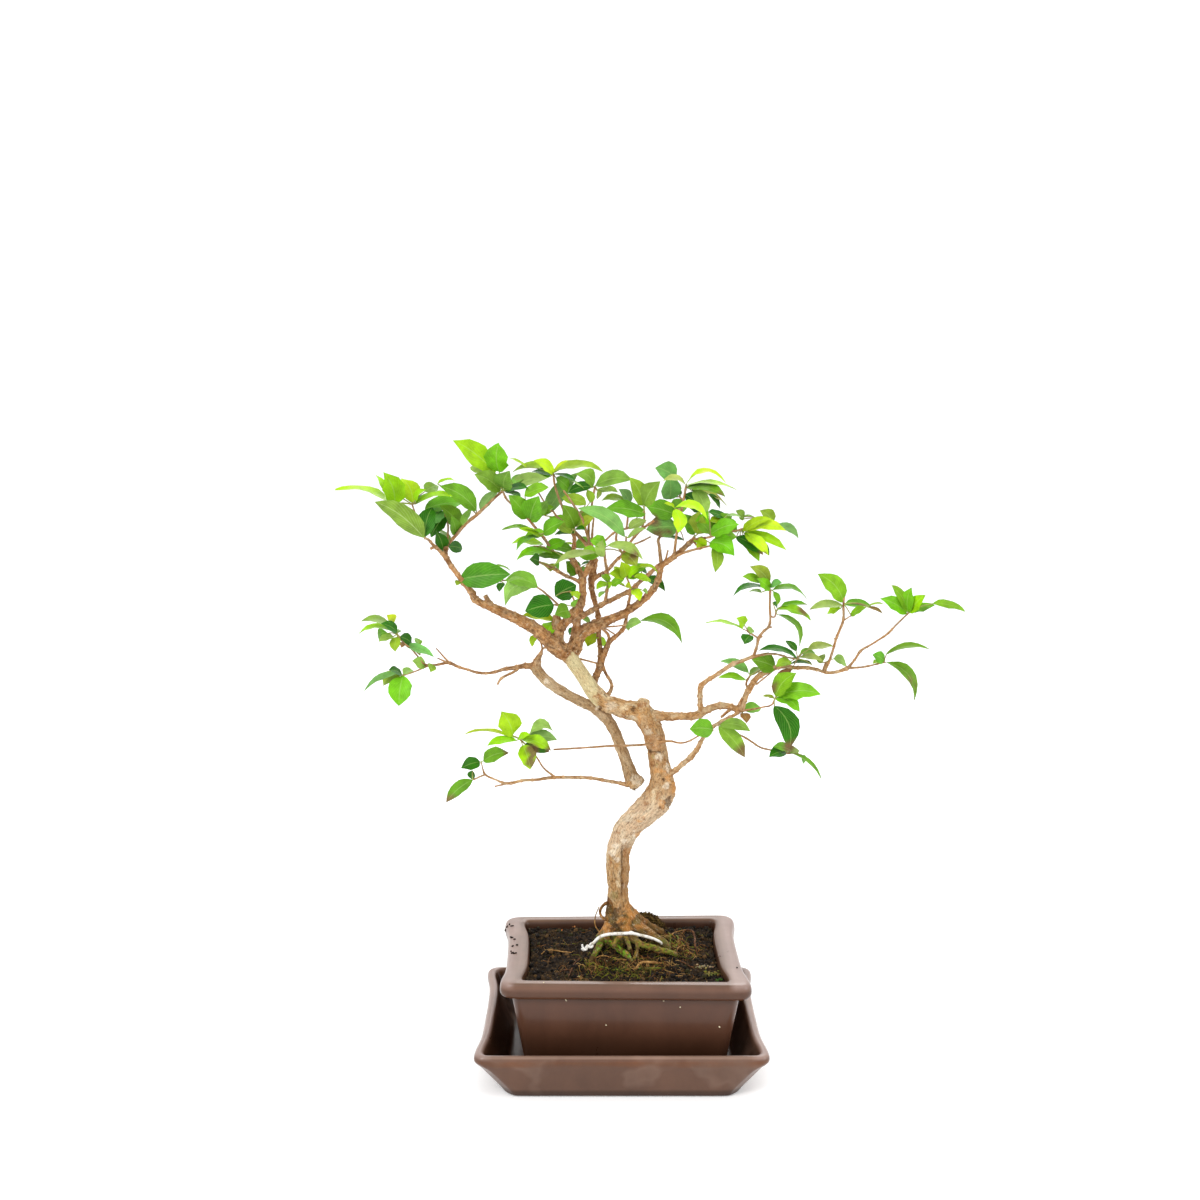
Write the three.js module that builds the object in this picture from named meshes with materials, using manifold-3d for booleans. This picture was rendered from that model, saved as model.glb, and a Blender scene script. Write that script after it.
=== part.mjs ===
// A small-leaved syzygium grown as a bonsai, in a brown glazed pot that stands in a glazed saucer.
// Millimetres. The origin is the centre of the saucer's underside, X right, Y back, Z up.

import * as THREE from "three";
import { mergeVertices } from "three/addons/utils/BufferGeometryUtils.js";
import Module from "manifold-3d";

const wasm = await Module();
wasm.setup();

// Clearance between two pieces that touch
const GAP = 0.3;
const STRAIGHT = 0.7;
const TOLERANCES = [0.12, 0.1, 0.08, 0.15, 0.06, 0.04, 0.18, 0.03, 0.02, 0.01, 0.2, 0.005];

// The viewing point from which x and z of the tree are read, in the plane y = 0
const VIEW = new THREE.Vector3(-17.1, -1315, 611.3);

// Saucer: half width, half depth and height of each level, from the underside's centre out, up
// over the lip and down to the floor's centre
const SAUCER_CORNER = 17;
const SAUCER_DRAWN_IN = 4.5;
const SAUCER_LEVELS = [
  [0, 0, 0],
  [97.5, 79, 0],
  [100, 81, 3],
  [108, 86.5, 24],
  [111, 89, 28],
  [116, 92, 30],
  [116.5, 92.5, 33],
  [114.5, 90.5, 36],
  [110, 86, 36],
  [108, 84, 33],
  [98, 76, 8],
  [94, 72, 6],
  [0, 0, 6],
];

// Pot: the same order of levels, with a foot ring under it
const POT_CORNER = 13;
const POT_DRAWN_IN = 4;
const POT_LEVELS = [
  [0, 0, 9.3],
  [70, 50, 9.3],
  [71, 51, 6.3],
  [79.5, 59.5, 6.3],
  [81, 61, 9],
  [82.5, 63, 24],
  [90.7, 69.5, 74],
  [91.2, 70, 76],
  [97.5, 73.5, 76.6],
  [100, 75, 79.5],
  [100, 75, 84.5],
  [98, 73.5, 87.4],
  [95, 71.5, 88],
  [83, 65, 88],
  [81, 63.5, 86],
  [76.5, 58.5, 22],
  [73, 55, 13],
  [0, 0, 13],
];
const DRAIN_X = 38;
const DRAIN_RADIUS = 9;
const SCREEN_SIDE = 28;
const SCREEN_THICK = 1;
const POT_FLOOR = 13;

// Soil: levels from its underside's centre, out to the pot's wall and over the mound to the trunk
const SOIL_LEVELS = [
  [0, 0, 14.6],
  [72.6, 54.6, 14.6],
  [76.1, 58.1, 23],
  [80, 62.5, 80.5],
  [70, 54, 83],
  [30, 25, 93.5],
  [0, 0, 98],
];

// Moss: a low pad on the soil behind the trunk
const MOSS_CENTRE = [24, 45, 90];
const MOSS_HALF_SIZE = [15, 10, 8];

// Tie: x and z read from the viewing point, depth y and radius of points along the white wire
const TIE_SIDES = 6;
const TIE = [
  [-34, 88, -16, 1.3], [-29, 92, -17, 1.3], [-25, 96, -17, 1.3], [-20, 101, -15.5, 1.3],
  [-12, 103.5, -15, 1.3], [-2, 104, -15.5, 1.3], [6, 104.5, -16, 1.3], [12, 103, -15, 1.3],
  [22, 101, -9, 1.3], [28, 98, -6, 1.3], [33, 94, -5, 1.3], [37, 90, -4, 1.3],
];

// Leaf: share of the blade's length and half width of each row after the stalk, and thicknesses
const LEAF_ROWS = [
  [0.05, 0.12],
  [0.24, 0.78],
  [0.48, 1],
  [0.76, 0.62],
];
const LEAF_HALF_THICK = 0.45;
const SECTION = [[1, 0.4], [0, -0.7], [-1, 0.4], [1, 0.4]];
const STALK_RADIUS = 0.7;
const COLLAR_WALL = 1.6;
const BASE_SHIFTS = [0, -3, 3, -5, 5, -7, 7];
const TIP_SHIFTS = [0, 4, -4, 8, -8, 12, -12, 16, -16, 20, -20];
const SHIFTS = BASE_SHIFTS.flatMap((base) => TIP_SHIFTS.map((tip) => [base, tip]));

// Wood: x and z read from the viewing point, depth y and radius of points along each branch
const BRANCHES = {
  trunk: [[-2, 88, 6, 15], [-2.5, 104, 5, 13.5], [-2.5, 118, 4, 11.8], [-2, 130, 3, 9.4],
    [-2, 142, 2, 8.6], [-2, 158, 1, 9.9], [-1.5, 172, 0, 10.1], [1.5, 184, -1, 10.4],
    [6, 193, -2, 10.6], [13, 201, -3, 10.8], [21, 208.5, -4, 11.6], [29, 217, -4, 12.6],
    [33.5, 227, -4, 11.4], [33, 238, -3, 9.2], [31, 250, -2, 8.5], [28.5, 262, -2, 8.3],
    [26.5, 272, -1, 8.4], [23, 281, 0, 9.2], [17, 290, 0, 9]],
  cut_leader: [[20, 287, -1, 7], [18, 295, -2, 5.6], [18.5, 301, -3, 4.6]],
  limb_left: [[19, 290, 0, 9], [10, 292, -1, 8], [2, 293.5, -1, 7.4], [-6, 296, -1, 7.2],
    [-14, 299.5, -1, 7], [-21, 306, 0, 6.8], [-27, 315, 0, 6.2], [-33, 324, 1, 5.9],
    [-38.5, 332, 2, 6.1], [-43, 339, 2, 7]],
  limb_outer: [[-42, 338, 2, 6.5], [-49, 342, 0, 6.8], [-56, 348, -2, 6.4], [-64, 355, -4, 5.4],
    [-73, 362, -6, 5], [-83, 367.5, -8, 4.6], [-95, 373, -10, 4], [-105, 377.5, -11, 3.4],
    [-112, 380, -12, 3.1], [-117.5, 384.5, -13, 2.9], [-121, 390.5, -14, 2.5], [-126, 397, -14, 2.4],
    [-131, 404, -13, 2.1], [-136, 411, -10, 2.1], [-140.5, 419, -6, 2.3]],
  twig_left_tip: [[-140.5, 418, -6, 2], [-145, 423, -10, 1.5], [-150, 427.5, -14, 1.4],
    [-154, 432, -17, 1.2], [-157, 433, -18, 1.1]],
  twig_left_rosette: [[-156, 432.5, -17, 1], [-159, 440, -12, 0.9], [-163, 450, -8, 0.8],
    [-166, 460, -6, 0.8]],
  stub_left_tip: [[-149, 426, -13, 1.4], [-152, 424.5, -12, 1.2]],
  stem_left_fork: [[-140.5, 418, -6, 2], [-140, 423, 2, 1.9], [-139, 428, 8, 1.8]],
  twig_left_inner: [[-139, 427, 8, 1.1], [-138, 437, 10, 0.9], [-138, 445, 12, 0.8],
    [-140, 452, 14, 0.8]],
  twig_upper_left: [[-139, 427.5, 8, 1.5], [-131, 436, 4, 1.3], [-124, 444, -2, 1.2],
    [-115, 451.5, -6, 1.3], [-107, 459, -4, 1.1], [-100, 465.5, 0, 1], [-94.5, 470.5, 2, 1]],
  stub_limb: [[-103, 377, -11, 2.6], [-106.5, 382, -13, 2.2], [-109, 386.5, -14, 1.9]],
  stub_elbow: [[-119, 385, -13, 2.4], [-117.5, 390, -15, 1.8]],
  limb_inner: [[-41, 338, 3, 6.4], [-37.5, 345, 5, 6.4], [-34.5, 353, 7, 5.8], [-30, 357.5, 7, 5.2],
    [-23, 361, 7, 4.9], [-15, 364.5, 6, 4.3], [-7, 368, 5, 3.5], [1, 371.5, 4, 3.2], [8, 376, 3, 3],
    [15, 381, 2, 2.8], [21.5, 387, 1, 2.8], [27, 394, 0, 2.7], [30, 402, -1, 2.5],
    [32, 410.5, -2, 2.4], [38, 415, -2, 2.3], [45, 420.5, -1, 2.1], [52, 427, 1, 2.1],
    [57, 431.5, 2, 2.2]],
  stem_middle: [[-36, 352, 6, 5], [-36, 362, 6, 3.4], [-35, 370, 5, 3], [-33, 378, 3, 3.4]],
  cut_stump: [[-50, 344, -1, 4.5], [-51, 354, 4, 5.2], [-51, 362, 7, 4.4], [-52.5, 371, 8, 3]],
  stem_up: [[-50, 358, 5, 4.4], [-44, 366, 4, 3.6], [-37.5, 373, 3, 4.2], [-33, 380, 2, 3.6],
    [-31, 388, 1, 3.2], [-31, 396, 1, 3.1], [-31, 402, 1, 3.2]],
  stem_up_left: [[-31, 401, 1, 2.6], [-34.5, 408, 6, 2.4], [-38.5, 415, 12, 2.5],
    [-38.5, 422, 18, 1.9], [-37.5, 430, 14, 1.6], [-38, 438, 4, 1.9]],
  stem_up_right: [[-31, 401, 1, 2.5], [-28.5, 405, 0, 2.2], [-25, 411, -2, 2.6], [-22, 417, -3, 2.2]],
  branch_low_right: [[-42, 366.5, 4, 2.8], [-33, 369.5, 3, 2.9], [-25, 373.5, 2, 2.3],
    [-17, 378.5, 1, 2.2], [-8, 383, 0, 2], [1, 387.5, -1, 1.9], [8, 391, -2, 2.1],
    [14.5, 397.5, -3, 1.8], [22, 404, -3, 1.8], [28, 409.5, -2, 1.7], [32, 413, -2, 1.7]],
  stem_back: [[-24, 312, 5, 3.2], [-20, 321, 13, 3], [-16.5, 331, 18, 3.2], [-17, 342, 21, 2],
    [-18, 354, 23, 1.9], [-18, 366, 24, 2.2], [-20, 377, 24, 2.2], [-23, 388, 22, 2.3],
    [-24, 398, 18, 2.6], [-23, 407, 12, 3], [-21, 416, 5, 2.8]],
  stem_back_right: [[-16.5, 331, 18, 2.8], [-13, 341, 19, 2.6], [-9, 349, 18, 2], [-3, 354.5, 16, 1.7],
    [2, 360, 13, 1.9], [4, 368, 10, 1.4], [5, 377, 4, 1.3], [6.5, 384, 0, 1.3], [8, 391, -2, 1.2]],
  twig_back_fork: [[-12, 345, 19, 1.5], [-10, 353, 16, 1.2], [-14, 358.5, 11, 1.1], [-18, 362, 8, 1.1]],
  twig_back_thin: [[-4, 354, 16, 0.7], [-9, 357.5, 13, 0.6], [-13, 360, 10, 0.6]],
  twig_under_right: [[-15, 361, 8, 0.8], [-5, 361.5, -2, 0.7], [6, 363, -14, 0.7]],
  twig_lower_small: [[-12, 303, 5, 1.8], [-8, 310, 11, 1.6], [-8, 315, 15, 1.5], [-12, 322, 18, 1.4],
    [-15, 329, 18, 1.4]],
  twig_cross: [[-38, 336, 6, 1], [-28, 333.5, 12, 0.8], [-19, 331, 17, 0.8]],
  twig_centre: [[-13, 381.5, 0, 1.4], [-11.5, 390, -8, 1.3], [-10.5, 397, -12, 1.6],
    [-11.5, 406, -14, 1.3], [-13, 415, -22, 1.1], [-13.5, 421, -36, 1], [-14, 424, -56, 0.9]],
  twig_centre_left: [[-10.5, 397, -12, 1], [-10, 397, -30, 0.8]],
  branch_mid_up: [[-24, 399, 17, 2], [-17, 403.5, 8, 1.7], [-11.5, 406.5, -6, 1.5],
    [-5, 414, -10, 1.4], [1, 420, -14, 1.3], [3, 427, -30, 1], [4, 434, -46, 0.9]],
  twig_crown_a: [[1, 420, -14, 1.1], [-4, 430, -4, 1], [-3.5, 440, 6, 0.9], [-3, 449, 12, 0.7]],
  twig_crown_b: [[1, 420.5, -15, 1.1], [8, 431, -14, 1.1], [14, 438, -12, 1.1], [20, 443, -14, 1],
    [26, 447, -14, 1]],
  twig_crown_c: [[5, 427, -15, 0.7], [14, 429.5, -6, 0.7], [23, 434, 0, 0.6]],
  twig_crown_d: [[-13, 431, 0, 0.7], [-4, 438.5, 5, 0.9], [5, 441, 10, 0.9], [12, 444, 14, 0.8],
    [19, 446, 16, 0.7]],
  twig_crown_arch: [[4, 441, 9, 0.9], [5, 450, 18, 0.8], [5, 459, 22, 0.8]],
  twig_crown_olive: [[16, 440, -13, 0.9], [18, 448, -16, 0.9], [18, 455, -18, 0.8]],
  twig_top: [[-22, 415, -3, 1.6], [-25, 424, -3, 1.5], [-26, 433, -4, 1.2], [-26, 443, -2, 1],
    [-24.5, 452, 0, 0.9], [-23, 463, 1, 0.9], [-21, 474, 2, 1]],
  twig_top_side: [[-22.5, 417, -3, 1.2], [-23.5, 430, -6, 1], [-23, 440, -6, 0.9], [-22, 449, -6, 0.7]],
  twig_bridge: [[-25, 424, -3, 1.6], [-31, 431.5, -2, 1.6], [-38, 438.5, 1, 1.6]],
  twig_high_left: [[-26, 431, -4, 1.2], [-28.5, 440, -8, 1.1], [-31, 448, -10, 1], [-36, 456, -10, 1],
    [-41, 464, -8, 0.9], [-46, 471, -4, 0.7]],
  twig_crown_tip: [[-38, 438, 4, 1.6], [-41, 443, 8, 1.5], [-44, 450, 12, 1.3], [-47, 458, 15, 1.1],
    [-50, 466, 17, 1], [-53, 476, 18, 0.9], [-54, 484, 18, 0.8]],
  twig_crown_green: [[-38, 438, 4, 1.2], [-38, 442, -8, 0.9]],
  twig_crown_back: [[-38, 438, 3, 1.2], [-44, 444, 3, 0.9], [-51, 450, 14, 0.8], [-57, 455, 24, 0.8],
    [-61, 451, 26, 0.7]],
  twig_crown_far: [[-57, 455, 24, 0.7], [-62, 463, 22, 0.6], [-67, 470, 18, 0.6], [-76, 468, 2, 0.6]],
  branch_left_up: [[-38.5, 417, 14, 1.8], [-47, 419, 10, 1.7], [-57, 422.5, 4, 1.6],
    [-66, 426, -2, 1.3], [-73, 425.5, -6, 1]],
  branch_left_rise: [[-55, 422, 5, 1.5], [-59, 429, -4, 1.3], [-64, 436, -14, 1.3],
    [-69, 442, -16, 1.1], [-73, 447, -15, 1], [-79, 453, -12, 0.9], [-85, 458.5, -8, 0.8],
    [-91, 464, -4, 0.9], [-94, 470, 1, 0.8]],
  twig_left_low: [[-64, 436, -14, 1], [-64, 436, -24, 0.8]],
  branch_left_mid: [[-31, 396, 1, 1.7], [-38, 400, -2, 1.4], [-44, 402.5, -5, 1.5],
    [-50, 406, -8, 1.5], [-57, 409.5, -10, 1.2], [-66, 414, -12, 1.1]],
  twig_pair: [[-42, 368, 3, 1.3], [-45, 373, -6, 0.9], [-51, 379.5, -16, 0.8], [-58, 386, -24, 0.8],
    [-67, 393, -30, 0.7], [-80, 398, -18, 0.6], [-96, 399, -6, 0.6]],
  twig_round_leaf: [[-51, 379.5, -16, 0.7], [-54, 379, -34, 0.6]],
  twig_oval: [[-35.5, 375, 3, 1.2], [-38, 383, -6, 0.9], [-41, 390, -16, 0.9]],
  limb_second: [[15, 229, 2, 6.5], [9, 236, 3, 6.2], [5.5, 246, 4, 5], [1.5, 257, 5, 4.6],
    [-3, 269, 6, 4.5], [-8, 280, 7, 4.6], [-14, 288, 8, 5], [-22, 294.5, 8, 4.8], [-31, 299, 8, 4.4],
    [-41, 304, 8, 4.3], [-51, 310, 7, 4.4], [-60, 316.5, 6, 4.4], [-66, 323, 5, 4.3],
    [-70, 330, 4, 4.4]],
  cut_foot: [[12, 234, 2, 5.5], [7.5, 226.5, 0, 5.6]],
  twig_knot: [[-69, 329, 4, 4], [-67, 335, 3, 2.6], [-64.5, 340, 2, 1.6], [-63, 343.5, 1, 1],
    [-59, 344, 0, 1]],
  twig_knot_stub: [[-63.5, 342, 1, 0.8], [-64.5, 349, -3, 0.7]],
  branch_left_low: [[-70, 329, 4, 3], [-78, 329, 0, 2.4], [-86, 327.5, -4, 1.9], [-94, 326.5, -8, 1.7],
    [-100, 324.5, -10, 1.4], [-108, 323, -12, 1.3], [-116, 323.5, -14, 1.3], [-124, 326, -15, 1.2],
    [-132, 328.5, -16, 1.3], [-139, 331.5, -17, 1.5], [-148, 330, -18, 1.1], [-156, 329.5, -18, 0.9]],
  twig_left_spray: [[-155, 329.5, -18, 0.7], [-160, 331.5, -20, 0.7], [-164, 337, -22, 0.7],
    [-169, 343, -24, 0.7], [-175, 348, -28, 0.7], [-180, 355, -30, 0.7]],
  twig_left_pendant: [[-156, 329, -18, 0.7], [-165, 325, -22, 0.6], [-176, 321, -26, 0.6]],
  stub_left_a: [[-138.5, 331.5, -17, 0.8], [-149, 343.5, -14, 0.5]],
  stub_left_b: [[-139.5, 331.5, -17, 0.9], [-148, 335.5, -21, 0.6]],
  twig_low_small: [[-82, 328, -2, 1.4], [-86, 324.5, -6, 1.1], [-93, 321, -12, 1],
    [-97, 318.5, -14, 1.1], [-100, 313.5, -16, 0.8]],
  twig_front_left: [[27, 264.5, -8, 1.3], [23, 264, -12, 1.1], [10, 263, -16, 1],
    [-8, 262.5, -18, 0.9], [-30, 261, -20, 0.8], [-55, 259.5, -22, 0.8]],
  twig_front_right: [[30, 265.5, -8, 1.2], [40, 266.5, -12, 0.9], [48, 265, -14, 0.8],
    [55, 266.5, -18, 0.8], [64, 271.5, -23, 0.7], [75, 276, -26, 0.7]],
  branch_low_left: [[6, 230, 0, 2.2], [-2, 231.5, -4, 1.6], [-10, 233, -8, 1.5],
    [-25, 235.5, -12, 1.5], [-40, 236, -14, 1.5], [-55, 236, -16, 1.5], [-70, 234, -18, 1.3],
    [-80, 233.5, -19, 1.3], [-93, 231, -20, 1.4], [-103, 234.5, -20, 0.9], [-111, 239, -20, 1.1],
    [-113, 245, -20, 0.8], [-114, 249, -20, 0.7]],
  twig_low_tip: [[-111, 238.5, -20, 0.8], [-121, 234, -22, 0.6]],
  stub_low_left: [[-92, 231, -20, 0.9], [-103, 228.5, -18, 0.6]],
  twig_low_rosette: [[-54, 236.5, -16, 1], [-63, 244, -20, 0.8], [-68, 252, -22, 0.7],
    [-74, 260, -24, 0.7], [-82, 268, -26, 0.8]],
  branch_right: [[25, 288, 0, 5], [32, 287.5, -1, 3.9], [40, 287, -2, 3.6], [48, 287.5, -3, 3.3],
    [58, 287.5, -4, 3.3], [64, 289.5, -4, 3.3], [69, 292.5, -5, 3], [76, 295.5, -6, 2.9],
    [85, 296, -8, 2.8], [92, 294, -9, 2.7], [97, 293.5, -10, 3], [99, 299, -10, 2.6],
    [101.5, 306, -9, 2.6], [106, 314, -8, 2.5], [111, 320.5, -7, 2.4], [118, 324.5, -6, 2.2],
    [126, 328, -6, 2.1], [131, 329, -6, 2.2], [140, 327.5, -4, 1.6], [150, 327.5, -2, 1.7],
    [158, 326, 0, 1.5], [166, 323.5, 0, 1.4], [175, 324.5, -2, 1.4], [183, 327.5, -4, 1.9]],
  branch_right_up: [[65, 289.5, -4, 2.6], [64, 298, -6, 2.2], [64, 306, -8, 2.2], [64.5, 312, -9, 2.3],
    [69, 316.5, -10, 2], [76, 321, -11, 1.8], [83, 326, -12, 1.8], [90, 330.5, -12, 2],
    [98, 333.5, -12, 1.5], [106, 336.5, -12, 1.6], [113, 338, -12, 1.1], [120, 339, -11, 1.1],
    [128, 338, -10, 1], [134, 336, -10, 0.9], [142, 335, -10, 0.9]],
  twig_spire: [[106, 336, -12, 1.3], [108, 341, -13, 1.2], [109.5, 347, -15, 1.1],
    [110.5, 352, -16, 1.3], [114, 357, -16, 1], [118.5, 361.5, -16, 1.2], [119.5, 367, -16, 0.9],
    [119, 377, -16, 0.9], [119, 391, -16, 0.9]],
  stub_spire_a: [[110, 351, -16, 0.9], [113.5, 353.5, -17, 0.7]],
  stub_spire_b: [[118, 360.5, -16, 0.9], [121, 361, -16, 0.7]],
  twig_spire_side: [[110, 352, -16, 0.8], [106, 354.5, -20, 0.7], [102, 357, -24, 0.7]],
  twig_spire_stalk: [[119.5, 370, -16, 0.7], [122.5, 369, -18, 0.6], [124, 373, -20, 0.6]],
  twig_right_round: [[103, 310, -8, 1], [101, 313.5, -7, 0.8], [104, 321, -6, 0.7]],
  twig_right_thin: [[109, 313.5, -8, 0.7], [122, 324.5, -7, 0.6]],
  twig_fan: [[164, 325, 0, 1.4], [168, 334, -4, 1.1], [171, 344, -8, 1], [173, 352, -10, 1.1],
    [176, 360, -12, 1], [178, 366, -13, 1.1], [178, 380, -14, 0.9], [178.5, 387, -14, 0.6]],
  stub_fan: [[173.5, 351.5, -10, 0.8], [171, 351.5, -10, 0.6]],
  twig_fan_stalk: [[178, 366, -13, 0.6], [184, 370, -16, 0.5]],
  twig_fan_back: [[163, 325, 0, 1.2], [164, 329, 6, 1], [165, 332, 10, 0.8]],
  twig_far_tip: [[183, 327.5, -4, 1.4], [188, 334, -6, 1], [193.5, 342, -8, 1.2], [200, 346, -8, 0.9],
    [207, 350.5, -8, 0.8], [214, 355.5, -8, 1.1], [220, 362, -8, 0.8], [230, 372, -8, 0.7]],
  twig_far_low: [[183, 327.5, -4, 1.3], [191, 327.7, -8, 0.8], [197, 328.5, -10, 0.9],
    [204, 330, -11, 0.7], [212, 332, -12, 0.8]],
  branch_right_low: [[35, 238, -4, 5], [42, 240.5, -6, 2.6], [50, 247, -10, 2.2],
    [57, 253.5, -13, 2.4], [62, 260, -15, 2.2], [65.5, 267, -16, 1.8], [69, 272.5, -17, 1.6],
    [74, 278, -18, 1.5], [80, 282, -17, 1.8], [87, 286, -14, 1.6], [93, 289, -12, 1.5],
    [97, 292.5, -10, 1.8]],
  stub_right_under: [[90, 294.5, -9, 1.6], [86, 291, -12, 1.2], [81, 286.5, -16, 1]],
  stub_right_top: [[95, 295, -10, 1.8], [98, 303, -14, 0.9]],
  twig_right_lobes: [[98, 292, -10, 1], [106, 293, -14, 0.8], [115, 295, -20, 0.7],
    [122, 297, -23, 0.8], [124, 301, -24, 0.7]],
  twig_right_low: [[84, 284, -15, 1], [88, 278, -8, 0.8], [93, 273.5, -6, 0.8], [100, 270, -8, 0.8],
    [107, 265.5, -10, 0.8], [113, 261.5, -12, 0.8], [120, 259.5, -14, 0.7], [136, 256, -16, 0.7]],
  twig_mint: [[32, 411, -2, 1.6], [31, 418, 0, 1.5], [30, 427, 2, 1.4], [29.5, 432, 3, 1.2],
    [35, 437, 5, 1], [46, 440, 8, 0.9]],
  stub_mint: [[34.5, 412, -2, 0.9], [37, 423, -5, 0.6]],
  twig_right_top: [[42, 418.5, -1.5, 1.2], [43, 428, -1, 1], [44, 437, -1, 0.9], [46, 447, 0, 0.9],
    [48, 457, 0, 0.9], [50, 468, 0, 0.9], [51, 474, 0, 0.8]],
  twig_right_yellow: [[47.5, 455, 0, 0.8], [45.5, 456, -15, 0.7], [43, 456, -30, 0.7]],
  twig_right_blue: [[49, 463, 0, 0.8], [47, 465, 10, 0.7], [46, 466, 20, 0.7]],
  twig_right_hang: [[40, 416.5, -2, 1.4], [48, 420.5, -6, 1.1], [58, 423.7, -9, 1],
    [66, 425.6, -10, 0.9], [72, 427, -10, 0.8]],
  stub_burl: [[57, 431, 2, 1.2], [60, 427, 1, 0.6]],
  twig_burl: [[56.5, 431, 2, 1.6], [58, 434, 2, 1.1]],
  twig_right_crown: [[57, 431.5, 2, 1.3], [66, 433, -6, 1], [71, 434, -14, 0.9], [80, 437, -6, 0.8],
    [95, 440, 6, 0.8], [103, 444, 14, 0.7], [110, 448, 20, 0.7]],
  twig_centre_lime: [[8, 391, -2, 0.9], [6, 397, -20, 0.8], [3, 404, -44, 0.7]],
  twig_centre_dark: [[15, 398, -3, 1], [16, 402, 14, 0.7]],
  twig_centre_bud: [[8, 391, -2, 0.9], [9, 392, -28, 0.7]],
  twig_fork_oval: [[-35, 409, 8, 1], [-36, 404, 18, 0.7]],
  twig_fork_pale: [[-18, 365, 24, 0.9], [-22, 367, 28, 0.6], [-25, 364, 30, 0.6]],
  twig_left_base: [[-38.5, 422, 18, 1], [-38, 424, 30, 0.8]],
  root_right: [[4, 124, 2, 8.5], [12, 116, 1, 7.4], [22, 108, -2, 6], [31, 101, -6, 5],
    [38, 93, -10, 4], [45, 85, -14, 2.8]],
  root_right_rear: [[4, 122, 6, 7], [14, 114, 12, 5], [24, 108, 18, 4], [35, 103, 22, 2.6]],
  root_left: [[-6, 120, 3, 8], [-11, 110, 0, 6], [-14, 102, -4, 4.8], [-18, 95, -8, 3.8],
    [-22, 88, -12, 3.2], [-27, 79, -14, 2.2]],
  root_left_rear: [[-6, 118, 6, 7], [-16, 110, 12, 4.5], [-28, 104, 18, 3], [-40, 98, 22, 2]],
  root_front_green: [[-8, 105, -3, 4.5], [-12, 98, -8, 3.4], [-3, 90, -13, 3.1], [4, 83, -15, 3],
    [9, 78, -16, 2.2]],
  root_front: [[2, 112, -3, 7.5], [5, 104, -7, 5], [11, 98, -10, 3.6], [20, 93, -12, 2.8],
    [30, 88, -13, 2.4], [46, 85, -12, 1.8]],
  root_loop: [[-9, 130, 1, 1.5], [-15, 126, -3, 1.2], [-17, 121, -5, 1.2], [-15, 116, -6, 1.2],
    [-10, 114, -5, 1.2]],
};

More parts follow.
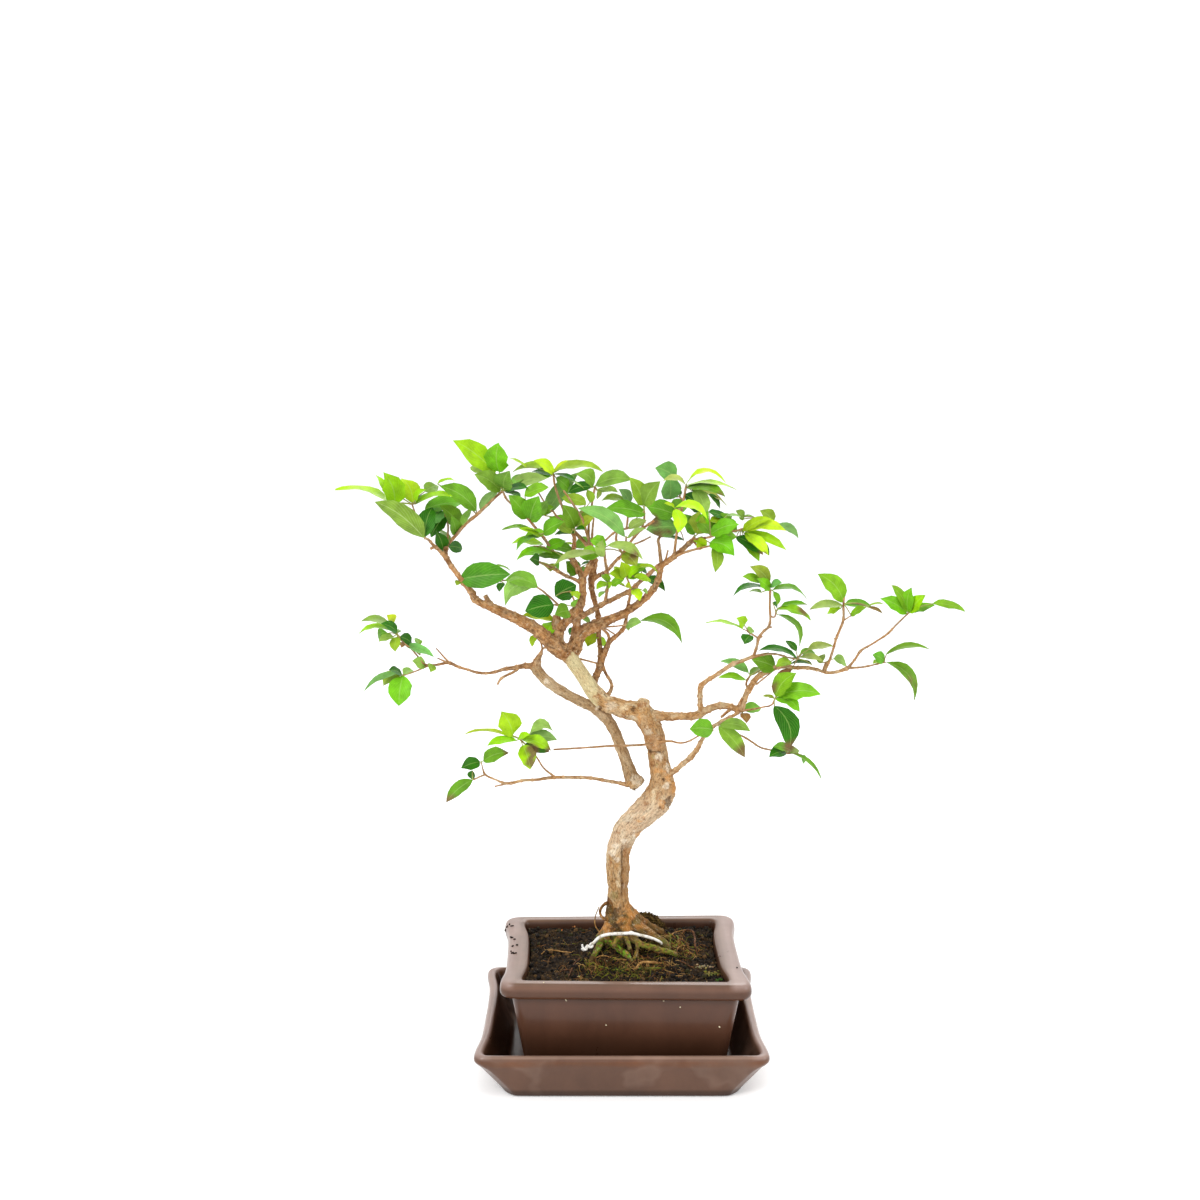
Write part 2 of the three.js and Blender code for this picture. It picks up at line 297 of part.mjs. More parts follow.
// Shoots: the twig end's x, z and depth, then one row for each leaf with its base x and z, tip x
// and z, the tip's depth from its base, width, rise of the midrib and the blade's turn to the view
const SHOOTS = {
  shoot_left_tip: [[-157, 433, -18], [
    [-157, 433, -195, 463, -10, 17, 3, -32], [-157, 433, -165, 462, 14, 20, 2, 75]
  ]],
  shoot_left_rosette: [[-166, 460, -6], [
    [-180, 459, -188, 485, -12, 17, 3, 70], [-166, 461, -174, 481, 10, 14, 3, 70],
    [-181, 460, -226, 474, -8, 14, 4, 18], [-186, 468, -194, 484, 8, 6, 1, 50],
    [-163, 462, -156, 472, -10, 7, 2, 40], [-163, 460, -148, 470, 12, 9, 1, 30],
    [-163, 461, -135, 468, -14, 10, 3, 25], [-156, 470, -145, 475, 14, 10, 1, 62]
  ]],
  shoot_left_inner: [[-140, 452, 14], [
    [-143, 455, -154, 443, -12, 14, 1, 70], [-139, 452, -152, 434, -6, 11, 1, 72],
    [-156, 456, -126, 461, 8, 16, 2, 45], [-127, 441, -143, 459, -12, 14, 1, 60]
  ]],
  shoot_left_fork: [[-140, 426, 6], [
    [-142, 423, -147, 438, -14, 10, 1, 80], [-137, 430, -145, 440, 14, 6, 1, 50],
    [-138, 426, -126, 424, 18, 9, 1, 78], [-132, 436, -135, 450, -16, 9, 1, 72]
  ]],
  shoot_upper_left_node: [[-115, 452, -6], [
    [-115, 455, -143, 475, -12, 15, 3, 62], [-112, 455, -98, 472, 14, 9, 1, 60],
    [-126, 443, -119, 457, 16, 7, 1, 50], [-146, 476, -131, 479, 4, 5, 2, 22]
  ]],
  shoot_upper_left_crown: [[-94, 471, 2], [
    [-100, 485, -132, 511, -8, 17, 2, 70], [-97, 486, -97, 508, -14, 18, 2, 74],
    [-96, 471, -116, 484, -16, 14, 2, 68], [-93, 472, -89, 486, -20, 15, 2, 74],
    [-106, 486, -120, 490, 16, 10, 1, 60], [-92, 471, -75, 474, -18, 9, 1, 35],
    [-92, 470, -80, 466, -20, 7, 1, 30], [-91, 472, -58, 482, 10, 14, 2, 45],
    [-86, 476, -76, 483, 16, 8, 1, 50]
  ]],
  shoot_crown_left_tip: [[-54, 484, 18], [
    [-59, 489, -86, 486, 10, 9, 3, 34], [-75, 489, -88, 497, 4, 4, 1, 30],
    [-54, 484, -69, 495, -10, 9, 2, 60], [-55, 483, -71, 487, 12, 8, 1, 40],
    [-54, 485, -15, 487, -8, 12, 5, 30], [-54, 485, -34, 495, 10, 7, 2, 40],
    [-54, 484, -36, 479, -10, 7, 1, 25]
  ]],
  shoot_crown_left_mid: [[-75, 449, -14], [
    [-75, 449, -89, 467, -12, 13, 1, 74], [-73, 447, -66, 466, -14, 17, 1, 76],
    [-66, 449, -59, 463, 12, 9, 1, 70], [-77, 467, -58, 474, -6, 11, 1, 50]
  ]],
  shoot_crown_left_back: [[-61, 451, 26], [
    [-61, 451, -35, 486, 6, 14, 1, 62], [-37, 442, -57, 450, -6, 9, 1, 50]
  ]],
  shoot_crown_left_low: [[-64, 436, -24], [
    [-62, 437, -46, 446, -14, 12, 1, 62], [-66, 437, -95, 440, -10, 10, 3, 16],
    [-64, 434, -81, 441, -12, 5, 1, 40], [-66, 434, -84, 424, -12, 8, 3, 30]
  ]],
  shoot_crown_left_under: [[-66, 426, -4], [
    [-62, 428, -87, 430, -10, 8, 2, 30], [-55, 421, -84, 416, -14, 10, 4, 36],
    [-45, 417, -68, 419, 10, 7, 1, 40]
  ]],
  shoot_mid_left_pair: [[-67, 393, -30], [
    [-67, 394, -93, 399, -8, 14, 3, 55], [-70, 394, -94, 379, -14, 15, 8, -58]
  ]],
  shoot_mid_left_oval: [[-41, 390, -16], [
    [-53, 386, -36, 395, 4, 16, 1, 84], [-40, 390, -34, 384, -12, 6, 1, 60]
  ]],
  shoot_mid_left_round: [[-54, 379, -34], [
    [-54, 379, -77, 374, -6, 17, 1, 84], [-42, 374, -53, 371, -14, 12, 1, 80],
    [-38, 377, -35, 384, 8, 6, 1, 40]
  ]],
  shoot_mid_left_lime: [[-54, 366, 12], [
    [-54, 366, -79, 371, -6, 9, 1, 45], [-54, 365, -60, 354, -14, 12, 1, 70],
    [-68, 355, -72, 345, -4, 6, 1, 60]
  ]],
  shoot_left_spray: [[-180, 355, -30], [
    [-183, 359, -209, 366, -10, 11, 4, 30], [-185, 362, -188, 371, -8, 9, 2, 50],
    [-180, 357, -192, 364, -14, 8, 1, 60], [-184, 358, -211, 356, 4, 10, 4, 25],
    [-188, 356, -195, 350, 10, 8, 3, 60], [-183, 353, -195, 349, -8, 7, 1, 50],
    [-180, 353, -182, 341, -10, 8, 1, 74], [-178, 353, -168, 347, 12, 9, 1, 66],
    [-178, 349, -177, 344, -4, 5, 1, 50], [-180, 356, -176, 358, 6, 4, 1, 40]
  ]],
  shoot_left_pendant: [[-176, 321, -26], [
    [-176, 321, -180, 296, -10, 17, 1, 84], [-178, 321, -193, 311, 8, 9, 4, 60],
    [-179, 323, -208, 309, -6, 9, 3, 40], [-177, 322, -187, 326, -12, 8, 1, 40],
    [-176, 322, -167, 325, 10, 8, 1, 45]
  ]],
  shoot_left_large: [[-129, 400, -14], [
    [-129, 400, -89, 404, -8, 20, 1, 80], [-128, 398, -132, 395, -6, 5, 1, 60]
  ]],
  shoot_top_pair: [[-21, 474, 2], [
    [-23, 474, -36, 484, -8, 11, 5, 70], [-21, 475, 8, 480, -12, 15, 3, 48],
    [-20, 471, -3, 470, 14, 9, 1, -30], [-24, 474, -43, 469, 10, 10, 2, 50],
    [-19, 471, -19, 464, 8, 5, 1, 50], [-28, 471, -40, 479, 12, 4, 1, 30]
  ]],
  shoot_crown_mint: [[4, 434, -46], [
    [3, 434, -34, 457, -10, 16, 5, 55], [5, 433, 19, 441, -8, 6, 1, 40]
  ]],
  shoot_crown_arch: [[5, 459, 22], [
    [5, 460, -16, 463, -8, 8, 4, 40], [6, 460, -2, 472, -6, 9, 2, 60]
  ]],
  shoot_crown_olive: [[18, 455, -18], [
    [19, 452, -12, 457, -10, 15, 2, 50], [17, 459, 7, 481, -10, 12, 2, 74],
    [18, 459, 30, 478, -14, 14, 2, 74], [6, 440, 20, 448, -8, 9, 1, -50]
  ]],
  shoot_crown_green: [[-38, 442, -8], [
    [-37, 441, -46, 459, -12, 13, 1, 72], [-28, 460, -48, 466, 12, 10, 1, 60],
    [-32, 442, -22, 450, -8, 8, 1, 60], [-25, 461, -27, 472, 8, 7, 1, 60],
    [-37, 437, -54, 436, 12, 6, 1, 40], [-37, 440, -29, 440, -10, 5, 1, 40]
  ]],
  shoot_crown_front: [[-14, 424, -56], [
    [-12, 428, -25, 431, -10, 9, 1, 80], [-16, 418, -15, 431, -12, 8, 1, 70],
    [-20, 421, -54, 413, -8, 9, 3, 36], [-18, 418, -34, 419, 10, 11, 2, 70],
    [-11, 427, 17, 416, -8, 11, 4, 40], [2, 421, 12, 411, -12, 12, 1, 76]
  ]],
  shoot_crown_left_base: [[-38, 424, 30], [
    [-38, 423, -57, 426, -8, 9, 1, 56], [-38, 428, -55, 427, 8, 4, 1, 30]
  ]],
  shoot_right_blue: [[46, 466, 20], [
    [43, 480, 27, 489, -12, 15, 2, 70], [38, 464, 38, 483, -14, 15, 1, 76],
    [48, 469, 35, 468, 8, 9, 1, 50]
  ]],
  shoot_right_top: [[51, 474, 0], [
    [51, 475, 33, 479, -10, 7, 4, 40], [51, 476, 82, 479, -6, 8, 9, 26],
    [51, 475, 91, 472, -10, 10, 4, 20], [51, 473, 82, 468, -14, 13, 3, 32],
    [55, 471, 84, 460, 12, 9, 3, 26], [57, 472, 68, 452, -12, 13, 3, 80],
    [69, 468, 79, 456, 10, 6, 1, 40], [50, 468, 66, 454, 16, 14, 1, 74]
  ]],
  shoot_right_yellow: [[43, 456, -30], [
    [42, 457, 68, 449, -10, 9, 6, 42], [42, 456, 45, 437, -12, 10, 3, 80],
    [42, 457, 34, 461, -6, 4, 1, 40]
  ]],
  shoot_right_mint: [[46, 440, 8], [
    [42, 450, 21, 454, -8, 15, 1, 76], [44, 442, 20, 440, -14, 17, 1, 76],
    [50, 431, 30, 434, 10, 5, 1, 30]
  ]],
  shoot_right_burl: [[58, 434, 2], [
    [58, 436, 50, 452, -8, 11, 1, 72], [61, 436, 62, 454, -12, 14, 1, 76],
    [64, 438, 68, 454, -16, 11, 1, 74], [58, 432, 68, 427, -14, 7, 1, 60]
  ]],
  shoot_right_crown: [[71, 434, -14], [
    [71, 436, 93, 444, -10, 13, 2, 62], [70, 446, 88, 449, 10, 8, 1, 50],
    [69, 454, 87, 447, 12, 8, 1, 40], [83, 451, 96, 450, 6, 4, 1, 30]
  ]],
  shoot_right_hang: [[72, 427, -10], [
    [70, 429, 90, 419, -10, 16, 4, 76], [74, 427, 75, 406, -14, 9, 2, 80]
  ]],
  shoot_far_right_crown: [[95, 440, 6], [
    [93, 441, 133, 437, -10, 15, 4, 50], [98, 438, 123, 426, -16, 12, 3, 56],
    [120, 434, 134, 423, -6, 7, 1, 30], [91, 434, 113, 420, -12, 11, 2, 60],
    [97, 434, 108, 424, 10, 10, 1, 60], [107, 432, 118, 419, 8, 7, 1, 56],
    [101, 425, 109, 413, -12, 7, 1, 60]
  ]],
  shoot_far_right_back: [[110, 448, 20], [
    [120, 445, 110, 455, -6, 10, 2, 70], [122, 443, 141, 433, -8, 9, 3, 42],
    [97, 448, 91, 455, -8, 7, 1, 60], [97, 450, 107, 449, 8, 4, 1, 30]
  ]],
  shoot_centre_lime: [[3, 404, -44], [
    [3, 401, 0, 414, -10, 12, 1, 72], [5, 402, 15, 410, -14, 10, 1, 60],
    [2, 400, -10, 404, -10, 8, 2, 60], [13, 409, 30, 405, 8, 6, 3, 26]
  ]],
  shoot_centre_lime_left: [[-10, 397, -30], [
    [-11, 397, -20, 392, -8, 6, 1, 60], [-13, 390, -18, 385, -6, 4, 1, 50],
    [-11, 393, -6, 396, -6, 5, 1, 50], [3, 394, -9, 398, 6, 3, 1, 30]
  ]],
  shoot_centre_dark: [[16, 402, 14], [
    [14, 404, 8, 407, -6, 6, 1, 50], [18, 401, 35, 391, -10, 9, 2, 52], [16, 407, 21, 404, 6, 5, 1, 40]
  ]],
  shoot_under_right: [[6, 363, -14], [
    [15, 366, 49, 348, -10, 13, 9, 46], [4, 362, 16, 365, -8, 9, 1, 50], [7, 364, 6, 358, -4, 4, 1, 60]
  ]],
  shoot_fork_oval: [[-38, 404, 18], [
    [-36, 404, -44, 414, -8, 12, 1, 74], [-31, 404, -27, 410, 8, 6, 1, 60],
    [-25, 413, -33, 411, 6, 4, 1, 30]
  ]],
  shoot_right_spire: [[119, 391, -16], [
    [118, 396, 103, 410, -8, 10, 3, 70], [112, 398, 97, 402, -12, 7, 1, 64],
    [119, 391, 109, 400, -14, 8, 1, 70], [117, 391, 89, 386, -6, 9, 6, 26],
    [112, 389, 102, 390, 8, 5, 1, 30], [121, 391, 149, 385, 6, 9, 5, 26],
    [119, 394, 128, 397, -10, 7, 1, 50], [122, 390, 125, 379, -8, 6, 1, 50]
  ]],
  shoot_right_spire_low: [[124, 373, -20], [
    [125, 376, 152, 367, -10, 9, 3, 40], [128, 378, 150, 380, 8, 6, 1, 40],
    [121, 381, 125, 376, 6, 4, 1, 40], [125, 371, 144, 344, -6, 9, 8, 30]
  ]],
  shoot_right_lime_small: [[102, 357, -24], [
    [99, 362, 93, 368, -8, 9, 1, 64], [98, 359, 68, 365, -4, 6, 3, 24],
    [104, 354, 99, 347, -10, 9, 1, 76], [101, 357, 107, 358, 6, 6, 1, 60]
  ]],
  shoot_right_round: [[104, 321, -6], [
    [124, 328, 106, 334, -8, 15, 1, 78], [103, 323, 80, 334, 8, 9, 2, 50],
    [101, 317, 79, 320, -8, 7, 2, 46], [104, 321, 115, 328, 12, 7, 1, 50]
  ]],
  shoot_right_roof: [[142, 335, -10], [
    [142, 335, 111, 343, -8, 9, 4, 32], [141, 341, 132, 350, 8, 6, 1, 56],
    [144, 339, 157, 340, 10, 7, 1, 50], [150, 342, 171, 345, 12, 8, 2, 46],
    [143, 336, 163, 333, -10, 7, 2, 40], [137, 333, 125, 329, -12, 8, 1, 60],
    [154, 330, 134, 330, 14, 6, 2, 30], [138, 326, 122, 310, 14, 8, 2, 60]
  ]],
  shoot_right_fan: [[178, 380, -14], [
    [178, 378, 151, 376, -8, 9, 2, 42], [176, 376, 165, 372, 8, 7, 1, 56],
    [178, 381, 156, 404, -10, 18, 4, 74], [179, 379, 201, 378, 6, 9, 2, 42],
    [198, 377, 210, 372, 0, 4, 1, 40], [198, 378, 210, 380, -4, 3, 1, 30],
    [184, 370, 196, 377, -10, 7, 1, 50]
  ]],
  shoot_far_right_tip: [[230, 372, -8], [
    [229, 372, 213, 386, -12, 15, 2, 74], [230, 373, 227, 394, -8, 13, 2, 72],
    [230, 373, 240, 386, -14, 12, 1, 68], [227, 390, 216, 395, -4, 4, 1, 40],
    [231, 373, 250, 380, 6, 7, 1, 50], [248, 380, 276, 375, 6, 9, 2, 60]
  ]],
  shoot_far_right_low: [[212, 332, -12], [
    [213, 338, 248, 344, -8, 8, 4, 34], [212, 333, 203, 338, -10, 9, 1, 70],
    [208, 332, 203, 331, -6, 4, 1, 50], [213, 332, 238, 301, -8, 12, 8, 42]
  ]],
  shoot_right_lobes: [[124, 301, -24], [
    [125, 304, 141, 323, -8, 14, 3, 70], [128, 305, 161, 306, -14, 13, 3, 72],
    [125, 302, 145, 291, -8, 10, 4, 60], [124, 302, 114, 304, 6, 4, 1, 40],
    [124, 296, 137, 260, -10, 16, 6, 80]
  ]],
  shoot_right_low: [[136, 256, -16], [
    [138, 259, 124, 262, -8, 8, 1, 56], [136, 257, 145, 259, 8, 8, 1, 60],
    [134, 258, 121, 254, -10, 10, 1, 60], [137, 257, 164, 234, -8, 7, 4, 26],
    [147, 255, 149, 247, 6, 5, 1, 50]
  ]],
  shoot_right_shears: [[80, 280, -20], [
    [79, 279, 101, 253, -8, 12, 2, 80], [80, 280, 105, 275, -12, 9, 3, 50]
  ]],
  shoot_low_rosette: [[-82, 268, -26], [
    [-88, 271, -97, 291, -10, 17, 2, 80], [-93, 271, -127, 273, 6, 7, 3, 20],
    [-85, 267, -109, 263, -8, 9, 2, 42], [-84, 268, -74, 272, -10, 6, 1, 50],
    [-81, 269, -57, 259, -14, 10, 2, 56], [-78, 264, -58, 258, 8, 10, 1, 70],
    [-80, 263, -74, 243, -10, 13, 1, 80], [-74, 273, -54, 273, 10, 10, 7, 50],
    [-76, 269, -52, 268, 4, 11, 2, 60]
  ]],
  shoot_low_pair: [[-114, 249, -20], [
    [-112, 250, -92, 257, -8, 14, 2, 74], [-115, 249, -130, 244, -10, 10, 1, 78]
  ]],
};

// A closed three.js geometry as a solid that can be joined and cut
function solid(geometry) {
  geometry.deleteAttribute("normal");
  geometry.deleteAttribute("uv");
  const merged = mergeVertices(geometry, 1e-4);
  const index = merged.index.array;
  const kept = [];
  for (let i = 0; i < index.length; i += 3) {
    const [a, b, c] = [index[i], index[i + 1], index[i + 2]];
    if (a !== b && b !== c && c !== a) kept.push(a, b, c);
  }
  const mesh = new wasm.Mesh({
    numProp: 3,
    vertProperties: merged.attributes.position.array,
    triVerts: new Uint32Array(kept),
  });
  return new wasm.Manifold(mesh);
}

// The largest body of a solid that a cut has left in pieces, of those that meet its seat
function largest(made, seat) {
  const bodies = made.decompose().filter((b) => !seat || b.intersect(seat).volume() > 0.01);
  bodies.sort((a, b) => b.volume() - a.volume());
  return bodies[0];
}

// Whether each edge lies between two faces and each corner in a single fan of faces
function clean(made) {
  const mesh = made.getMesh();
  const stride = mesh.numProp;
  const keys = [];
  for (let i = 0; i < mesh.numVert; i++) {
    const v = mesh.vertProperties.subarray(i * stride, i * stride + 3);
    keys.push([...v].map((n) => Math.round(n * 500)).join());
  }
  const edges = new Map();
  const fans = new Map();
  for (let i = 0; i < mesh.triVerts.length; i += 3) {
    const face = [0, 1, 2].map((j) => keys[mesh.triVerts[i + j]]);
    if (new Set(face).size < 3) continue;
    face.forEach((a, j) => {
      const b = face[(j + 1) % 3];
      const c = face[(j + 2) % 3];
      const edge = a < b ? a + " " + b : b + " " + a;
      edges.set(edge, (edges.get(edge) || 0) + 1);
      if (!fans.has(a)) fans.set(a, new Map());
      if (fans.get(a).has(b)) edges.set(edge, 3);
      fans.get(a).set(b, c);
    });
  }
  if ([...edges.values()].some((n) => n !== 2)) return false;
  return [...fans.values()].every((fan) => {
    const first = [...fan.keys()][0];
    let at = fan.get(first);
    let turned = 1;
    while (at !== first && turned < fan.size) {
      at = fan.get(at);
      turned += 1;
    }
    return at === first && turned === fan.size;
  });
}

// The largest body with its slivers joined, at the first tolerance that leaves it clean
function tidied(made, seat) {
  const whole = made.asOriginal();
  for (const tolerance of TOLERANCES) {
    const one = largest(whole.simplify(tolerance), seat);
    if (clean(one)) return one;
  }
  throw new Error("no tolerance leaves it clean");
}

// A point read at x and z, moved along its line of sight to the depth y
function seen(x, z, y) {
  const scale = (y - VIEW.y) / -VIEW.y;
  return new THREE.Vector3(VIEW.x + (x - VIEW.x) * scale, y, VIEW.z + (z - VIEW.z) * scale);
}

// Outline of the pot and saucer: a rectangle with round corners and drawn-in short sides, as
// points turning from the middle of the right side towards the back
function outline(halfX, halfY, corner, drawnIn) {
  const r = Math.min(corner, halfX / 2, halfY / 2);
  const d = Math.min(drawnIn, r / 2);
  const arc = [0, 1, 2, 3, 4].map((i) => {
    const a = (i * Math.PI) / 8;
    return [halfX - r + r * Math.cos(a), halfY - r + r * Math.sin(a)];
  });
  const quarter = [
    [halfX - d, (halfY - r) * 0.72],
    [halfX - d * 0.4, (halfY - r) * 0.88],
    ...arc,
  ];
  const turned = [...quarter].reverse();
  return [
    [halfX - d, 0],
    ...quarter,
    [0, halfY],
    ...turned.map(([x, y]) => [-x, y]),
    [d - halfX, 0],
    ...quarter.map(([x, y]) => [-x, -y]),
    [0, -halfY],
    ...turned.map(([x, y]) => [x, -y]),
  ];
}

// A lathed solid whose rings follow the outline at each level
function tray(levels, corner, drawnIn) {
  const rings = levels.map(([x, y]) => outline(x, y, corner, drawnIn));
  const sides = rings[0].length;
  const profile = levels.map(([x, , z]) => new THREE.Vector2(x, z));
  const geometry = new THREE.LatheGeometry(profile, sides);
  const position = geometry.attributes.position;
  for (let i = 0; i < position.count; i++) {
    const side = Math.floor(i / levels.length) % sides;
    const level = i % levels.length;
    const [x, y] = rings[level][side];
    position.setXYZ(i, x, y, levels[level][2]);
  }
  return solid(geometry);
}

// The points of a branch without those that lie close to the line between their neighbours
function spare(points) {
  const kept = [points[0]];
  for (let i = 1; i < points.length - 1; i++) {
    const a = kept[kept.length - 1];
    const b = points[i];
    const c = points[i + 1];
    const line = new THREE.Line3(new THREE.Vector3(...a), new THREE.Vector3(...c));
    const p = new THREE.Vector3(...b);
    const near = line.closestPointToPoint(p, true, new THREE.Vector3());
    if (near.distanceTo(p) > STRAIGHT) kept.push(b);
  }
  return [...kept, points[points.length - 1]];
}

// A round rod through points of x, z, depth and radius, made thicker and longer by grow
function rod(points, sides, grow) {
  const path = points.map(([x, z, y]) => seen(x, z, y));
  const last = path.length - 1;
  const along = path.map((p, i) =>
    path[Math.min(i + 1, last)].clone().sub(path[Math.max(i - 1, 0)]).normalize(),
  );
  path[0].addScaledVector(along[0], -grow);
  path[last].addScaledVector(along[last], grow);
  const first = new THREE.Vector3(1, 0, 0);
  if (Math.abs(along[0].x) > 0.9) first.set(0, 0, 1);
  const across = [];
  along.forEach((t, i) => {
    const a = (i ? across[i - 1] : first).clone();
    across.push(a.addScaledVector(t, -a.dot(t)).normalize());
  });
  const geometry = new THREE.CylinderGeometry(1, 1, 1, sides, last);
  const position = geometry.attributes.position;
  const v = new THREE.Vector3();
  for (let i = 0; i < position.count; i++) {
    v.fromBufferAttribute(position, i);
    const row = Math.round((0.5 - v.y) * last);
    const scale = (path[row].y - VIEW.y) / -VIEW.y;
    const r = points[row][3] * scale * (sides < 5 ? 1.2 : 1) + grow * (sides < 5 ? 1.6 : 1.15);
    const up = along[row].clone().cross(across[row]);
    const p = path[row].clone().addScaledVector(across[row], v.x * r).addScaledVector(up, v.z * r);
    position.setXYZ(i, p.x, p.y, p.z);
  }
  return solid(geometry);
}

// One leaf: a stalk from the twig end to the blade's base, and a thin blade with a raised midrib
function leaf(node, row, [baseShift, tipShift], grow) {
  const [baseX, baseZ, tipX, tipZ, depth, width, rise, turn] = row;
  const start = seen(...node);
  const base = seen(baseX, baseZ, node[2] + baseShift);
  const tip = seen(tipX, tipZ, node[2] + depth + baseShift + tipShift);
  const along = tip.clone().sub(base);
  const direction = along.clone().normalize();
  const toView = VIEW.clone().sub(base).normalize();
  const face = toView.clone().addScaledVector(direction, -toView.dot(direction)).normalize();
  const side = new THREE.Vector3().crossVectors(face, direction);
  const up = side.z < 0 ? side.clone().negate() : side.clone();
  const angle = THREE.MathUtils.degToRad(turn);
  const normal = up.clone().multiplyScalar(Math.cos(angle)).addScaledVector(face, Math.sin(angle));
  const across = new THREE.Vector3().crossVectors(normal, direction);
  const rows = [
    [start, 0, 0],
    ...LEAF_ROWS.map(([share, half], i) => {
      const p = base.clone().addScaledVector(along, share);
      p.addScaledVector(up, rise * 4 * share * (1 - share));
      const wide = i ? (half * width) / 2 : STALK_RADIUS;
      return [p, wide + grow, (i ? LEAF_HALF_THICK : STALK_RADIUS) + grow];
    }),
    [tip.clone().addScaledVector(direction, grow * 2), 0, 0],
  ];
  const geometry = new THREE.SphereGeometry(1, 3, rows.length - 1);
  const position = geometry.attributes.position;
  const v = new THREE.Vector3();
  for (let i = 0; i < position.count; i++) {
    v.fromBufferAttribute(position, i);
    const [p, wide, thick] = rows[Math.floor(i / 4)];
    const [aside, above] = SECTION[i % 4];
    const q = p.clone().addScaledVector(across, aside * wide).addScaledVector(normal, above * thick);
    position.setXYZ(i, q.x, q.y, q.z);
  }
  return solid(geometry);
}

// The bud collar that holds a shoot's leaves on its twig, a little thicker than the twig
function collar(node, grow) {
  let nearest = [0, 0, 0, 1];
  let least = Infinity;
  for (const point of Object.values(BRANCHES).flat()) {
    const distance = Math.hypot(point[0] - node[0], point[1] - node[1], point[2] - node[2]);
    if (distance < least) {
      least = distance;
      nearest = point;
    }
  }
  const radius = nearest[3] * 1.3 + COLLAR_WALL;
  const geometry = new THREE.SphereGeometry(radius + grow, 6, 4);
  const p = seen(...node);
  geometry.translate(p.x, p.y, p.z);
  return solid(geometry);
}

const object = new THREE.Group();
object.name = "syzygium_bonsai";

// A solid as a named mesh with a material of its own
function add(name, made, color, roughness) {
  const mesh = made.getMesh();
  const geometry = new THREE.BufferGeometry();
  const stride = mesh.numProp;
  const vertices = new Float32Array(mesh.numVert * 3);
  for (let i = 0; i < mesh.numVert; i++) {
    vertices.set(mesh.vertProperties.subarray(i * stride, i * stride + 3), i * 3);
  }
  geometry.setAttribute("position", new THREE.BufferAttribute(vertices, 3));
  geometry.setIndex(new THREE.BufferAttribute(mesh.triVerts, 1));
  geometry.computeVertexNormals();
  const material = new THREE.MeshStandardMaterial({ color, roughness, metalness: 0 });
  const node = new THREE.Mesh(geometry, material);
  node.name = name;
  object.add(node);
}

// Saucer: slip-cast stoneware, glazed
add("saucer", tray(SAUCER_LEVELS, SAUCER_CORNER, SAUCER_DRAWN_IN), 0x6e5246, 0.3);

// Pot: slip-cast stoneware, glazed, with two drainage holes through its floor
let pot = tray(POT_LEVELS, POT_CORNER, POT_DRAWN_IN);
for (const x of [-DRAIN_X, DRAIN_X]) {
  const hole = new THREE.CylinderGeometry(DRAIN_RADIUS, DRAIN_RADIUS, 20, 24);
  hole.rotateX(Math.PI / 2).translate(x, 0, POT_FLOOR);
  pot = pot.subtract(solid(hole));
}
add("pot", pot, 0x5c4034, 0.3);

// Drainage screens: plastic mesh squares over the holes
for (const [name, x] of [["screen_left", -DRAIN_X], ["screen_right", DRAIN_X]]) {
  const square = new THREE.BoxGeometry(SCREEN_SIDE, SCREEN_SIDE, SCREEN_THICK);
  square.translate(x, 0, POT_FLOOR + GAP + SCREEN_THICK / 2);
  add(name, solid(square), 0x2c2f2c, 0.7);
}

// Wood: trunk, limbs, twigs, stubs and surface roots, grown as one piece
const sidesFor = (r) => (r > 6 ? 8 : r > 2.4 ? 6 : r > 1.3 ? 4 : 3);
const branches = Object.values(BRANCHES).map(spare);
const woodRods = branches.map((b) => rod(b, sidesFor(b[0][3]), 0));
const grownRods = branches.map((b) => rod(b, sidesFor(b[0][3]), GAP));
const join = (list) => list.reduce((all, one) => all.add(one));
const wood = tidied(join(woodRods));
const grownWood = join(grownRods).asOriginal().simplify(0.05);
add("wood", wood, 0x9a7f5c, 0.85);

// Tie: white plastic-coated wire over the root base, both ends in the soil
const tie = largest(rod(TIE, TIE_SIDES, 0).subtract(grownWood));
add("tie", tie, 0xe8e6df, 0.5);

// Moss: one pad on the soil
const pad = (grow) => {
  const geometry = new THREE.SphereGeometry(1, 14, 8);
  geometry.scale(...MOSS_HALF_SIZE.map((half) => half + grow));
  geometry.translate(...MOSS_CENTRE);
  return solid(geometry);
};
const moss = largest(pad(0).subtract(grownWood));
add("moss", moss, 0x5b6130, 0.95);

// Soil: fills the pot up to the mound, cut clear of the roots, the tie and the moss
const filled = tray(SOIL_LEVELS, POT_CORNER, POT_DRAWN_IN);
const soil = filled.subtract(grownWood).subtract(rod(TIE, TIE_SIDES, GAP)).subtract(pad(GAP));
add("soil", largest(soil), 0x2a2521, 0.95);

// Shoots: leaves joined by their collar, each moved in depth until it clears its neighbours
const placed = [];
const meets = (made, others) =>
  others.reduce((sum, other) => sum + other.intersect(made).volume(), 0);
for (const [name, [node, leaves]] of Object.entries(SHOOTS)) {
  let shoot = collar(node, 0);
  let grown = collar(node, GAP);
  for (const row of leaves) {
    let best = SHIFTS[0];
    let least = Infinity;
    for (const shift of SHIFTS) {
      const wide = leaf(node, row, shift, GAP);
      const clash = meets(wide, placed) + meets(wide.subtract(grown), [grownWood]);
      if (clash < least) {
        least = clash;
        best = shift;
      }
      if (clash < 1e-4) break;
    }
    shoot = shoot.add(leaf(node, row, best, 0));
    grown = grown.add(leaf(node, row, best, GAP));
  }
  shoot = shoot.subtract(grownWood);
  for (const other of placed) shoot = shoot.subtract(other);
  add(name, tidied(shoot, collar(node, 0)), 0x4f7a2c, 0.5);
  placed.push(grown);
}

export default object;
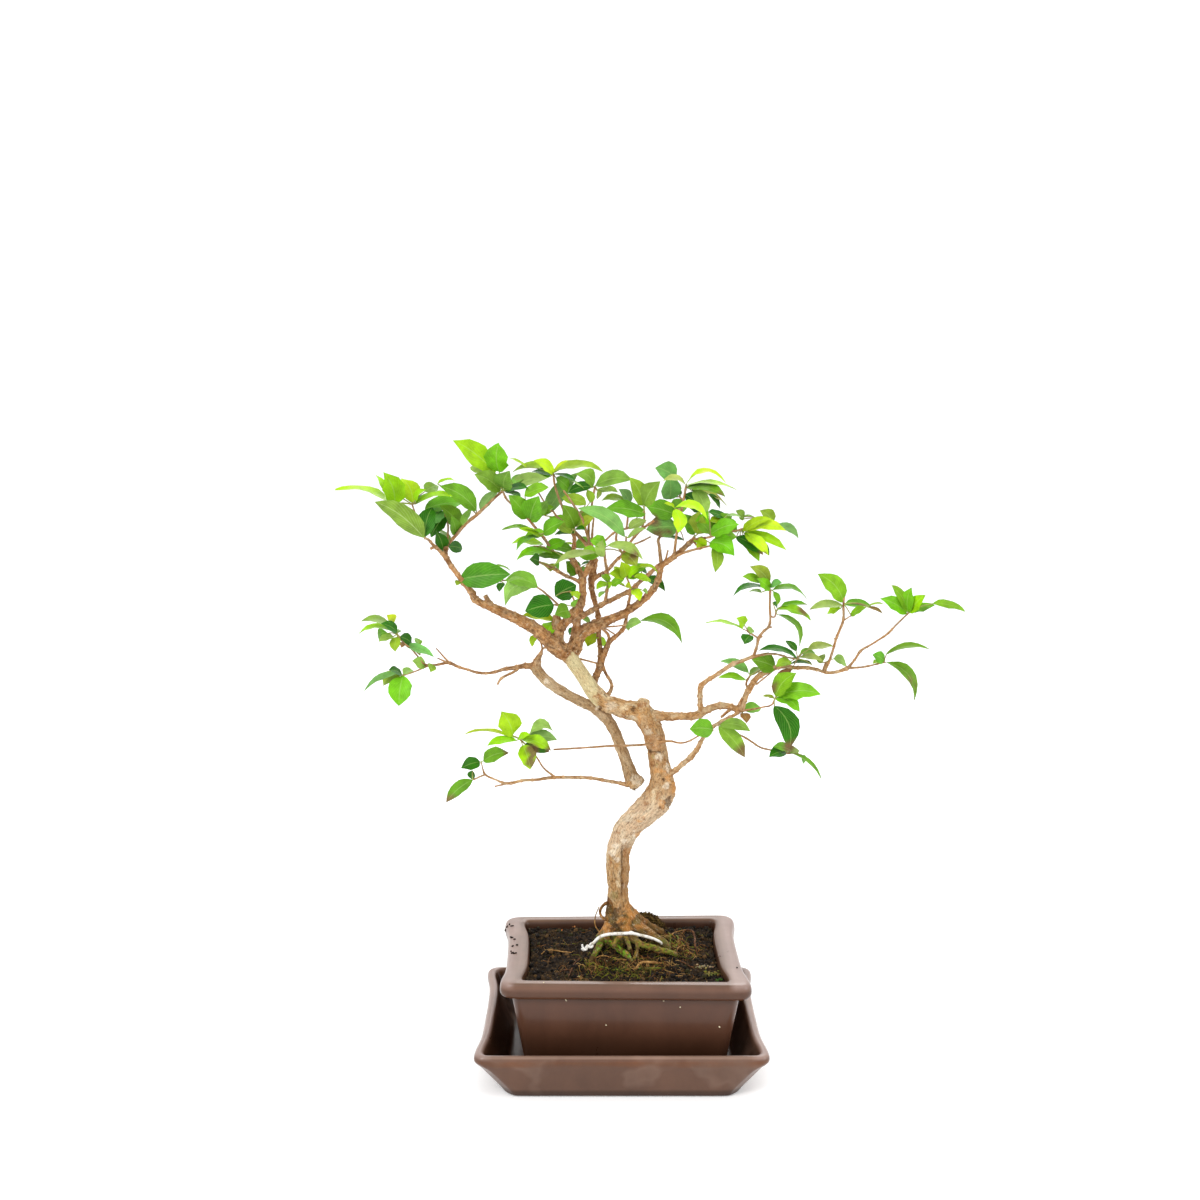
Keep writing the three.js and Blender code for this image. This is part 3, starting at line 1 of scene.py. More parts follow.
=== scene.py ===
# A small-leaved syzygium grown as a bonsai. It stands in a brown glazed pot, and the pot stands in
# a glazed saucer, on a pale floor. Metres, X right, Y back, Z up from the saucer's underside.
import math
import random

import bpy
from mathutils import Matrix, Vector, kdtree, noise


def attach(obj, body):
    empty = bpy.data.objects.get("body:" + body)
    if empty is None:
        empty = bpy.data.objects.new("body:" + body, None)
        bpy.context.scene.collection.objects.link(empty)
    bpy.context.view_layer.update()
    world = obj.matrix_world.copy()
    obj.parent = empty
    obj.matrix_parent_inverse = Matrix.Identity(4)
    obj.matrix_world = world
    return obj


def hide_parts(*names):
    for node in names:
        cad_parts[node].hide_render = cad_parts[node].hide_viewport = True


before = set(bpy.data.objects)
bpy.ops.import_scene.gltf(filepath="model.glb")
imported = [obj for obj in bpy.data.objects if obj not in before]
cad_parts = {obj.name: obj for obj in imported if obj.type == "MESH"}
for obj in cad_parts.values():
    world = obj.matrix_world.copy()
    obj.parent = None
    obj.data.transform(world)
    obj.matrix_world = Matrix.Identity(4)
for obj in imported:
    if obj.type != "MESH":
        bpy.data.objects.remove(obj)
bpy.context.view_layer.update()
MM = 0.001

# Camera: the photograph's own viewing point, 1.3 m in front of the pot and a little above the
# crown, tipped down by ten degrees, with a 50 mm lens.
VIEW_POINT = Vector((-17.1, -1315, 611.3))
TIPPED_DOWN = 9.85
camera_lens = bpy.data.cameras.new("camera")
camera_lens.lens = 50
camera_lens.sensor_width = 36
camera = bpy.data.objects.new("camera", camera_lens)
camera.location = VIEW_POINT * MM
camera.rotation_euler = (math.radians(90 - TIPPED_DOWN), 0, 0)
bpy.context.collection.objects.link(camera)
bpy.context.scene.camera = camera

# Studio: a pale floor that curves up into the backdrop, an even white surround, and three large
# soft lamps: one high at the left front, one at the right, one behind to light the leaves through.
bpy.context.scene.view_settings.view_transform = "Standard"
surround = bpy.data.worlds.new("surround")
surround.use_nodes = True
surround.node_tree.nodes["Background"].inputs["Color"].default_value = (1, 1, 1, 1)
surround.node_tree.nodes["Background"].inputs["Strength"].default_value = 0.85
bpy.context.scene.world = surround
for name, place, aim, side, power in (
    ("lamp_front", (-1.3, -1.6, 1.9), (0, 0, 0.3), 1.2, 34),
    ("lamp_right", (1.8, -0.7, 1.1), (0, 0, 0.3), 1.0, 12),
    ("lamp_back", (0.3, 1.5, 1.6), (0, 0, 0.35), 1.2, 16),
):
    lamp = bpy.data.lights.new(name, "AREA")
    lamp.size = side
    lamp.energy = power
    holder = bpy.data.objects.new(name, lamp)
    holder.location = place
    holder.rotation_euler = (Vector(aim) - Vector(place)).to_track_quat("-Z", "Y").to_euler()
    bpy.context.collection.objects.link(holder)


def only(*pieces):
    """Selects these pieces and nothing else, with the first one active."""
    bpy.ops.object.select_all(action="DESELECT")
    for piece in pieces:
        piece.select_set(True)
    bpy.context.view_layer.objects.active = pieces[0]


FLOOR_WIDTH = 8
FLOOR_LENGTH = 9
FLAT_LENGTH = 4
FLAT_IN_FRONT = 2
BEND_RADIUS = 1.2
bpy.ops.object.select_all(action="DESELECT")
bpy.ops.mesh.primitive_grid_add(x_subdivisions=2, y_subdivisions=60, size=1)
floor = bpy.context.object
floor.name = "floor"
for vertex in floor.data.vertices:
    along = (vertex.co.y + 0.5) * FLOOR_LENGTH
    past_flat = max(0.0, along - FLAT_LENGTH)
    turn = min(past_flat / BEND_RADIUS, math.pi / 2)
    upright = max(0.0, past_flat - turn * BEND_RADIUS)
    vertex.co.x *= FLOOR_WIDTH
    vertex.co.y = min(along, FLAT_LENGTH) - FLAT_IN_FRONT + BEND_RADIUS * math.sin(turn)
    vertex.co.z = BEND_RADIUS * (1 - math.cos(turn)) + upright
bpy.ops.object.shade_smooth()
paper = bpy.data.materials.new("backdrop_paper")
paper.use_nodes = True
paper_shader = paper.node_tree.nodes["Principled BSDF"]
paper_shader.inputs["Base Color"].default_value = (0.93, 0.93, 0.93, 1)
paper_shader.inputs["Roughness"].default_value = 0.9
paper_shader.inputs["Emission Color"].default_value = (1, 1, 1, 1)
paper_shader.inputs["Emission Strength"].default_value = 0.16
floor.data.materials.append(paper)

# Saucer: a deep tray of slip-cast stoneware with a rolled lip and drawn-in short sides. It is
# dipped in a satin chocolate glaze, which breaks to rust under the lip. A painted highlight runs
# along the lip's top, a painted reflection pales its short sides, the inside is darkened as
# painted shade, and so is the foot, over the glaze's own darker edge.
SAUCER_DRAWN_IN = 4.5
# Each level: half width, half depth, height, corner radius, and how straight its corner is cut.
SAUCER_LEVELS = (
    (92, 86, 0, 9, 0.5), (93.2, 86.6, 0.9, 9, 0.7), (96, 87.3, 4, 11, 0.9), (104.8, 88.5, 13, 12, 0.95),
    (111.8, 90, 22, 11, 0.9), (113.6, 90.8, 25, 9, 0.7), (114.6, 91.3, 26.8, 8, 0.4),
    (115.4, 91.8, 28.2, 8, 0.2), (116.2, 92.2, 29.6, 8, 0), (116.6, 92.5, 31.4, 8, 0),
    (116.3, 92.3, 33.6, 8, 0), (115.1, 91.5, 35.2, 8, 0), (113.4, 90.3, 36, 7, 0), (111.2, 88.7, 36, 6, 0),
    (109.6, 87.5, 35.2, 6, 0), (108.5, 86.5, 33.4, 6, 0), (107.2, 85.3, 29.6, 6, 0), (103, 82, 20, 8, 0),
    (97.6, 79, 9, 10, 0), (95.5, 77, 6.8, 11, 0), (92, 72, 6, 11, 0), (40, 30, 6, 8, 0),
)
CORNER_STEPS = 5
SIDE_STEPS = (0.3, 0.55, 0.72, 0.86, 0.95)
DRAWN_IN_UP_TO = 0.94


def outline(half_x, half_y, corner, cut, drawn_in):
    """A rectangle with drawn-in short sides and round or cut corners, from +X towards the back."""
    middle_x, middle_y = half_x - corner, half_y - corner
    turns = [i * math.pi / (2 * CORNER_STEPS) for i in range(CORNER_STEPS + 1)]
    arc = [Vector((middle_x + corner * math.cos(a), middle_y + corner * math.sin(a))) for a in turns]
    arc = [point.lerp(arc[0].lerp(arc[-1], i / CORNER_STEPS), cut) for i, point in enumerate(arc)]
    quarter = []
    for s in SIDE_STEPS:
        back_out = min(1, (s / DRAWN_IN_UP_TO) ** 3)
        quarter.append((half_x - drawn_in * (0.5 + 0.5 * math.cos(math.pi * back_out)), s * middle_y))
    quarter += [tuple(point) for point in arc]
    quarter += [(middle_x * 0.85, half_y), (half_x * 0.4, half_y)]
    half = [(half_x - drawn_in, 0), *quarter, (0, half_y), *[(-x, y) for x, y in reversed(quarter)]]
    return half + [(-x, -y) for x, y in half]


def tray(name, levels, drawn_in):
    """A tray drawn up from its base plate: each level is extruded, then fitted to its own outline.
    The attribute "level" keeps how far along the levels a point is, for the glaze."""
    ring = len(outline(*levels[0][:2], *levels[0][3:], drawn_in))
    bpy.ops.object.select_all(action="DESELECT")
    bpy.ops.mesh.primitive_circle_add(vertices=ring, fill_type="NGON")
    piece = bpy.context.object
    piece.name = name
    bpy.ops.object.mode_set(mode="EDIT")
    bpy.ops.mesh.select_all(action="SELECT")
    for _ in levels[1:]:
        bpy.ops.mesh.extrude_region_move(TRANSFORM_OT_translate={"value": (0, 0, 1)})
    bpy.ops.object.mode_set(mode="OBJECT")
    level = piece.data.attributes.new("level", "FLOAT", "POINT")
    for k, (half_x, half_y, z, corner, cut) in enumerate(levels):
        for i, (x, y) in enumerate(outline(half_x, half_y, corner, cut, drawn_in)):
            piece.data.vertices[k * ring + i].co = (x * MM, y * MM, z * MM)
            level.data[k * ring + i].value = k / (len(levels) - 1)
    bpy.ops.object.mode_set(mode="EDIT")
    bpy.ops.mesh.select_all(action="SELECT")
    bpy.ops.mesh.normals_make_consistent(inside=False)
    bpy.ops.object.mode_set(mode="OBJECT")
    return piece


def finish_with(piece, kind, **settings):
    """Adds one modifier with these settings to a piece and applies it."""
    only(piece)
    added = piece.modifiers.new(kind.lower(), kind)
    for setting, value in settings.items():
        setattr(added, setting, value)
    bpy.ops.object.modifier_apply(modifier=added.name)


def new_material(name, roughness, gloss=0.5, color=(0.5, 0.5, 0.5)):
    """A principled material. Its gloss is the strength of the reflection."""
    made = bpy.data.materials.new(name)
    made.use_nodes = True
    shader = made.node_tree.nodes["Principled BSDF"]
    shader.inputs["Base Color"].default_value = (*color, 1)
    shader.inputs["Roughness"].default_value = roughness
    shader.inputs["Specular IOR Level"].default_value = gloss
    return made


def kept(made, name, output):
    """What the piece keeps at each point under this name, as a "Fac", "Color" or "Vector"."""
    reader = made.node_tree.nodes.new("ShaderNodeAttribute")
    reader.attribute_name = name
    return reader.outputs[output]


def texture(made, scale, stretch=(1, 1, 1), attribute=None, **settings):
    """A noise on Object coordinates, or on the places that an attribute of the piece keeps."""
    tree = made.node_tree
    if attribute:
        source = kept(made, attribute, "Vector")
    else:
        source = tree.nodes.new("ShaderNodeTexCoord").outputs["Object"]
    mapping = tree.nodes.new("ShaderNodeMapping")
    mapping.inputs["Scale"].default_value = stretch
    tree.links.new(source, mapping.inputs["Vector"])
    node = tree.nodes.new("ShaderNodeTexNoise")
    tree.links.new(mapping.outputs["Vector"], node.inputs["Vector"])
    node.inputs["Scale"].default_value = scale
    for setting, value in settings.items():
        node.inputs[setting].default_value = value
    return node.outputs["Fac"]


def ramp(made, source, *stops):
    """A colour or grey ramp on a value: stops are (place, colour or grey)."""
    node = made.node_tree.nodes.new("ShaderNodeValToRGB")
    made.node_tree.links.new(source, node.inputs["Fac"])
    band = node.color_ramp
    while len(band.elements) < len(stops):
        band.elements.new(0.5)
    for element, (place, value) in zip(band.elements, stops):
        element.position = place
        element.color = (*value, 1) if isinstance(value, tuple) else (value, value, value, 1)
    return node.outputs["Color"]


def blend_colors(made, share, low, high, mode="MIX"):
    """Two colours, each a socket or a fixed colour, mixed by a share."""
    node = made.node_tree.nodes.new("ShaderNodeMix")
    node.data_type = "RGBA"
    node.blend_type = mode
    for socket, value in ((0, share), (6, low), (7, high)):
        if isinstance(value, tuple):
            node.inputs[socket].default_value = (*value, 1)
        elif isinstance(value, (int, float)):
            node.inputs[socket].default_value = value
        else:
            made.node_tree.links.new(value, node.inputs[socket])
    return node.outputs[2]


def where_both(made, share, other):
    """The product of two shares."""
    return blend_colors(made, share, (0.0, 0.0, 0.0), other)


def axes_of(made, coordinates):
    """X, Y and Z of a place on the piece, in its Object or UV coordinates."""
    split = made.node_tree.nodes.new("ShaderNodeSeparateXYZ")
    source = made.node_tree.nodes.new("ShaderNodeTexCoord").outputs[coordinates]
    made.node_tree.links.new(source, split.inputs[0])
    return split.outputs


def sum_of(made, kind, *values):
    """A sum on values, each of them a socket or a number."""
    node = made.node_tree.nodes.new("ShaderNodeMath")
    node.operation = kind
    for socket, value in zip(node.inputs, values):
        if isinstance(value, (int, float)):
            socket.default_value = value
        else:
            made.node_tree.links.new(value, socket)
    return node.outputs[0]


def span(made, value, low, high):
    """A share that rises from 0 to 1 while a length rises from low to high, in millimetres."""
    node = made.node_tree.nodes.new("ShaderNodeMapRange")
    node.inputs["From Min"].default_value = low * MM
    node.inputs["From Max"].default_value = high * MM
    made.node_tree.links.new(value, node.inputs["Value"])
    return node.outputs["Result"]


def feed(made, socket, source):
    """Joins a value or colour to a socket of the material's shader."""
    made.node_tree.links.new(source, made.node_tree.nodes["Principled BSDF"].inputs[socket])


def emboss(made, height, strength, depth_mm):
    """Raises the surface by a height value, as fine relief."""
    node = made.node_tree.nodes.new("ShaderNodeBump")
    node.inputs["Strength"].default_value = strength
    node.inputs["Distance"].default_value = depth_mm * MM
    made.node_tree.links.new(height, node.inputs["Height"])
    feed(made, "Normal", node.outputs["Normal"])


GLAZE_RUN = (0.3, 0.2, 0.15)
GLAZE_RUST = (0.13, 0.042, 0.012)
GLAZE_REFLECTION = (0.31, 0.215, 0.185)


def glaze(name, levels, bands, runs_share, deep, low_shade_between, rust_at, reflection_at, reflection_from_x):
    """Satin brown glaze, clouded. Its bands are (level, colour) pairs up the outside, over the lip
    and down the inside. It is painted darker low down between two heights, as painted shade, rusty
    in patches at some levels, and paler on the rim's short sides, as a painted reflection."""
    made = new_material(name, 0.36, 0.3)
    shader = made.node_tree.nodes["Principled BSDF"]
    shader.inputs["Coat Weight"].default_value = 0.16
    shader.inputs["Coat Roughness"].default_value = 0.1
    level = kept(made, "level", "Fac")
    axes = axes_of(made, "Object")

    def by_level(stops):
        return ramp(made, level, *[(place / (len(levels) - 1), value) for place, value in stops])

    runs = texture(made, 17, stretch=(1, 1, 1.1), Detail=3)
    runs = ramp(made, runs, (0.52, 0.0), (0.57, runs_share), (0.7, 0.0))
    brown = blend_colors(made, runs, by_level(bands), GLAZE_RUN)
    # Painted shade: the colour is darkened, in clouds, low down between the two heights.
    low_shade = ramp(made, texture(made, 13, Detail=2), (0.36, 0.45), (0.56, 1.0))
    low_shade = where_both(made, span(made, axes["Z"], *low_shade_between), low_shade)
    brown = blend_colors(made, low_shade, brown, deep)
    rusty = texture(made, 60, stretch=(0.6, 1, 1.6), Detail=5)
    rusty = where_both(made, by_level(rust_at), ramp(made, rusty, (0.45, 0.0), (0.66, 0.55)))
    brown = blend_colors(made, rusty, brown, GLAZE_RUST)
    # Painted reflection: the rim is paled on its short sides, at the levels given.
    aside = span(made, sum_of(made, "ABSOLUTE", axes["X"]), reflection_from_x - 2, reflection_from_x + 4)
    brown = blend_colors(made, where_both(made, aside, by_level(reflection_at)), brown, GLAZE_REFLECTION)
    cloud = texture(made, 30, stretch=(1, 1, 0.5), Detail=5, Roughness=0.6)
    brown = blend_colors(made, 1.0, brown, ramp(made, cloud, (0.3, 0.84), (0.7, 1.18)), "MULTIPLY")
    feed(made, "Base Color", brown)
    feed(made, "Roughness", ramp(made, cloud, (0.3, 0.27), (0.7, 0.34)))
    emboss(made, texture(made, 300, Detail=3), 0.2, 0.12)
    return made


saucer = tray("saucer_glazed", SAUCER_LEVELS, SAUCER_DRAWN_IN)
finish_with(saucer, "SUBSURF", levels=2, render_levels=2)
bpy.ops.object.shade_smooth()
# Painted light among these bands: the dark stops at 0.8 and 1.9 are painted shade where the foot turns
# under, over the glaze's own darker edge; the pale stops at 10.8 and 12.2 are a painted highlight line
# along the lip's top; the dark stop at 16 is painted shade inside the saucer.
SAUCER_BANDS = (
    (0, (0.32, 0.18, 0.08)), (0.5, (0.3, 0.165, 0.07)), (0.8, (0.05, 0.02, 0.009)),
    (1.9, (0.055, 0.024, 0.011)), (2.3, (0.098, 0.046, 0.027)), (5.4, (0.1, 0.046, 0.027)),
    (7, (0.105, 0.044, 0.022)), (9, (0.11, 0.042, 0.017)), (10, (0.115, 0.053, 0.033)),
    (10.8, (0.22, 0.13, 0.092)), (12.2, (0.2, 0.12, 0.088)), (13.2, (0.12, 0.06, 0.038)),
    (14, (0.12, 0.052, 0.026)), (16, (0.03, 0.011, 0.005)),
)
saucer.data.materials.append(glaze(
    "saucer_glaze", SAUCER_LEVELS, SAUCER_BANDS, runs_share=0.16,
    deep=(0.028, 0.011, 0.005), low_shade_between=(7, 0), rust_at=((5.6, 0), (7, 1), (9, 1), (10.2, 0)),
    reflection_at=((9.5, 0), (11.5, 0.85), (13.5, 0.85), (15, 0)), reflection_from_x=103))
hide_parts("saucer")
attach(saucer, "root")

# Pot: slip-cast stoneware from a mould like the saucer's, with a thick rounded lip, a fine groove
# under it, tapered walls, a foot ring and two drainage holes. Same glaze, painted darker to the
# foot as painted shade, with painted shade in the groove and inside the rim, and a painted
# reflection on the rim's top and on its short sides.
POT_LEVELS = (
    (70, 50, 9.3, 7, 0), (70.6, 50.6, 9, 7, 0), (71, 51, 6.5, 7, 0), (72.5, 52.5, 6.3, 7, 0),
    (78, 58, 6.3, 8, 0), (79.6, 59.6, 7, 8, 0), (80.6, 60.6, 10, 8, 0), (82.5, 63, 24, 8, 0),
    (86.8, 66.3, 50, 8, 0), (90.2, 69, 71, 8, 0), (90.6, 69.3, 73.4, 8, 0), (91.2, 69.7, 74.6, 8, 0),
    (93.4, 71, 75, 8, 0), (97, 73.1, 75.4, 8, 0), (98.8, 74.2, 76.4, 9, 0), (99.8, 74.8, 78.2, 9, 0),
    (100, 75, 80.4, 9, 0), (99.9, 74.9, 82.6, 9, 0), (99.4, 74.6, 84.8, 9, 0), (98.5, 74, 86.5, 9, 0),
    (97, 73.1, 87.6, 8.5, 0), (95, 72, 88.1, 8, 0), (91, 69.8, 88.4, 7, 0), (86, 67, 88.2, 5.5, 0),
    (83.2, 65, 87.7, 5, 0), (82, 63.9, 86.4, 4.5, 0), (81.3, 63.3, 84, 4.5, 0), (79.5, 61.4, 60, 5, 0),
    (76.5, 58.5, 22, 6, 0), (75.4, 57.4, 15, 6, 0), (73, 55, 13, 6, 0), (30, 22, 13, 6, 0),
)
POT_DRAWN_IN = 4
POT_HALF_DEPTH = 75
POT_SHIFT = 1.7
POT_SKEW = 0.0235
POT_SPREAD = 0.0003
POT_BULGE = 3
POT_RISE = 0.014
DRAIN_X = 38
DRAIN_RADIUS = 9
POT_FLOOR = 13


def slumped(x, y):
    """The pot came out of the kiln a little askew: to the right in front, deeper behind and right."""
    behind = max(0, y) / POT_HALF_DEPTH
    return x + POT_SHIFT - POT_SKEW * y, y * (1 + POT_SPREAD * x) + POT_BULGE * behind ** 2


pot = tray("pot_glazed", POT_LEVELS, POT_DRAWN_IN)
finish_with(pot, "SUBSURF", levels=2, render_levels=2)
for x in (-DRAIN_X, DRAIN_X):
    bpy.ops.object.select_all(action="DESELECT")
    bpy.ops.mesh.primitive_cylinder_add(vertices=32, radius=DRAIN_RADIUS * MM, depth=20 * MM,
                                        location=(x * MM, 0, POT_FLOOR * MM))
    drill = bpy.context.object
    finish_with(pot, "BOOLEAN", object=drill, operation="DIFFERENCE")
    bpy.data.objects.remove(drill)
for vertex in pot.data.vertices:
    x, y = slumped(vertex.co.x / MM, vertex.co.y / MM)
    vertex.co.z *= 1 + POT_RISE * max(0, y) / POT_HALF_DEPTH
    vertex.co.x, vertex.co.y = x * MM, y * MM
only(pot)
bpy.ops.object.shade_smooth_by_angle(angle=math.radians(40))
# Painted light among these bands: the dark stop at 11 is painted shade in the groove under the lip, the
# pale stop at 22.5 a painted reflection on the rim's top, and the dark stop at 26 painted shade inside the
# rim.
POT_BANDS = (
    (0, (0.09, 0.038, 0.021)), (7, (0.085, 0.036, 0.02)), (9, (0.09, 0.037, 0.021)),
    (11, (0.036, 0.012, 0.005)), (12.6, (0.19, 0.062, 0.015)), (14, (0.072, 0.028, 0.013)),
    (16.4, (0.08, 0.032, 0.016)), (18, (0.14, 0.068, 0.043)), (20, (0.125, 0.066, 0.042)),
    (22.5, (0.2, 0.125, 0.092)), (24.2, (0.125, 0.063, 0.037)), (26, (0.045, 0.018, 0.01)),
)
pot.data.materials.append(glaze(
    "pot_glaze", POT_LEVELS, POT_BANDS, runs_share=0.0,
    deep=(0.024, 0.007, 0.0015), low_shade_between=(46, 10),
    rust_at=((11.6, 0), (12.4, 0.6), (13.4, 0.5), (14.6, 0)),
    reflection_at=((17, 0), (19.5, 0.85), (23.5, 0.85), (25.5, 0)), reflection_from_x=86))
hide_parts("pot")
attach(pot, "root")

# Drainage screens: two squares of dark plastic mesh, cut from a sheet, that lie on the pot's floor
# and keep the soil in over the holes.
SCREEN_SIDE = 28
SCREEN_CELLS = 9
SCREEN_THICK = 1
SCREEN_LIFT = 0.8
screen_plastic = new_material("screen_plastic", 0.6, color=(0.02, 0.024, 0.02))
for node, x in (("screen_left", -DRAIN_X), ("screen_right", DRAIN_X)):
    bpy.ops.object.select_all(action="DESELECT")
    place = (x * MM, 0, (POT_FLOOR + SCREEN_LIFT) * MM)
    bpy.ops.mesh.primitive_grid_add(x_subdivisions=SCREEN_CELLS, y_subdivisions=SCREEN_CELLS,
                                    size=SCREEN_SIDE * MM, location=place)
    screen = bpy.context.object
    screen.name = node + "_mesh"
    bpy.ops.object.transform_apply(location=True, rotation=False, scale=False)
    finish_with(screen, "WIREFRAME", thickness=SCREEN_THICK * MM, use_replace=True)
    screen.data.materials.append(screen_plastic)
    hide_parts(node)
    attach(screen, "root")

# Soil: dark peaty potting mix, filled to just under the rim and mounded to the trunk, where the
# roots have been laid bare. It is loose and damp: small clods with dark gaps, covered in granules.
SOIL_HALF = (80.4, 62.4)
SOIL_FLOOR = 14.6
SOIL_EDGE = 81
SOIL_SWELL = 3
SOIL_BACK = 1.6
# Each mound: its height, then its middle and half width in x and in y.
TRUNK_MOUND = (11.5, 1, 30, 6, 26)
RIGHT_MOUND = (5, 40, 20, 10, 30)
CLOD = 5.2
CLOD_HEIGHT = 2.2


def mound(x, y, height, middle_x, half_x, middle_y, half_y):
    return height * math.exp(-((x - middle_x) / half_x) ** 2 - ((y - middle_y) / half_y) ** 2)


def soil_top(x, y):
    """Height of the soil's surface in millimetres: a mound round the trunk, and clods."""
    out = max(abs(x) / SOIL_HALF[0], abs(y) / SOIL_HALF[1])
    top = SOIL_EDGE + SOIL_SWELL * (1 - out ** 3) + mound(x, y, *TRUNK_MOUND)
    top += mound(x, y, *RIGHT_MOUND) + SOIL_BACK * max(0, y) / SOIL_HALF[1]
    here = Vector((x, y, 0))
    bent = here + Vector((noise.noise(here / 4), noise.noise(here / 4 + Vector((9, 9, 9))), 0)) * 2.4
    near, second = noise.voronoi(bent / CLOD)[0][:2]
    clod = CLOD_HEIGHT * min(1, (second - near) * 2.4)
    clod += 1.0 * noise.noise(here / 2.1) + 0.5 * noise.noise(here / 0.9)
    return top + 2.2 * noise.noise(here / 11) + clod - 1.2


bpy.ops.object.select_all(action="DESELECT")
bpy.ops.mesh.primitive_grid_add(x_subdivisions=210, y_subdivisions=165, size=2)
soil = bpy.context.object
soil.name = "soil_bed"
for vertex in soil.data.vertices:
    u, v = vertex.co.x, vertex.co.y
    reach = max(abs(u), abs(v))
    round_off = 1 - 0.03 * (min(abs(u), abs(v)) / reach) ** 12 if reach else 1
    drawn_in = POT_DRAWN_IN * abs(u) ** 8 * (1 - min(1, abs(v) / 0.75) ** 4)
    x = u * SOIL_HALF[0] * round_off
    x -= math.copysign(drawn_in, u)
    y = v * SOIL_HALF[1] * round_off
    x, y = slumped(x, y)
    vertex.co = (x * MM, y * MM, soil_top(x, y) * MM)
bpy.ops.object.mode_set(mode="EDIT")
bpy.ops.mesh.select_mode(type="EDGE")
bpy.ops.mesh.select_all(action="DESELECT")
bpy.ops.mesh.select_non_manifold(extend=False)
bpy.ops.mesh.extrude_edges_move(TRANSFORM_OT_translate={"value": (0, 0, -0.05)})
bpy.ops.transform.resize(value=(0.93, 0.91, 0.0), center_override=(0, 0, SOIL_FLOOR * MM))
bpy.ops.mesh.edge_face_add()
bpy.ops.mesh.select_all(action="SELECT")
bpy.ops.mesh.normals_make_consistent(inside=False)
bpy.ops.object.mode_set(mode="OBJECT")
bpy.ops.object.shade_smooth()
peat = new_material("peat", 0.9, 0.12)
clods = texture(peat, 420, Detail=6, Roughness=0.75)
# The colour follows the same noise as the fine relief: near black where it is low, which is partly painted
# shade in the gaps between the clods.
black_peat = ramp(peat, clods, (0.36, (0.003, 0.002, 0.0015)), (0.5, (0.012, 0.008, 0.005)),
                  (0.6, (0.045, 0.028, 0.016)), (0.72, (0.17, 0.115, 0.07)))
brown_peat = ramp(peat, clods, (0.36, (0.01, 0.005, 0.002)), (0.55, (0.05, 0.027, 0.009)),
                  (0.7, (0.2, 0.115, 0.04)))
brown_patch = ramp(peat, texture(peat, 60, Detail=5), (0.46, 0.0), (0.6, 0.75))
feed(peat, "Base Color", blend_colors(peat, brown_patch, black_peat, brown_peat))
feed(peat, "Roughness", ramp(peat, clods, (0.35, 0.6), (0.65, 0.95)))
emboss(peat, clods, 0.9, 1.0)
soil.data.materials.append(peat)
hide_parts("soil")
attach(soil, "root")

# Wood: trunk, limbs, twigs, cut stubs and bared roots, grown as one piece. The bark is thin and
# flaking, cream to tan on the trunk, rough red-brown on the outer branches, and algae green at the
# roots.
THICK = 1.7
WOOD_VOXEL = 0.8
WOOD_FACES_KEPT = 0.66
CORE_STEP = 1.5
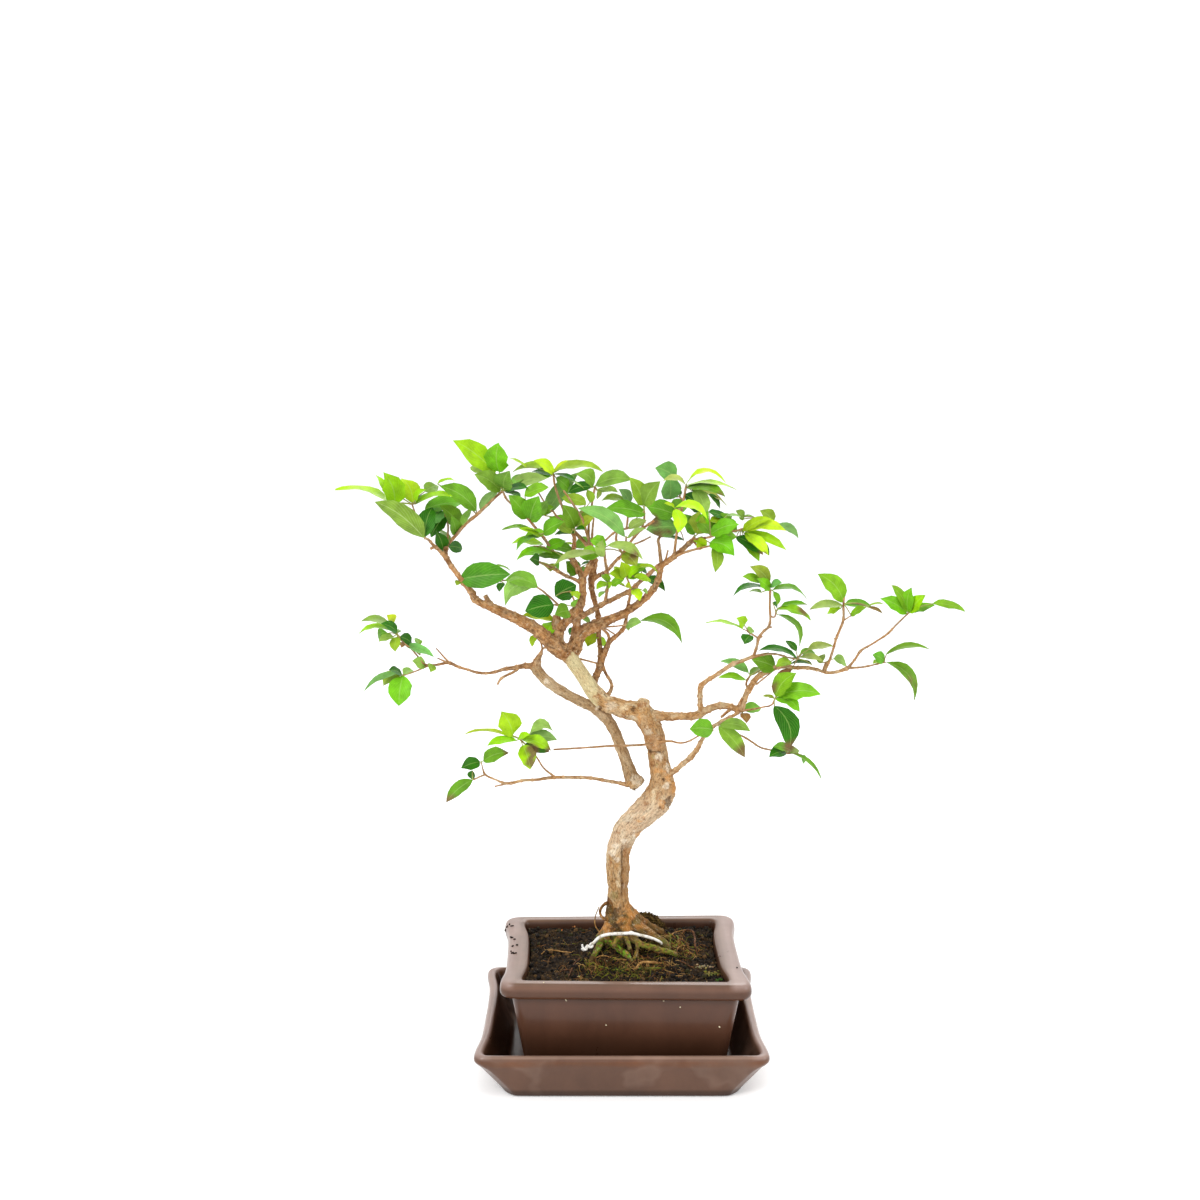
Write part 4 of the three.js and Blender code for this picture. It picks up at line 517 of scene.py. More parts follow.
# Each branch is a row of points: x and z as seen in the picture's plane, depth y and radius.
branches = {
    "trunk": [(-2, 88, 6, 14), (-2.5, 104, 5, 12), (-2.5, 118, 4, 10.4), (-2, 130, 3, 9.4),
        (-2, 142, 2, 8.6), (-2, 158, 1, 9.9), (-1.5, 172, 0, 10.1), (1.5, 184, -1, 10.4),
        (6, 193, -2, 10.6), (13, 201, -3, 10.8), (21, 208.5, -4, 11.6), (29, 217, -4, 12.6),
        (33.5, 227, -4, 11.4), (33, 238, -3, 9.2), (31, 250, -2, 8.5), (28.5, 262, -2, 8.3),
        (26.5, 272, -1, 8.4), (23, 281, 0, 9.2), (17, 290, 0, 9)],
    "cut_leader": [(20, 287, -1, 7), (18, 295, -2, 5.6), (18.5, 301, -3, 4.6)],
    "limb_left": [(19, 290, 0, 9), (10, 292, -1, 8), (2, 293.5, -1, 7.4), (-6, 296, -1, 7.2),
        (-14, 299.5, -1, 7), (-21, 306, 0, 6.8), (-27, 315, 0, 6.2), (-33, 324, 1, 5.9),
        (-38.5, 332, 2, 6.1), (-43, 339, 2, 7)],
    "limb_outer": [(-42, 338, 2, 6.5), (-49, 342, 0, 6.8), (-56, 348, -2, 6.4), (-64, 355, -4, 5.4),
        (-73, 362, -6, 5), (-83, 367.5, -8, 4.6), (-95, 373, -10, 4), (-105, 377.5, -11, 3.4),
        (-112, 380, -12, 3.1), (-117.5, 384.5, -13, 2.9), (-121, 390.5, -14, 2.5), (-126, 397, -14, 2.4),
        (-131, 404, -13, 2.1), (-136, 411, -10, 2.1), (-140.5, 419, -6, 2.3)],
    "twig_left_tip": [(-140.5, 418, -6, 2), (-145, 423, -10, 1.5), (-150, 427.5, -14, 1.4),
        (-154, 432, -17, 1.2), (-157, 433, -18, 1.1)],
    "twig_left_rosette": [(-156, 432.5, -17, 1), (-159, 440, -12, 0.9), (-163, 450, -8, 0.8),
        (-166, 460, -6, 0.8)],
    "stub_left_tip": [(-149, 426, -13, 1.4), (-152, 424.5, -12, 1.2)],
    "stem_left_fork": [(-140.5, 418, -6, 2), (-140, 423, 2, 1.9), (-139, 428, 8, 1.8)],
    "twig_left_inner": [(-139, 427, 8, 1.1), (-138, 437, 10, 0.9), (-138, 445, 12, 0.8),
        (-140, 452, 14, 0.8)],
    "twig_upper_left": [(-139, 427.5, 8, 1.5), (-131, 436, 4, 1.3), (-124, 444, -2, 1.2),
        (-115, 451.5, -6, 1.3), (-107, 459, -4, 1.1), (-100, 465.5, 0, 1), (-94.5, 470.5, 2, 1)],
    "stub_limb": [(-103, 377, -11, 2.6), (-106.5, 382, -13, 2.2), (-109, 386.5, -14, 1.9)],
    "stub_elbow": [(-119, 385, -13, 2.4), (-117.5, 390, -15, 1.8)],
    "limb_inner": [(-41, 338, 3, 6.4), (-37.5, 345, 5, 6.4), (-34.5, 353, 7, 5.8), (-30, 357.5, 7, 5.2),
        (-23, 361, 7, 4.9), (-15, 364.5, 6, 4.3), (-7, 368, 5, 3.5), (1, 371.5, 4, 3.2), (8, 376, 3, 3),
        (15, 381, 2, 2.8), (21.5, 387, 1, 2.8), (27, 394, 0, 2.7), (30, 402, -1, 2.5),
        (32, 410.5, -2, 2.4), (38, 415, -2, 2.3), (45, 420.5, -1, 2.1), (52, 427, 1, 2.1),
        (57, 431.5, 2, 2.2)],
    "stem_middle": [(-36, 352, 6, 5), (-36, 362, 6, 3.4), (-35, 370, 5, 3), (-33, 378, 3, 3.4)],
    "cut_stump": [(-50, 344, -1, 4.5), (-51, 354, 4, 5.2), (-51, 362, 7, 4.4), (-52.5, 371, 8, 3)],
    "stem_up": [(-50, 358, 5, 4.4), (-44, 366, 4, 3.6), (-37.5, 373, 3, 4.2), (-33, 380, 2, 3.6),
        (-31, 388, 1, 3.2), (-31, 396, 1, 3.1), (-31, 402, 1, 3.2)],
    "stem_up_left": [(-31, 401, 1, 2.6), (-34.5, 408, 6, 2.4), (-38.5, 415, 12, 2.5),
        (-38.5, 422, 18, 1.9), (-37.5, 430, 14, 1.6), (-38, 438, 4, 1.9)],
    "stem_up_right": [(-31, 401, 1, 2.5), (-28.5, 405, 0, 2.2), (-25, 411, -2, 2.6), (-22, 417, -3, 2.2)],
    "branch_low_right": [(-42, 366.5, 4, 2.8), (-33, 369.5, 3, 2.9), (-25, 373.5, 2, 2.3),
        (-17, 378.5, 1, 2.2), (-8, 383, 0, 2), (1, 387.5, -1, 1.9), (8, 391, -2, 2.1),
        (14.5, 397.5, -3, 1.8), (22, 404, -3, 1.8), (28, 409.5, -2, 1.7), (32, 413, -2, 1.7)],
    "stem_back": [(-24, 312, 5, 3.2), (-20, 321, 13, 3), (-16.5, 331, 18, 3.2), (-17, 342, 21, 2),
        (-18, 354, 23, 1.9), (-18, 366, 24, 2.2), (-20, 377, 24, 2.2), (-23, 388, 22, 2.3),
        (-24, 398, 18, 2.6), (-23, 407, 12, 3), (-21, 416, 5, 2.8)],
    "stem_back_right": [(-16.5, 331, 18, 2.8), (-13, 341, 19, 2.6), (-9, 349, 18, 2),
        (-3, 354.5, 16, 1.7), (2, 360, 13, 1.9), (4, 368, 10, 1.4), (5, 377, 4, 1.3), (6.5, 384, 0, 1.3),
        (8, 391, -2, 1.2)],
    "twig_back_fork": [(-12, 345, 19, 1.5), (-10, 353, 16, 1.2), (-14, 358.5, 11, 1.1),
        (-18, 362, 8, 1.1)],
    "twig_back_thin": [(-4, 354, 16, 0.7), (-9, 357.5, 13, 0.6), (-13, 360, 10, 0.6)],
    "twig_under_right": [(-15, 361, 8, 0.8), (-5, 361.5, -2, 0.7), (6, 363, -14, 0.7)],
    "twig_lower_small": [(-12, 303, 5, 1.8), (-8, 310, 11, 1.6), (-8, 315, 15, 1.5), (-12, 322, 18, 1.4),
        (-15, 329, 18, 1.4)],
    "twig_cross": [(-38, 336, 6, 1), (-28, 333.5, 12, 0.8), (-19, 331, 17, 0.8)],
    "twig_centre": [(-13, 381.5, 0, 1.4), (-11.5, 390, -8, 1.3), (-10.5, 397, -12, 1.6),
        (-11.5, 406, -14, 1.3), (-13, 415, -22, 1.1), (-13.5, 421, -36, 1), (-14, 424, -56, 0.9)],
    "twig_centre_left": [(-10.5, 397, -12, 1), (-10, 397, -30, 0.8)],
    "branch_mid_up": [(-24, 399, 17, 2), (-17, 403.5, 8, 1.7), (-11.5, 406.5, -6, 1.5),
        (-5, 414, -10, 1.4), (1, 420, -14, 1.3), (3, 427, -30, 1), (4, 434, -46, 0.9)],
    "twig_crown_a": [(1, 420, -14, 1.1), (-4, 430, -4, 1), (-3.5, 440, 6, 0.9), (-3, 449, 12, 0.7)],
    "twig_crown_b": [(1, 420.5, -15, 1.1), (8, 431, -14, 1.1), (14, 438, -12, 1.1), (20, 443, -14, 1),
        (26, 447, -14, 1)],
    "twig_crown_c": [(5, 427, -15, 0.7), (14, 429.5, -6, 0.7), (23, 434, 0, 0.6)],
    "twig_crown_d": [(-13, 431, 0, 0.7), (-4, 438.5, 5, 0.9), (5, 441, 10, 0.9), (12, 444, 14, 0.8),
        (19, 446, 16, 0.7)],
    "twig_crown_arch": [(4, 441, 9, 0.9), (5, 450, 18, 0.8), (5, 459, 22, 0.8)],
    "twig_crown_olive": [(16, 440, -13, 0.9), (18, 448, -16, 0.9), (18, 455, -18, 0.8)],
    "twig_top": [(-22, 415, -3, 1.6), (-25, 424, -3, 1.5), (-26, 433, -4, 1.2), (-26, 443, -2, 1),
        (-24.5, 452, 0, 0.9), (-23, 463, 1, 0.9), (-21, 474, 2, 1)],
    "twig_top_side": [(-22.5, 417, -3, 1.2), (-23.5, 430, -6, 1), (-23, 440, -6, 0.9),
        (-22, 449, -6, 0.7)],
    "twig_bridge": [(-25, 424, -3, 1.6), (-31, 431.5, -2, 1.6), (-38, 438.5, 1, 1.6)],
    "twig_high_left": [(-26, 431, -4, 1.2), (-28.5, 440, -8, 1.1), (-31, 448, -10, 1), (-36, 456, -10, 1),
        (-41, 464, -8, 0.9), (-46, 471, -4, 0.7)],
    "twig_crown_tip": [(-38, 438, 4, 1.6), (-41, 443, 8, 1.5), (-44, 450, 12, 1.3), (-47, 458, 15, 1.1),
        (-50, 466, 17, 1), (-53, 476, 18, 0.9), (-54, 484, 18, 0.8)],
    "twig_crown_green": [(-38, 438, 4, 1.2), (-38, 442, -8, 0.9)],
    "twig_crown_back": [(-38, 438, 3, 1.2), (-44, 444, 3, 0.9), (-51, 450, 14, 0.8), (-57, 455, 24, 0.8),
        (-61, 451, 26, 0.7)],
    "twig_crown_far": [(-57, 455, 24, 0.7), (-62, 463, 22, 0.6), (-67, 470, 18, 0.6), (-76, 468, 2, 0.6)],
    "branch_left_up": [(-38.5, 417, 14, 1.8), (-47, 419, 10, 1.7), (-57, 422.5, 4, 1.6),
        (-66, 426, -2, 1.3), (-73, 425.5, -6, 1)],
    "branch_left_rise": [(-55, 422, 5, 1.5), (-59, 429, -4, 1.3), (-64, 436, -14, 1.3),
        (-69, 442, -16, 1.1), (-73, 447, -15, 1), (-79, 453, -12, 0.9), (-85, 458.5, -8, 0.8),
        (-91, 464, -4, 0.9), (-94, 470, 1, 0.8)],
    "twig_left_low": [(-64, 436, -14, 1), (-64, 436, -24, 0.8)],
    "branch_left_mid": [(-31, 396, 1, 1.7), (-38, 400, -2, 1.4), (-44, 402.5, -5, 1.5),
        (-50, 406, -8, 1.5), (-57, 409.5, -10, 1.2), (-66, 414, -12, 1.1)],
    "twig_pair": [(-42, 368, 3, 1.3), (-45, 373, -6, 0.9), (-51, 379.5, -16, 0.8), (-58, 386, -24, 0.8),
        (-67, 393, -30, 0.7), (-80, 398, -18, 0.6), (-96, 399, -6, 0.6)],
    "twig_round_leaf": [(-51, 379.5, -16, 0.7), (-54, 379, -34, 0.6)],
    "twig_oval": [(-35.5, 375, 3, 1.2), (-38, 383, -6, 0.9), (-41, 390, -16, 0.9)],
    "limb_second": [(15, 229, 2, 6.5), (9, 236, 3, 6.2), (5.5, 246, 4, 5), (1.5, 257, 5, 4.6),
        (-3, 269, 6, 4.5), (-8, 280, 7, 4.6), (-14, 288, 8, 5), (-22, 294.5, 8, 4.8), (-31, 299, 8, 4.4),
        (-41, 304, 8, 4.3), (-51, 310, 7, 4.4), (-60, 316.5, 6, 4.4), (-66, 323, 5, 4.3),
        (-70, 330, 4, 4.4)],
    "cut_foot": [(12, 234, 2, 5.5), (7.5, 226.5, 0, 5.6)],
    "twig_knot": [(-69, 329, 4, 4), (-67, 335, 3, 2.6), (-64.5, 340, 2, 1.6), (-63, 343.5, 1, 1),
        (-59, 344, 0, 1)],
    "twig_knot_stub": [(-63.5, 342, 1, 0.8), (-64.5, 349, -3, 0.7)],
    "branch_left_low": [(-70, 329, 4, 3), (-78, 329, 0, 2.4), (-86, 327.5, -4, 1.9),
        (-94, 326.5, -8, 1.7), (-100, 324.5, -10, 1.4), (-108, 323, -12, 1.3), (-116, 323.5, -14, 1.3),
        (-124, 326, -15, 1.2), (-132, 328.5, -16, 1.3), (-139, 331.5, -17, 1.5), (-148, 330, -18, 1.1),
        (-156, 329.5, -18, 0.9)],
    "twig_left_spray": [(-155, 329.5, -18, 0.7), (-160, 331.5, -20, 0.7), (-164, 337, -22, 0.7),
        (-169, 343, -24, 0.7), (-175, 348, -28, 0.7), (-180, 355, -30, 0.7)],
    "twig_left_pendant": [(-156, 329, -18, 0.7), (-165, 325, -22, 0.6), (-176, 321, -26, 0.6)],
    "stub_left_a": [(-138.5, 331.5, -17, 0.8), (-149, 343.5, -14, 0.5)],
    "stub_left_b": [(-139.5, 331.5, -17, 0.9), (-148, 335.5, -21, 0.6)],
    "twig_low_small": [(-82, 328, -2, 1.4), (-86, 324.5, -6, 1.1), (-93, 321, -12, 1),
        (-97, 318.5, -14, 1.1), (-100, 313.5, -16, 0.8)],
    "twig_front_left": [(27, 264.5, -8, 1.3), (23, 264, -12, 1.1), (10, 263, -16, 1),
        (-8, 262.5, -18, 0.9), (-30, 261, -20, 0.8), (-55, 259.5, -22, 0.8)],
    "twig_front_right": [(30, 265.5, -8, 1.2), (40, 266.5, -12, 0.9), (48, 265, -14, 0.8),
        (55, 266.5, -18, 0.8), (64, 271.5, -23, 0.7), (75, 276, -26, 0.7)],
    "branch_low_left": [(6, 230, 0, 2.2), (-2, 231.5, -4, 1.6), (-10, 233, -8, 1.5),
        (-25, 235.5, -12, 1.5), (-40, 236, -14, 1.5), (-55, 236, -16, 1.5), (-70, 234, -18, 1.3),
        (-80, 233.5, -19, 1.3), (-93, 231, -20, 1.4), (-103, 234.5, -20, 0.9), (-111, 239, -20, 1.1),
        (-113, 245, -20, 0.8), (-114, 249, -20, 0.7)],
    "twig_low_tip": [(-111, 238.5, -20, 0.8), (-121, 234, -22, 0.6)],
    "stub_low_left": [(-92, 231, -20, 0.9), (-103, 228.5, -18, 0.6)],
    "twig_low_rosette": [(-54, 236.5, -16, 1), (-63, 244, -20, 0.8), (-68, 252, -22, 0.7),
        (-74, 260, -24, 0.7), (-82, 268, -26, 0.8)],
    "branch_right": [(25, 288, 0, 5), (32, 287.5, -1, 3.9), (40, 287, -2, 3.6), (48, 287.5, -3, 3.3),
        (58, 287.5, -4, 3.3), (64, 289.5, -4, 3.3), (69, 292.5, -5, 3), (76, 295.5, -6, 2.9),
        (85, 296, -8, 2.8), (92, 294, -9, 2.7), (97, 293.5, -10, 3), (99, 299, -10, 2.6),
        (101.5, 306, -9, 2.6), (106, 314, -8, 2.5), (111, 320.5, -7, 2.4), (118, 324.5, -6, 2.2),
        (126, 328, -6, 2.1), (131, 329, -6, 2.2), (140, 327.5, -4, 1.6), (150, 327.5, -2, 1.7),
        (158, 326, 0, 1.5), (166, 323.5, 0, 1.4), (175, 324.5, -2, 1.4), (183, 327.5, -4, 1.9)],
    "branch_right_up": [(65, 289.5, -4, 2.6), (64, 298, -6, 2.2), (64, 306, -8, 2.2),
        (64.5, 312, -9, 2.3), (69, 316.5, -10, 2), (76, 321, -11, 1.8), (83, 326, -12, 1.8),
        (90, 330.5, -12, 2), (98, 333.5, -12, 1.5), (106, 336.5, -12, 1.6), (113, 338, -12, 1.1),
        (120, 339, -11, 1.1), (128, 338, -10, 1), (134, 336, -10, 0.9), (142, 335, -10, 0.9)],
    "twig_spire": [(106, 336, -12, 1.3), (108, 341, -13, 1.2), (109.5, 347, -15, 1.1),
        (110.5, 352, -16, 1.3), (114, 357, -16, 1), (118.5, 361.5, -16, 1.2), (119.5, 367, -16, 0.9),
        (119, 377, -16, 0.9), (119, 391, -16, 0.9)],
    "stub_spire_a": [(110, 351, -16, 0.9), (113.5, 353.5, -17, 0.7)],
    "stub_spire_b": [(118, 360.5, -16, 0.9), (121, 361, -16, 0.7)],
    "twig_spire_side": [(110, 352, -16, 0.8), (106, 354.5, -20, 0.7), (102, 357, -24, 0.7)],
    "twig_spire_stalk": [(119.5, 370, -16, 0.7), (122.5, 369, -18, 0.6), (124, 373, -20, 0.6)],
    "twig_right_round": [(103, 310, -8, 1), (101, 313.5, -7, 0.8), (104, 321, -6, 0.7)],
    "twig_right_thin": [(109, 313.5, -8, 0.7), (122, 324.5, -7, 0.6)],
    "twig_fan": [(164, 325, 0, 1.4), (168, 334, -4, 1.1), (171, 344, -8, 1), (173, 352, -10, 1.1),
        (176, 360, -12, 1), (178, 366, -13, 1.1), (178, 380, -14, 0.9), (178.5, 387, -14, 0.6)],
    "stub_fan": [(173.5, 351.5, -10, 0.8), (171, 351.5, -10, 0.6)],
    "twig_fan_stalk": [(178, 366, -13, 0.6), (184, 370, -16, 0.5)],
    "twig_fan_back": [(163, 325, 0, 1.2), (164, 329, 6, 1), (165, 332, 10, 0.8)],
    "twig_far_tip": [(183, 327.5, -4, 1.4), (188, 334, -6, 1), (193.5, 342, -8, 1.2), (200, 346, -8, 0.9),
        (207, 350.5, -8, 0.8), (214, 355.5, -8, 1.1), (220, 362, -8, 0.8), (230, 372, -8, 0.7)],
    "twig_far_low": [(183, 327.5, -4, 1.3), (191, 327.7, -8, 0.8), (197, 328.5, -10, 0.9),
        (204, 330, -11, 0.7), (212, 332, -12, 0.8)],
    "branch_right_low": [(35, 238, -4, 5), (42, 240.5, -6, 2.6), (50, 247, -10, 2.2),
        (57, 253.5, -13, 2.4), (62, 260, -15, 2.2), (65.5, 267, -16, 1.8), (69, 272.5, -17, 1.6),
        (74, 278, -18, 1.5), (80, 282, -17, 1.8), (87, 286, -14, 1.6), (93, 289, -12, 1.5),
        (97, 292.5, -10, 1.8)],
    "stub_right_under": [(90, 294.5, -9, 1.6), (86, 291, -12, 1.2), (81, 286.5, -16, 1)],
    "stub_right_top": [(95, 295, -10, 1.8), (98, 303, -14, 0.9)],
    "twig_right_lobes": [(98, 292, -10, 1), (106, 293, -14, 0.8), (115, 295, -20, 0.7),
        (122, 297, -23, 0.8), (124, 301, -24, 0.7)],
    "twig_right_low": [(84, 284, -15, 1), (88, 278, -8, 0.8), (93, 273.5, -6, 0.8), (100, 270, -8, 0.8),
        (107, 265.5, -10, 0.8), (113, 261.5, -12, 0.8), (120, 259.5, -14, 0.7), (136, 256, -16, 0.7)],
    "twig_mint": [(32, 411, -2, 1.6), (31, 418, 0, 1.5), (30, 427, 2, 1.4), (29.5, 432, 3, 1.2),
        (35, 437, 5, 1), (46, 440, 8, 0.9)],
    "stub_mint": [(34.5, 412, -2, 0.9), (37, 423, -5, 0.6)],
    "twig_right_top": [(42, 418.5, -1.5, 1.2), (43, 428, -1, 1), (44, 437, -1, 0.9), (46, 447, 0, 0.9),
        (48, 457, 0, 0.9), (50, 468, 0, 0.9), (51, 474, 0, 0.8)],
    "twig_right_yellow": [(47.5, 455, 0, 0.8), (45.5, 456, -15, 0.7), (43, 456, -30, 0.7)],
    "twig_right_blue": [(49, 463, 0, 0.8), (47, 465, 10, 0.7), (46, 466, 20, 0.7)],
    "twig_right_hang": [(40, 416.5, -2, 1.4), (48, 420.5, -6, 1.1), (58, 423.7, -9, 1),
        (66, 425.6, -10, 0.9), (72, 427, -10, 0.8)],
    "stub_burl": [(57, 431, 2, 1.2), (60, 427, 1, 0.6)],
    "twig_burl": [(56.5, 431, 2, 1.6), (58, 434, 2, 1.1)],
    "twig_right_crown": [(57, 431.5, 2, 1.3), (66, 433, -6, 1), (71, 434, -14, 0.9), (80, 437, -6, 0.8),
        (95, 440, 6, 0.8), (103, 444, 14, 0.7), (110, 448, 20, 0.7)],
    "twig_centre_lime": [(8, 391, -2, 0.9), (6, 397, -20, 0.8), (3, 404, -44, 0.7)],
    "twig_centre_dark": [(15, 398, -3, 1), (16, 402, 14, 0.7)],
    "twig_centre_bud": [(8, 391, -2, 0.9), (9, 392, -28, 0.7)],
    "twig_fork_oval": [(-35, 409, 8, 1), (-36, 404, 18, 0.7)],
    "twig_fork_pale": [(-18, 365, 24, 0.9), (-22, 367, 28, 0.6), (-25, 364, 30, 0.6)],
    "twig_left_base": [(-38.5, 422, 18, 1), (-38, 424, 30, 0.8)],
    "root_right": [(2, 122, 2, 7), (8, 113, 1, 6.6), (16, 106.5, -1, 5.6), (24, 101, -3, 4.8),
        (31, 97, -5, 4), (37, 93, -7, 3.2), (41, 88, -8, 2.2)],
    "root_right_rear": [(4, 122, 6, 7), (14, 114, 12, 5), (24, 108, 18, 4), (35, 103, 22, 2.6)],
    "root_left": [(-5, 118, 3, 6.5), (-9, 110, 0, 5), (-12, 103, -4, 3.8), (-16, 95, -9, 3),
        (-20, 87, -14, 2.6), (-24.5, 79, -18, 2), (-27, 74, -19, 1.4)],
    "root_left_rear": [(-5, 116, 6, 5.5), (-10, 110, 8, 3.6), (-14, 105, 8, 2.4), (-20, 99, 6, 1.7)],
    "root_front_green": [(-9, 105, -3, 4), (-12, 99, -8, 3), (-6, 93, -13, 2.5), (0, 87.5, -16, 2.6),
        (5, 83.5, -18, 2.8), (9, 79, -19, 1.8)],
    "root_front": [(2, 112, -3, 7.5), (5, 104, -7, 4.6), (11, 97, -11, 3.2), (19, 92, -14, 2.6),
        (26, 90, -16, 2.9), (34, 87.5, -18, 2.4), (41, 86, -18, 2.5), (47, 83, -17, 1.6)],
    "root_side_arch": [(-6, 90, -20, 1.8), (-3, 97, -17, 1.8), (3, 100, -14, 1.7), (6, 95, -17, 1.8),
        (8, 88, -20, 1.7)],
    "root_side_middle": [(12, 100, -9, 2.4), (14, 92, -16, 1.8), (13, 84, -20, 1.8), (10, 77, -22, 1.7)],
    "root_loop": [(-9, 130, 1, 1.5), (-15, 126, -3, 1.2), (-17, 121, -5, 1.2), (-15, 116, -6, 1.2),
        (-10, 114, -5, 1.2)],
}
# Marks on the bark as seen in the picture's plane: x, z, half width, half height, tone.
BARK_MARKS = [
    (10, 293, 2.6, 2.2, "dark"), (2, 288, 2.2, 2.6, "rust"), (9, 286, 2.8, 2.4, "grey"),
    (15, 285, 1.8, 3.6, "orange"), (16, 297, 2.7, 2.9, "rust"), (20, 298, 1.8, 2.2, "rust"),
    (-8, 296, 5.8, 3.2, "grey"), (2, 294, 3.2, 2.7, "cream"), (-17, 294, 1.6, 1.6, "dark"),
    (-20, 294, 1.6, 1.6, "white"), (22, 275, 3.6, 3.8, "grey"), (23, 270.5, 4, 1.2, "rust"),
    (28, 267, 3.8, 1.4, "white"), (27, 257.6, 8, 1.1, "dark"), (22, 259, 1.5, 1.8, "dark"),
    (27, 262.4, 8, 0.9, "olive"), (31, 253.5, 4, 3.2, "white"), (26, 254, 1.4, 2, "olive"),
    (30, 250, 1.2, 1.7, "rust"), (29, 246.5, 1.3, 1.3, "olive"), (25, 247.5, 1.4, 2.2, "rust"),
    (36, 251, 1, 3.2, "rust"), (38, 244, 1.5, 4.2, "white"), (30, 241.5, 5.6, 1.8, "orange"),
    (38, 236, 3.2, 2.8, "orange"), (35, 234.5, 1.5, 1.5, "dark"), (37, 229, 2.9, 2.8, "white"),
    (43, 227, 1.6, 5.6, "orange"), (39, 215, 4, 4.6, "dark"), (33, 213, 3.2, 3.8, "orange"),
    (32, 210, 1.2, 1.4, "dark"), (27, 219, 1.7, 7, "cream"), (20, 214, 2, 1.6, "rust"),
    (13, 234, 5, 5, "grey"), (14, 225, 6, 1.6, "dark"), (6, 227, 1.6, 1.6, "dark"),
    (18, 202, 2.2, 1.8, "rust"), (15, 199, 2.5, 1.6, "orange"), (6, 202, 4.2, 4.2, "grey"),
    (-4, 178, 2.8, 2.9, "white"), (-7, 172, 2.8, 3.4, "white"), (-3, 166, 2.6, 2, "white"),
    (3, 182, 2.8, 2.1, "white"), (11, 187, 1.4, 4, "white"), (14, 186, 2, 4.5, "orange"),
    (-2, 189, 3.4, 0.9, "rust"), (-9, 163, 1.9, 2.8, "rust"), (4.5, 171, 2.2, 5.6, "rust"),
    (8, 171, 1.4, 5.6, "orange"), (4, 143, 1.3, 2.8, "white"), (8, 152, 1.4, 2.4, "dark"),
    (-2, 145, 2, 2.9, "cream"), (-5, 135, 3.8, 3.2, "olive"), (6, 126, 3, 3.4, "orange"),
    (-4, 120, 3.6, 5, "dark"), (-10, 122, 2.4, 4, "orange"), (-13, 110, 3, 5, "orange"),
    (-5, 107, 3, 4, "dark"), (10, 120, 4, 3, "orange"), (20, 112, 3, 3, "rust"),
    (-60, 316, 2.2, 2.2, "white"), (-52, 372, 4, 2, "cream"), (-20, 304, 4, 1.6, "rust"),
    (-46, 338, 5, 2.4, "rust"),
]
MARK_TONES = {
    "cream": (0.72, 0.58, 0.37), "white": (0.78, 0.68, 0.53), "grey": (0.62, 0.52, 0.38),
    "orange": (0.56, 0.26, 0.075), "rust": (0.28, 0.115, 0.035), "dark": (0.055, 0.028, 0.016),
    "olive": (0.27, 0.21, 0.07),
}
MARK_RELIEF = {"dark": -0.9, "rust": -0.35, "white": 0.2}
BARK_TONES = {
    "tan": (0.44, 0.25, 0.1), "sand": (0.56, 0.38, 0.2), "cream": (0.64, 0.51, 0.32),
    "rust": (0.27, 0.11, 0.032), "painted trunk shade": (0.36, 0.2, 0.085), "bleached": (0.74, 0.6, 0.44),
    "waist": (0.46, 0.27, 0.11), "taupe": (0.33, 0.215, 0.11), "dust": (0.45, 0.325, 0.195),
    "umber": (0.15, 0.055, 0.018), "chestnut": (0.38, 0.17, 0.06), "flake": (0.56, 0.33, 0.15),
    "smooth": (0.56, 0.47, 0.26), "freckle": (0.36, 0.2, 0.08), "ring": (0.62, 0.39, 0.21),
    "slit": (0.1, 0.05, 0.02), "slit side": (0.33, 0.165, 0.06),
    "algae": (0.13, 0.085, 0.018), "warm algae": (0.4, 0.17, 0.038), "shaded": (0.1, 0.055, 0.014),
    "black": (0.03, 0.018, 0.006), "deep moss": (0.09, 0.08, 0.01), "olive moss": (0.17, 0.2, 0.014),
    "fresh moss": (0.17, 0.34, 0.02), "dry moss": (0.34, 0.2, 0.035),
}
# How dark and brown the bark of each branch is, from the pale trunk to the rough outer branches.
BROWN_BARK = {
    "limb_outer": 0.75, "limb_inner": 0.8, "stem": 0.85, "branch_mid": 0.85, "branch_low_right": 0.75,
    "branch_left": 0.7, "twig": 0.62, "branch_right": 0.35, "branch_low_left": 0.4, "cut_stump": 0.6,
    "stub": 0.7, "root_right_rear": 0.9, "root_loop": 1.0, "limb_second": 0.0,
}
MOSSY = {
    "root_front_green": 1.0, "root_front": 0.7, "root_left": 0.75, "root_right": 0.35, "root_side": 0.7,
}
RING_PITCH = 8.2
SMOOTH_PART = (-46, -17)
SLIT_HEIGHTS = (128, 138, 172, 182)
SLIT_X = 1.4
SLIT_DEPTH = 3.2


def nearness(y):
    """How far a depth is from the viewing point, as a share of the picture's plane's distance."""
    return (y - VIEW_POINT.y) / -VIEW_POINT.y


def seen(x, z, y):
    """The point in millimetres that is seen at x and z of the picture's plane, at the depth y."""
    share = nearness(y)
    return Vector((VIEW_POINT.x + (x - VIEW_POINT.x) * share, y, VIEW_POINT.z + (z - VIEW_POINT.z) * share))


def in_picture(point):
    """The x and z of the picture's plane at which a point is seen."""
    share = nearness(point.y)
    return VIEW_POINT.x + (point.x - VIEW_POINT.x) / share, VIEW_POINT.z + (point.z - VIEW_POINT.z) / share


def placed(points):
    """Rows of x, z, depth and radius in the picture's plane, turned into points and true radii."""
    return [(seen(x, z, y), radius * (y - VIEW_POINT.y) / -VIEW_POINT.y) for x, z, y, radius in points]


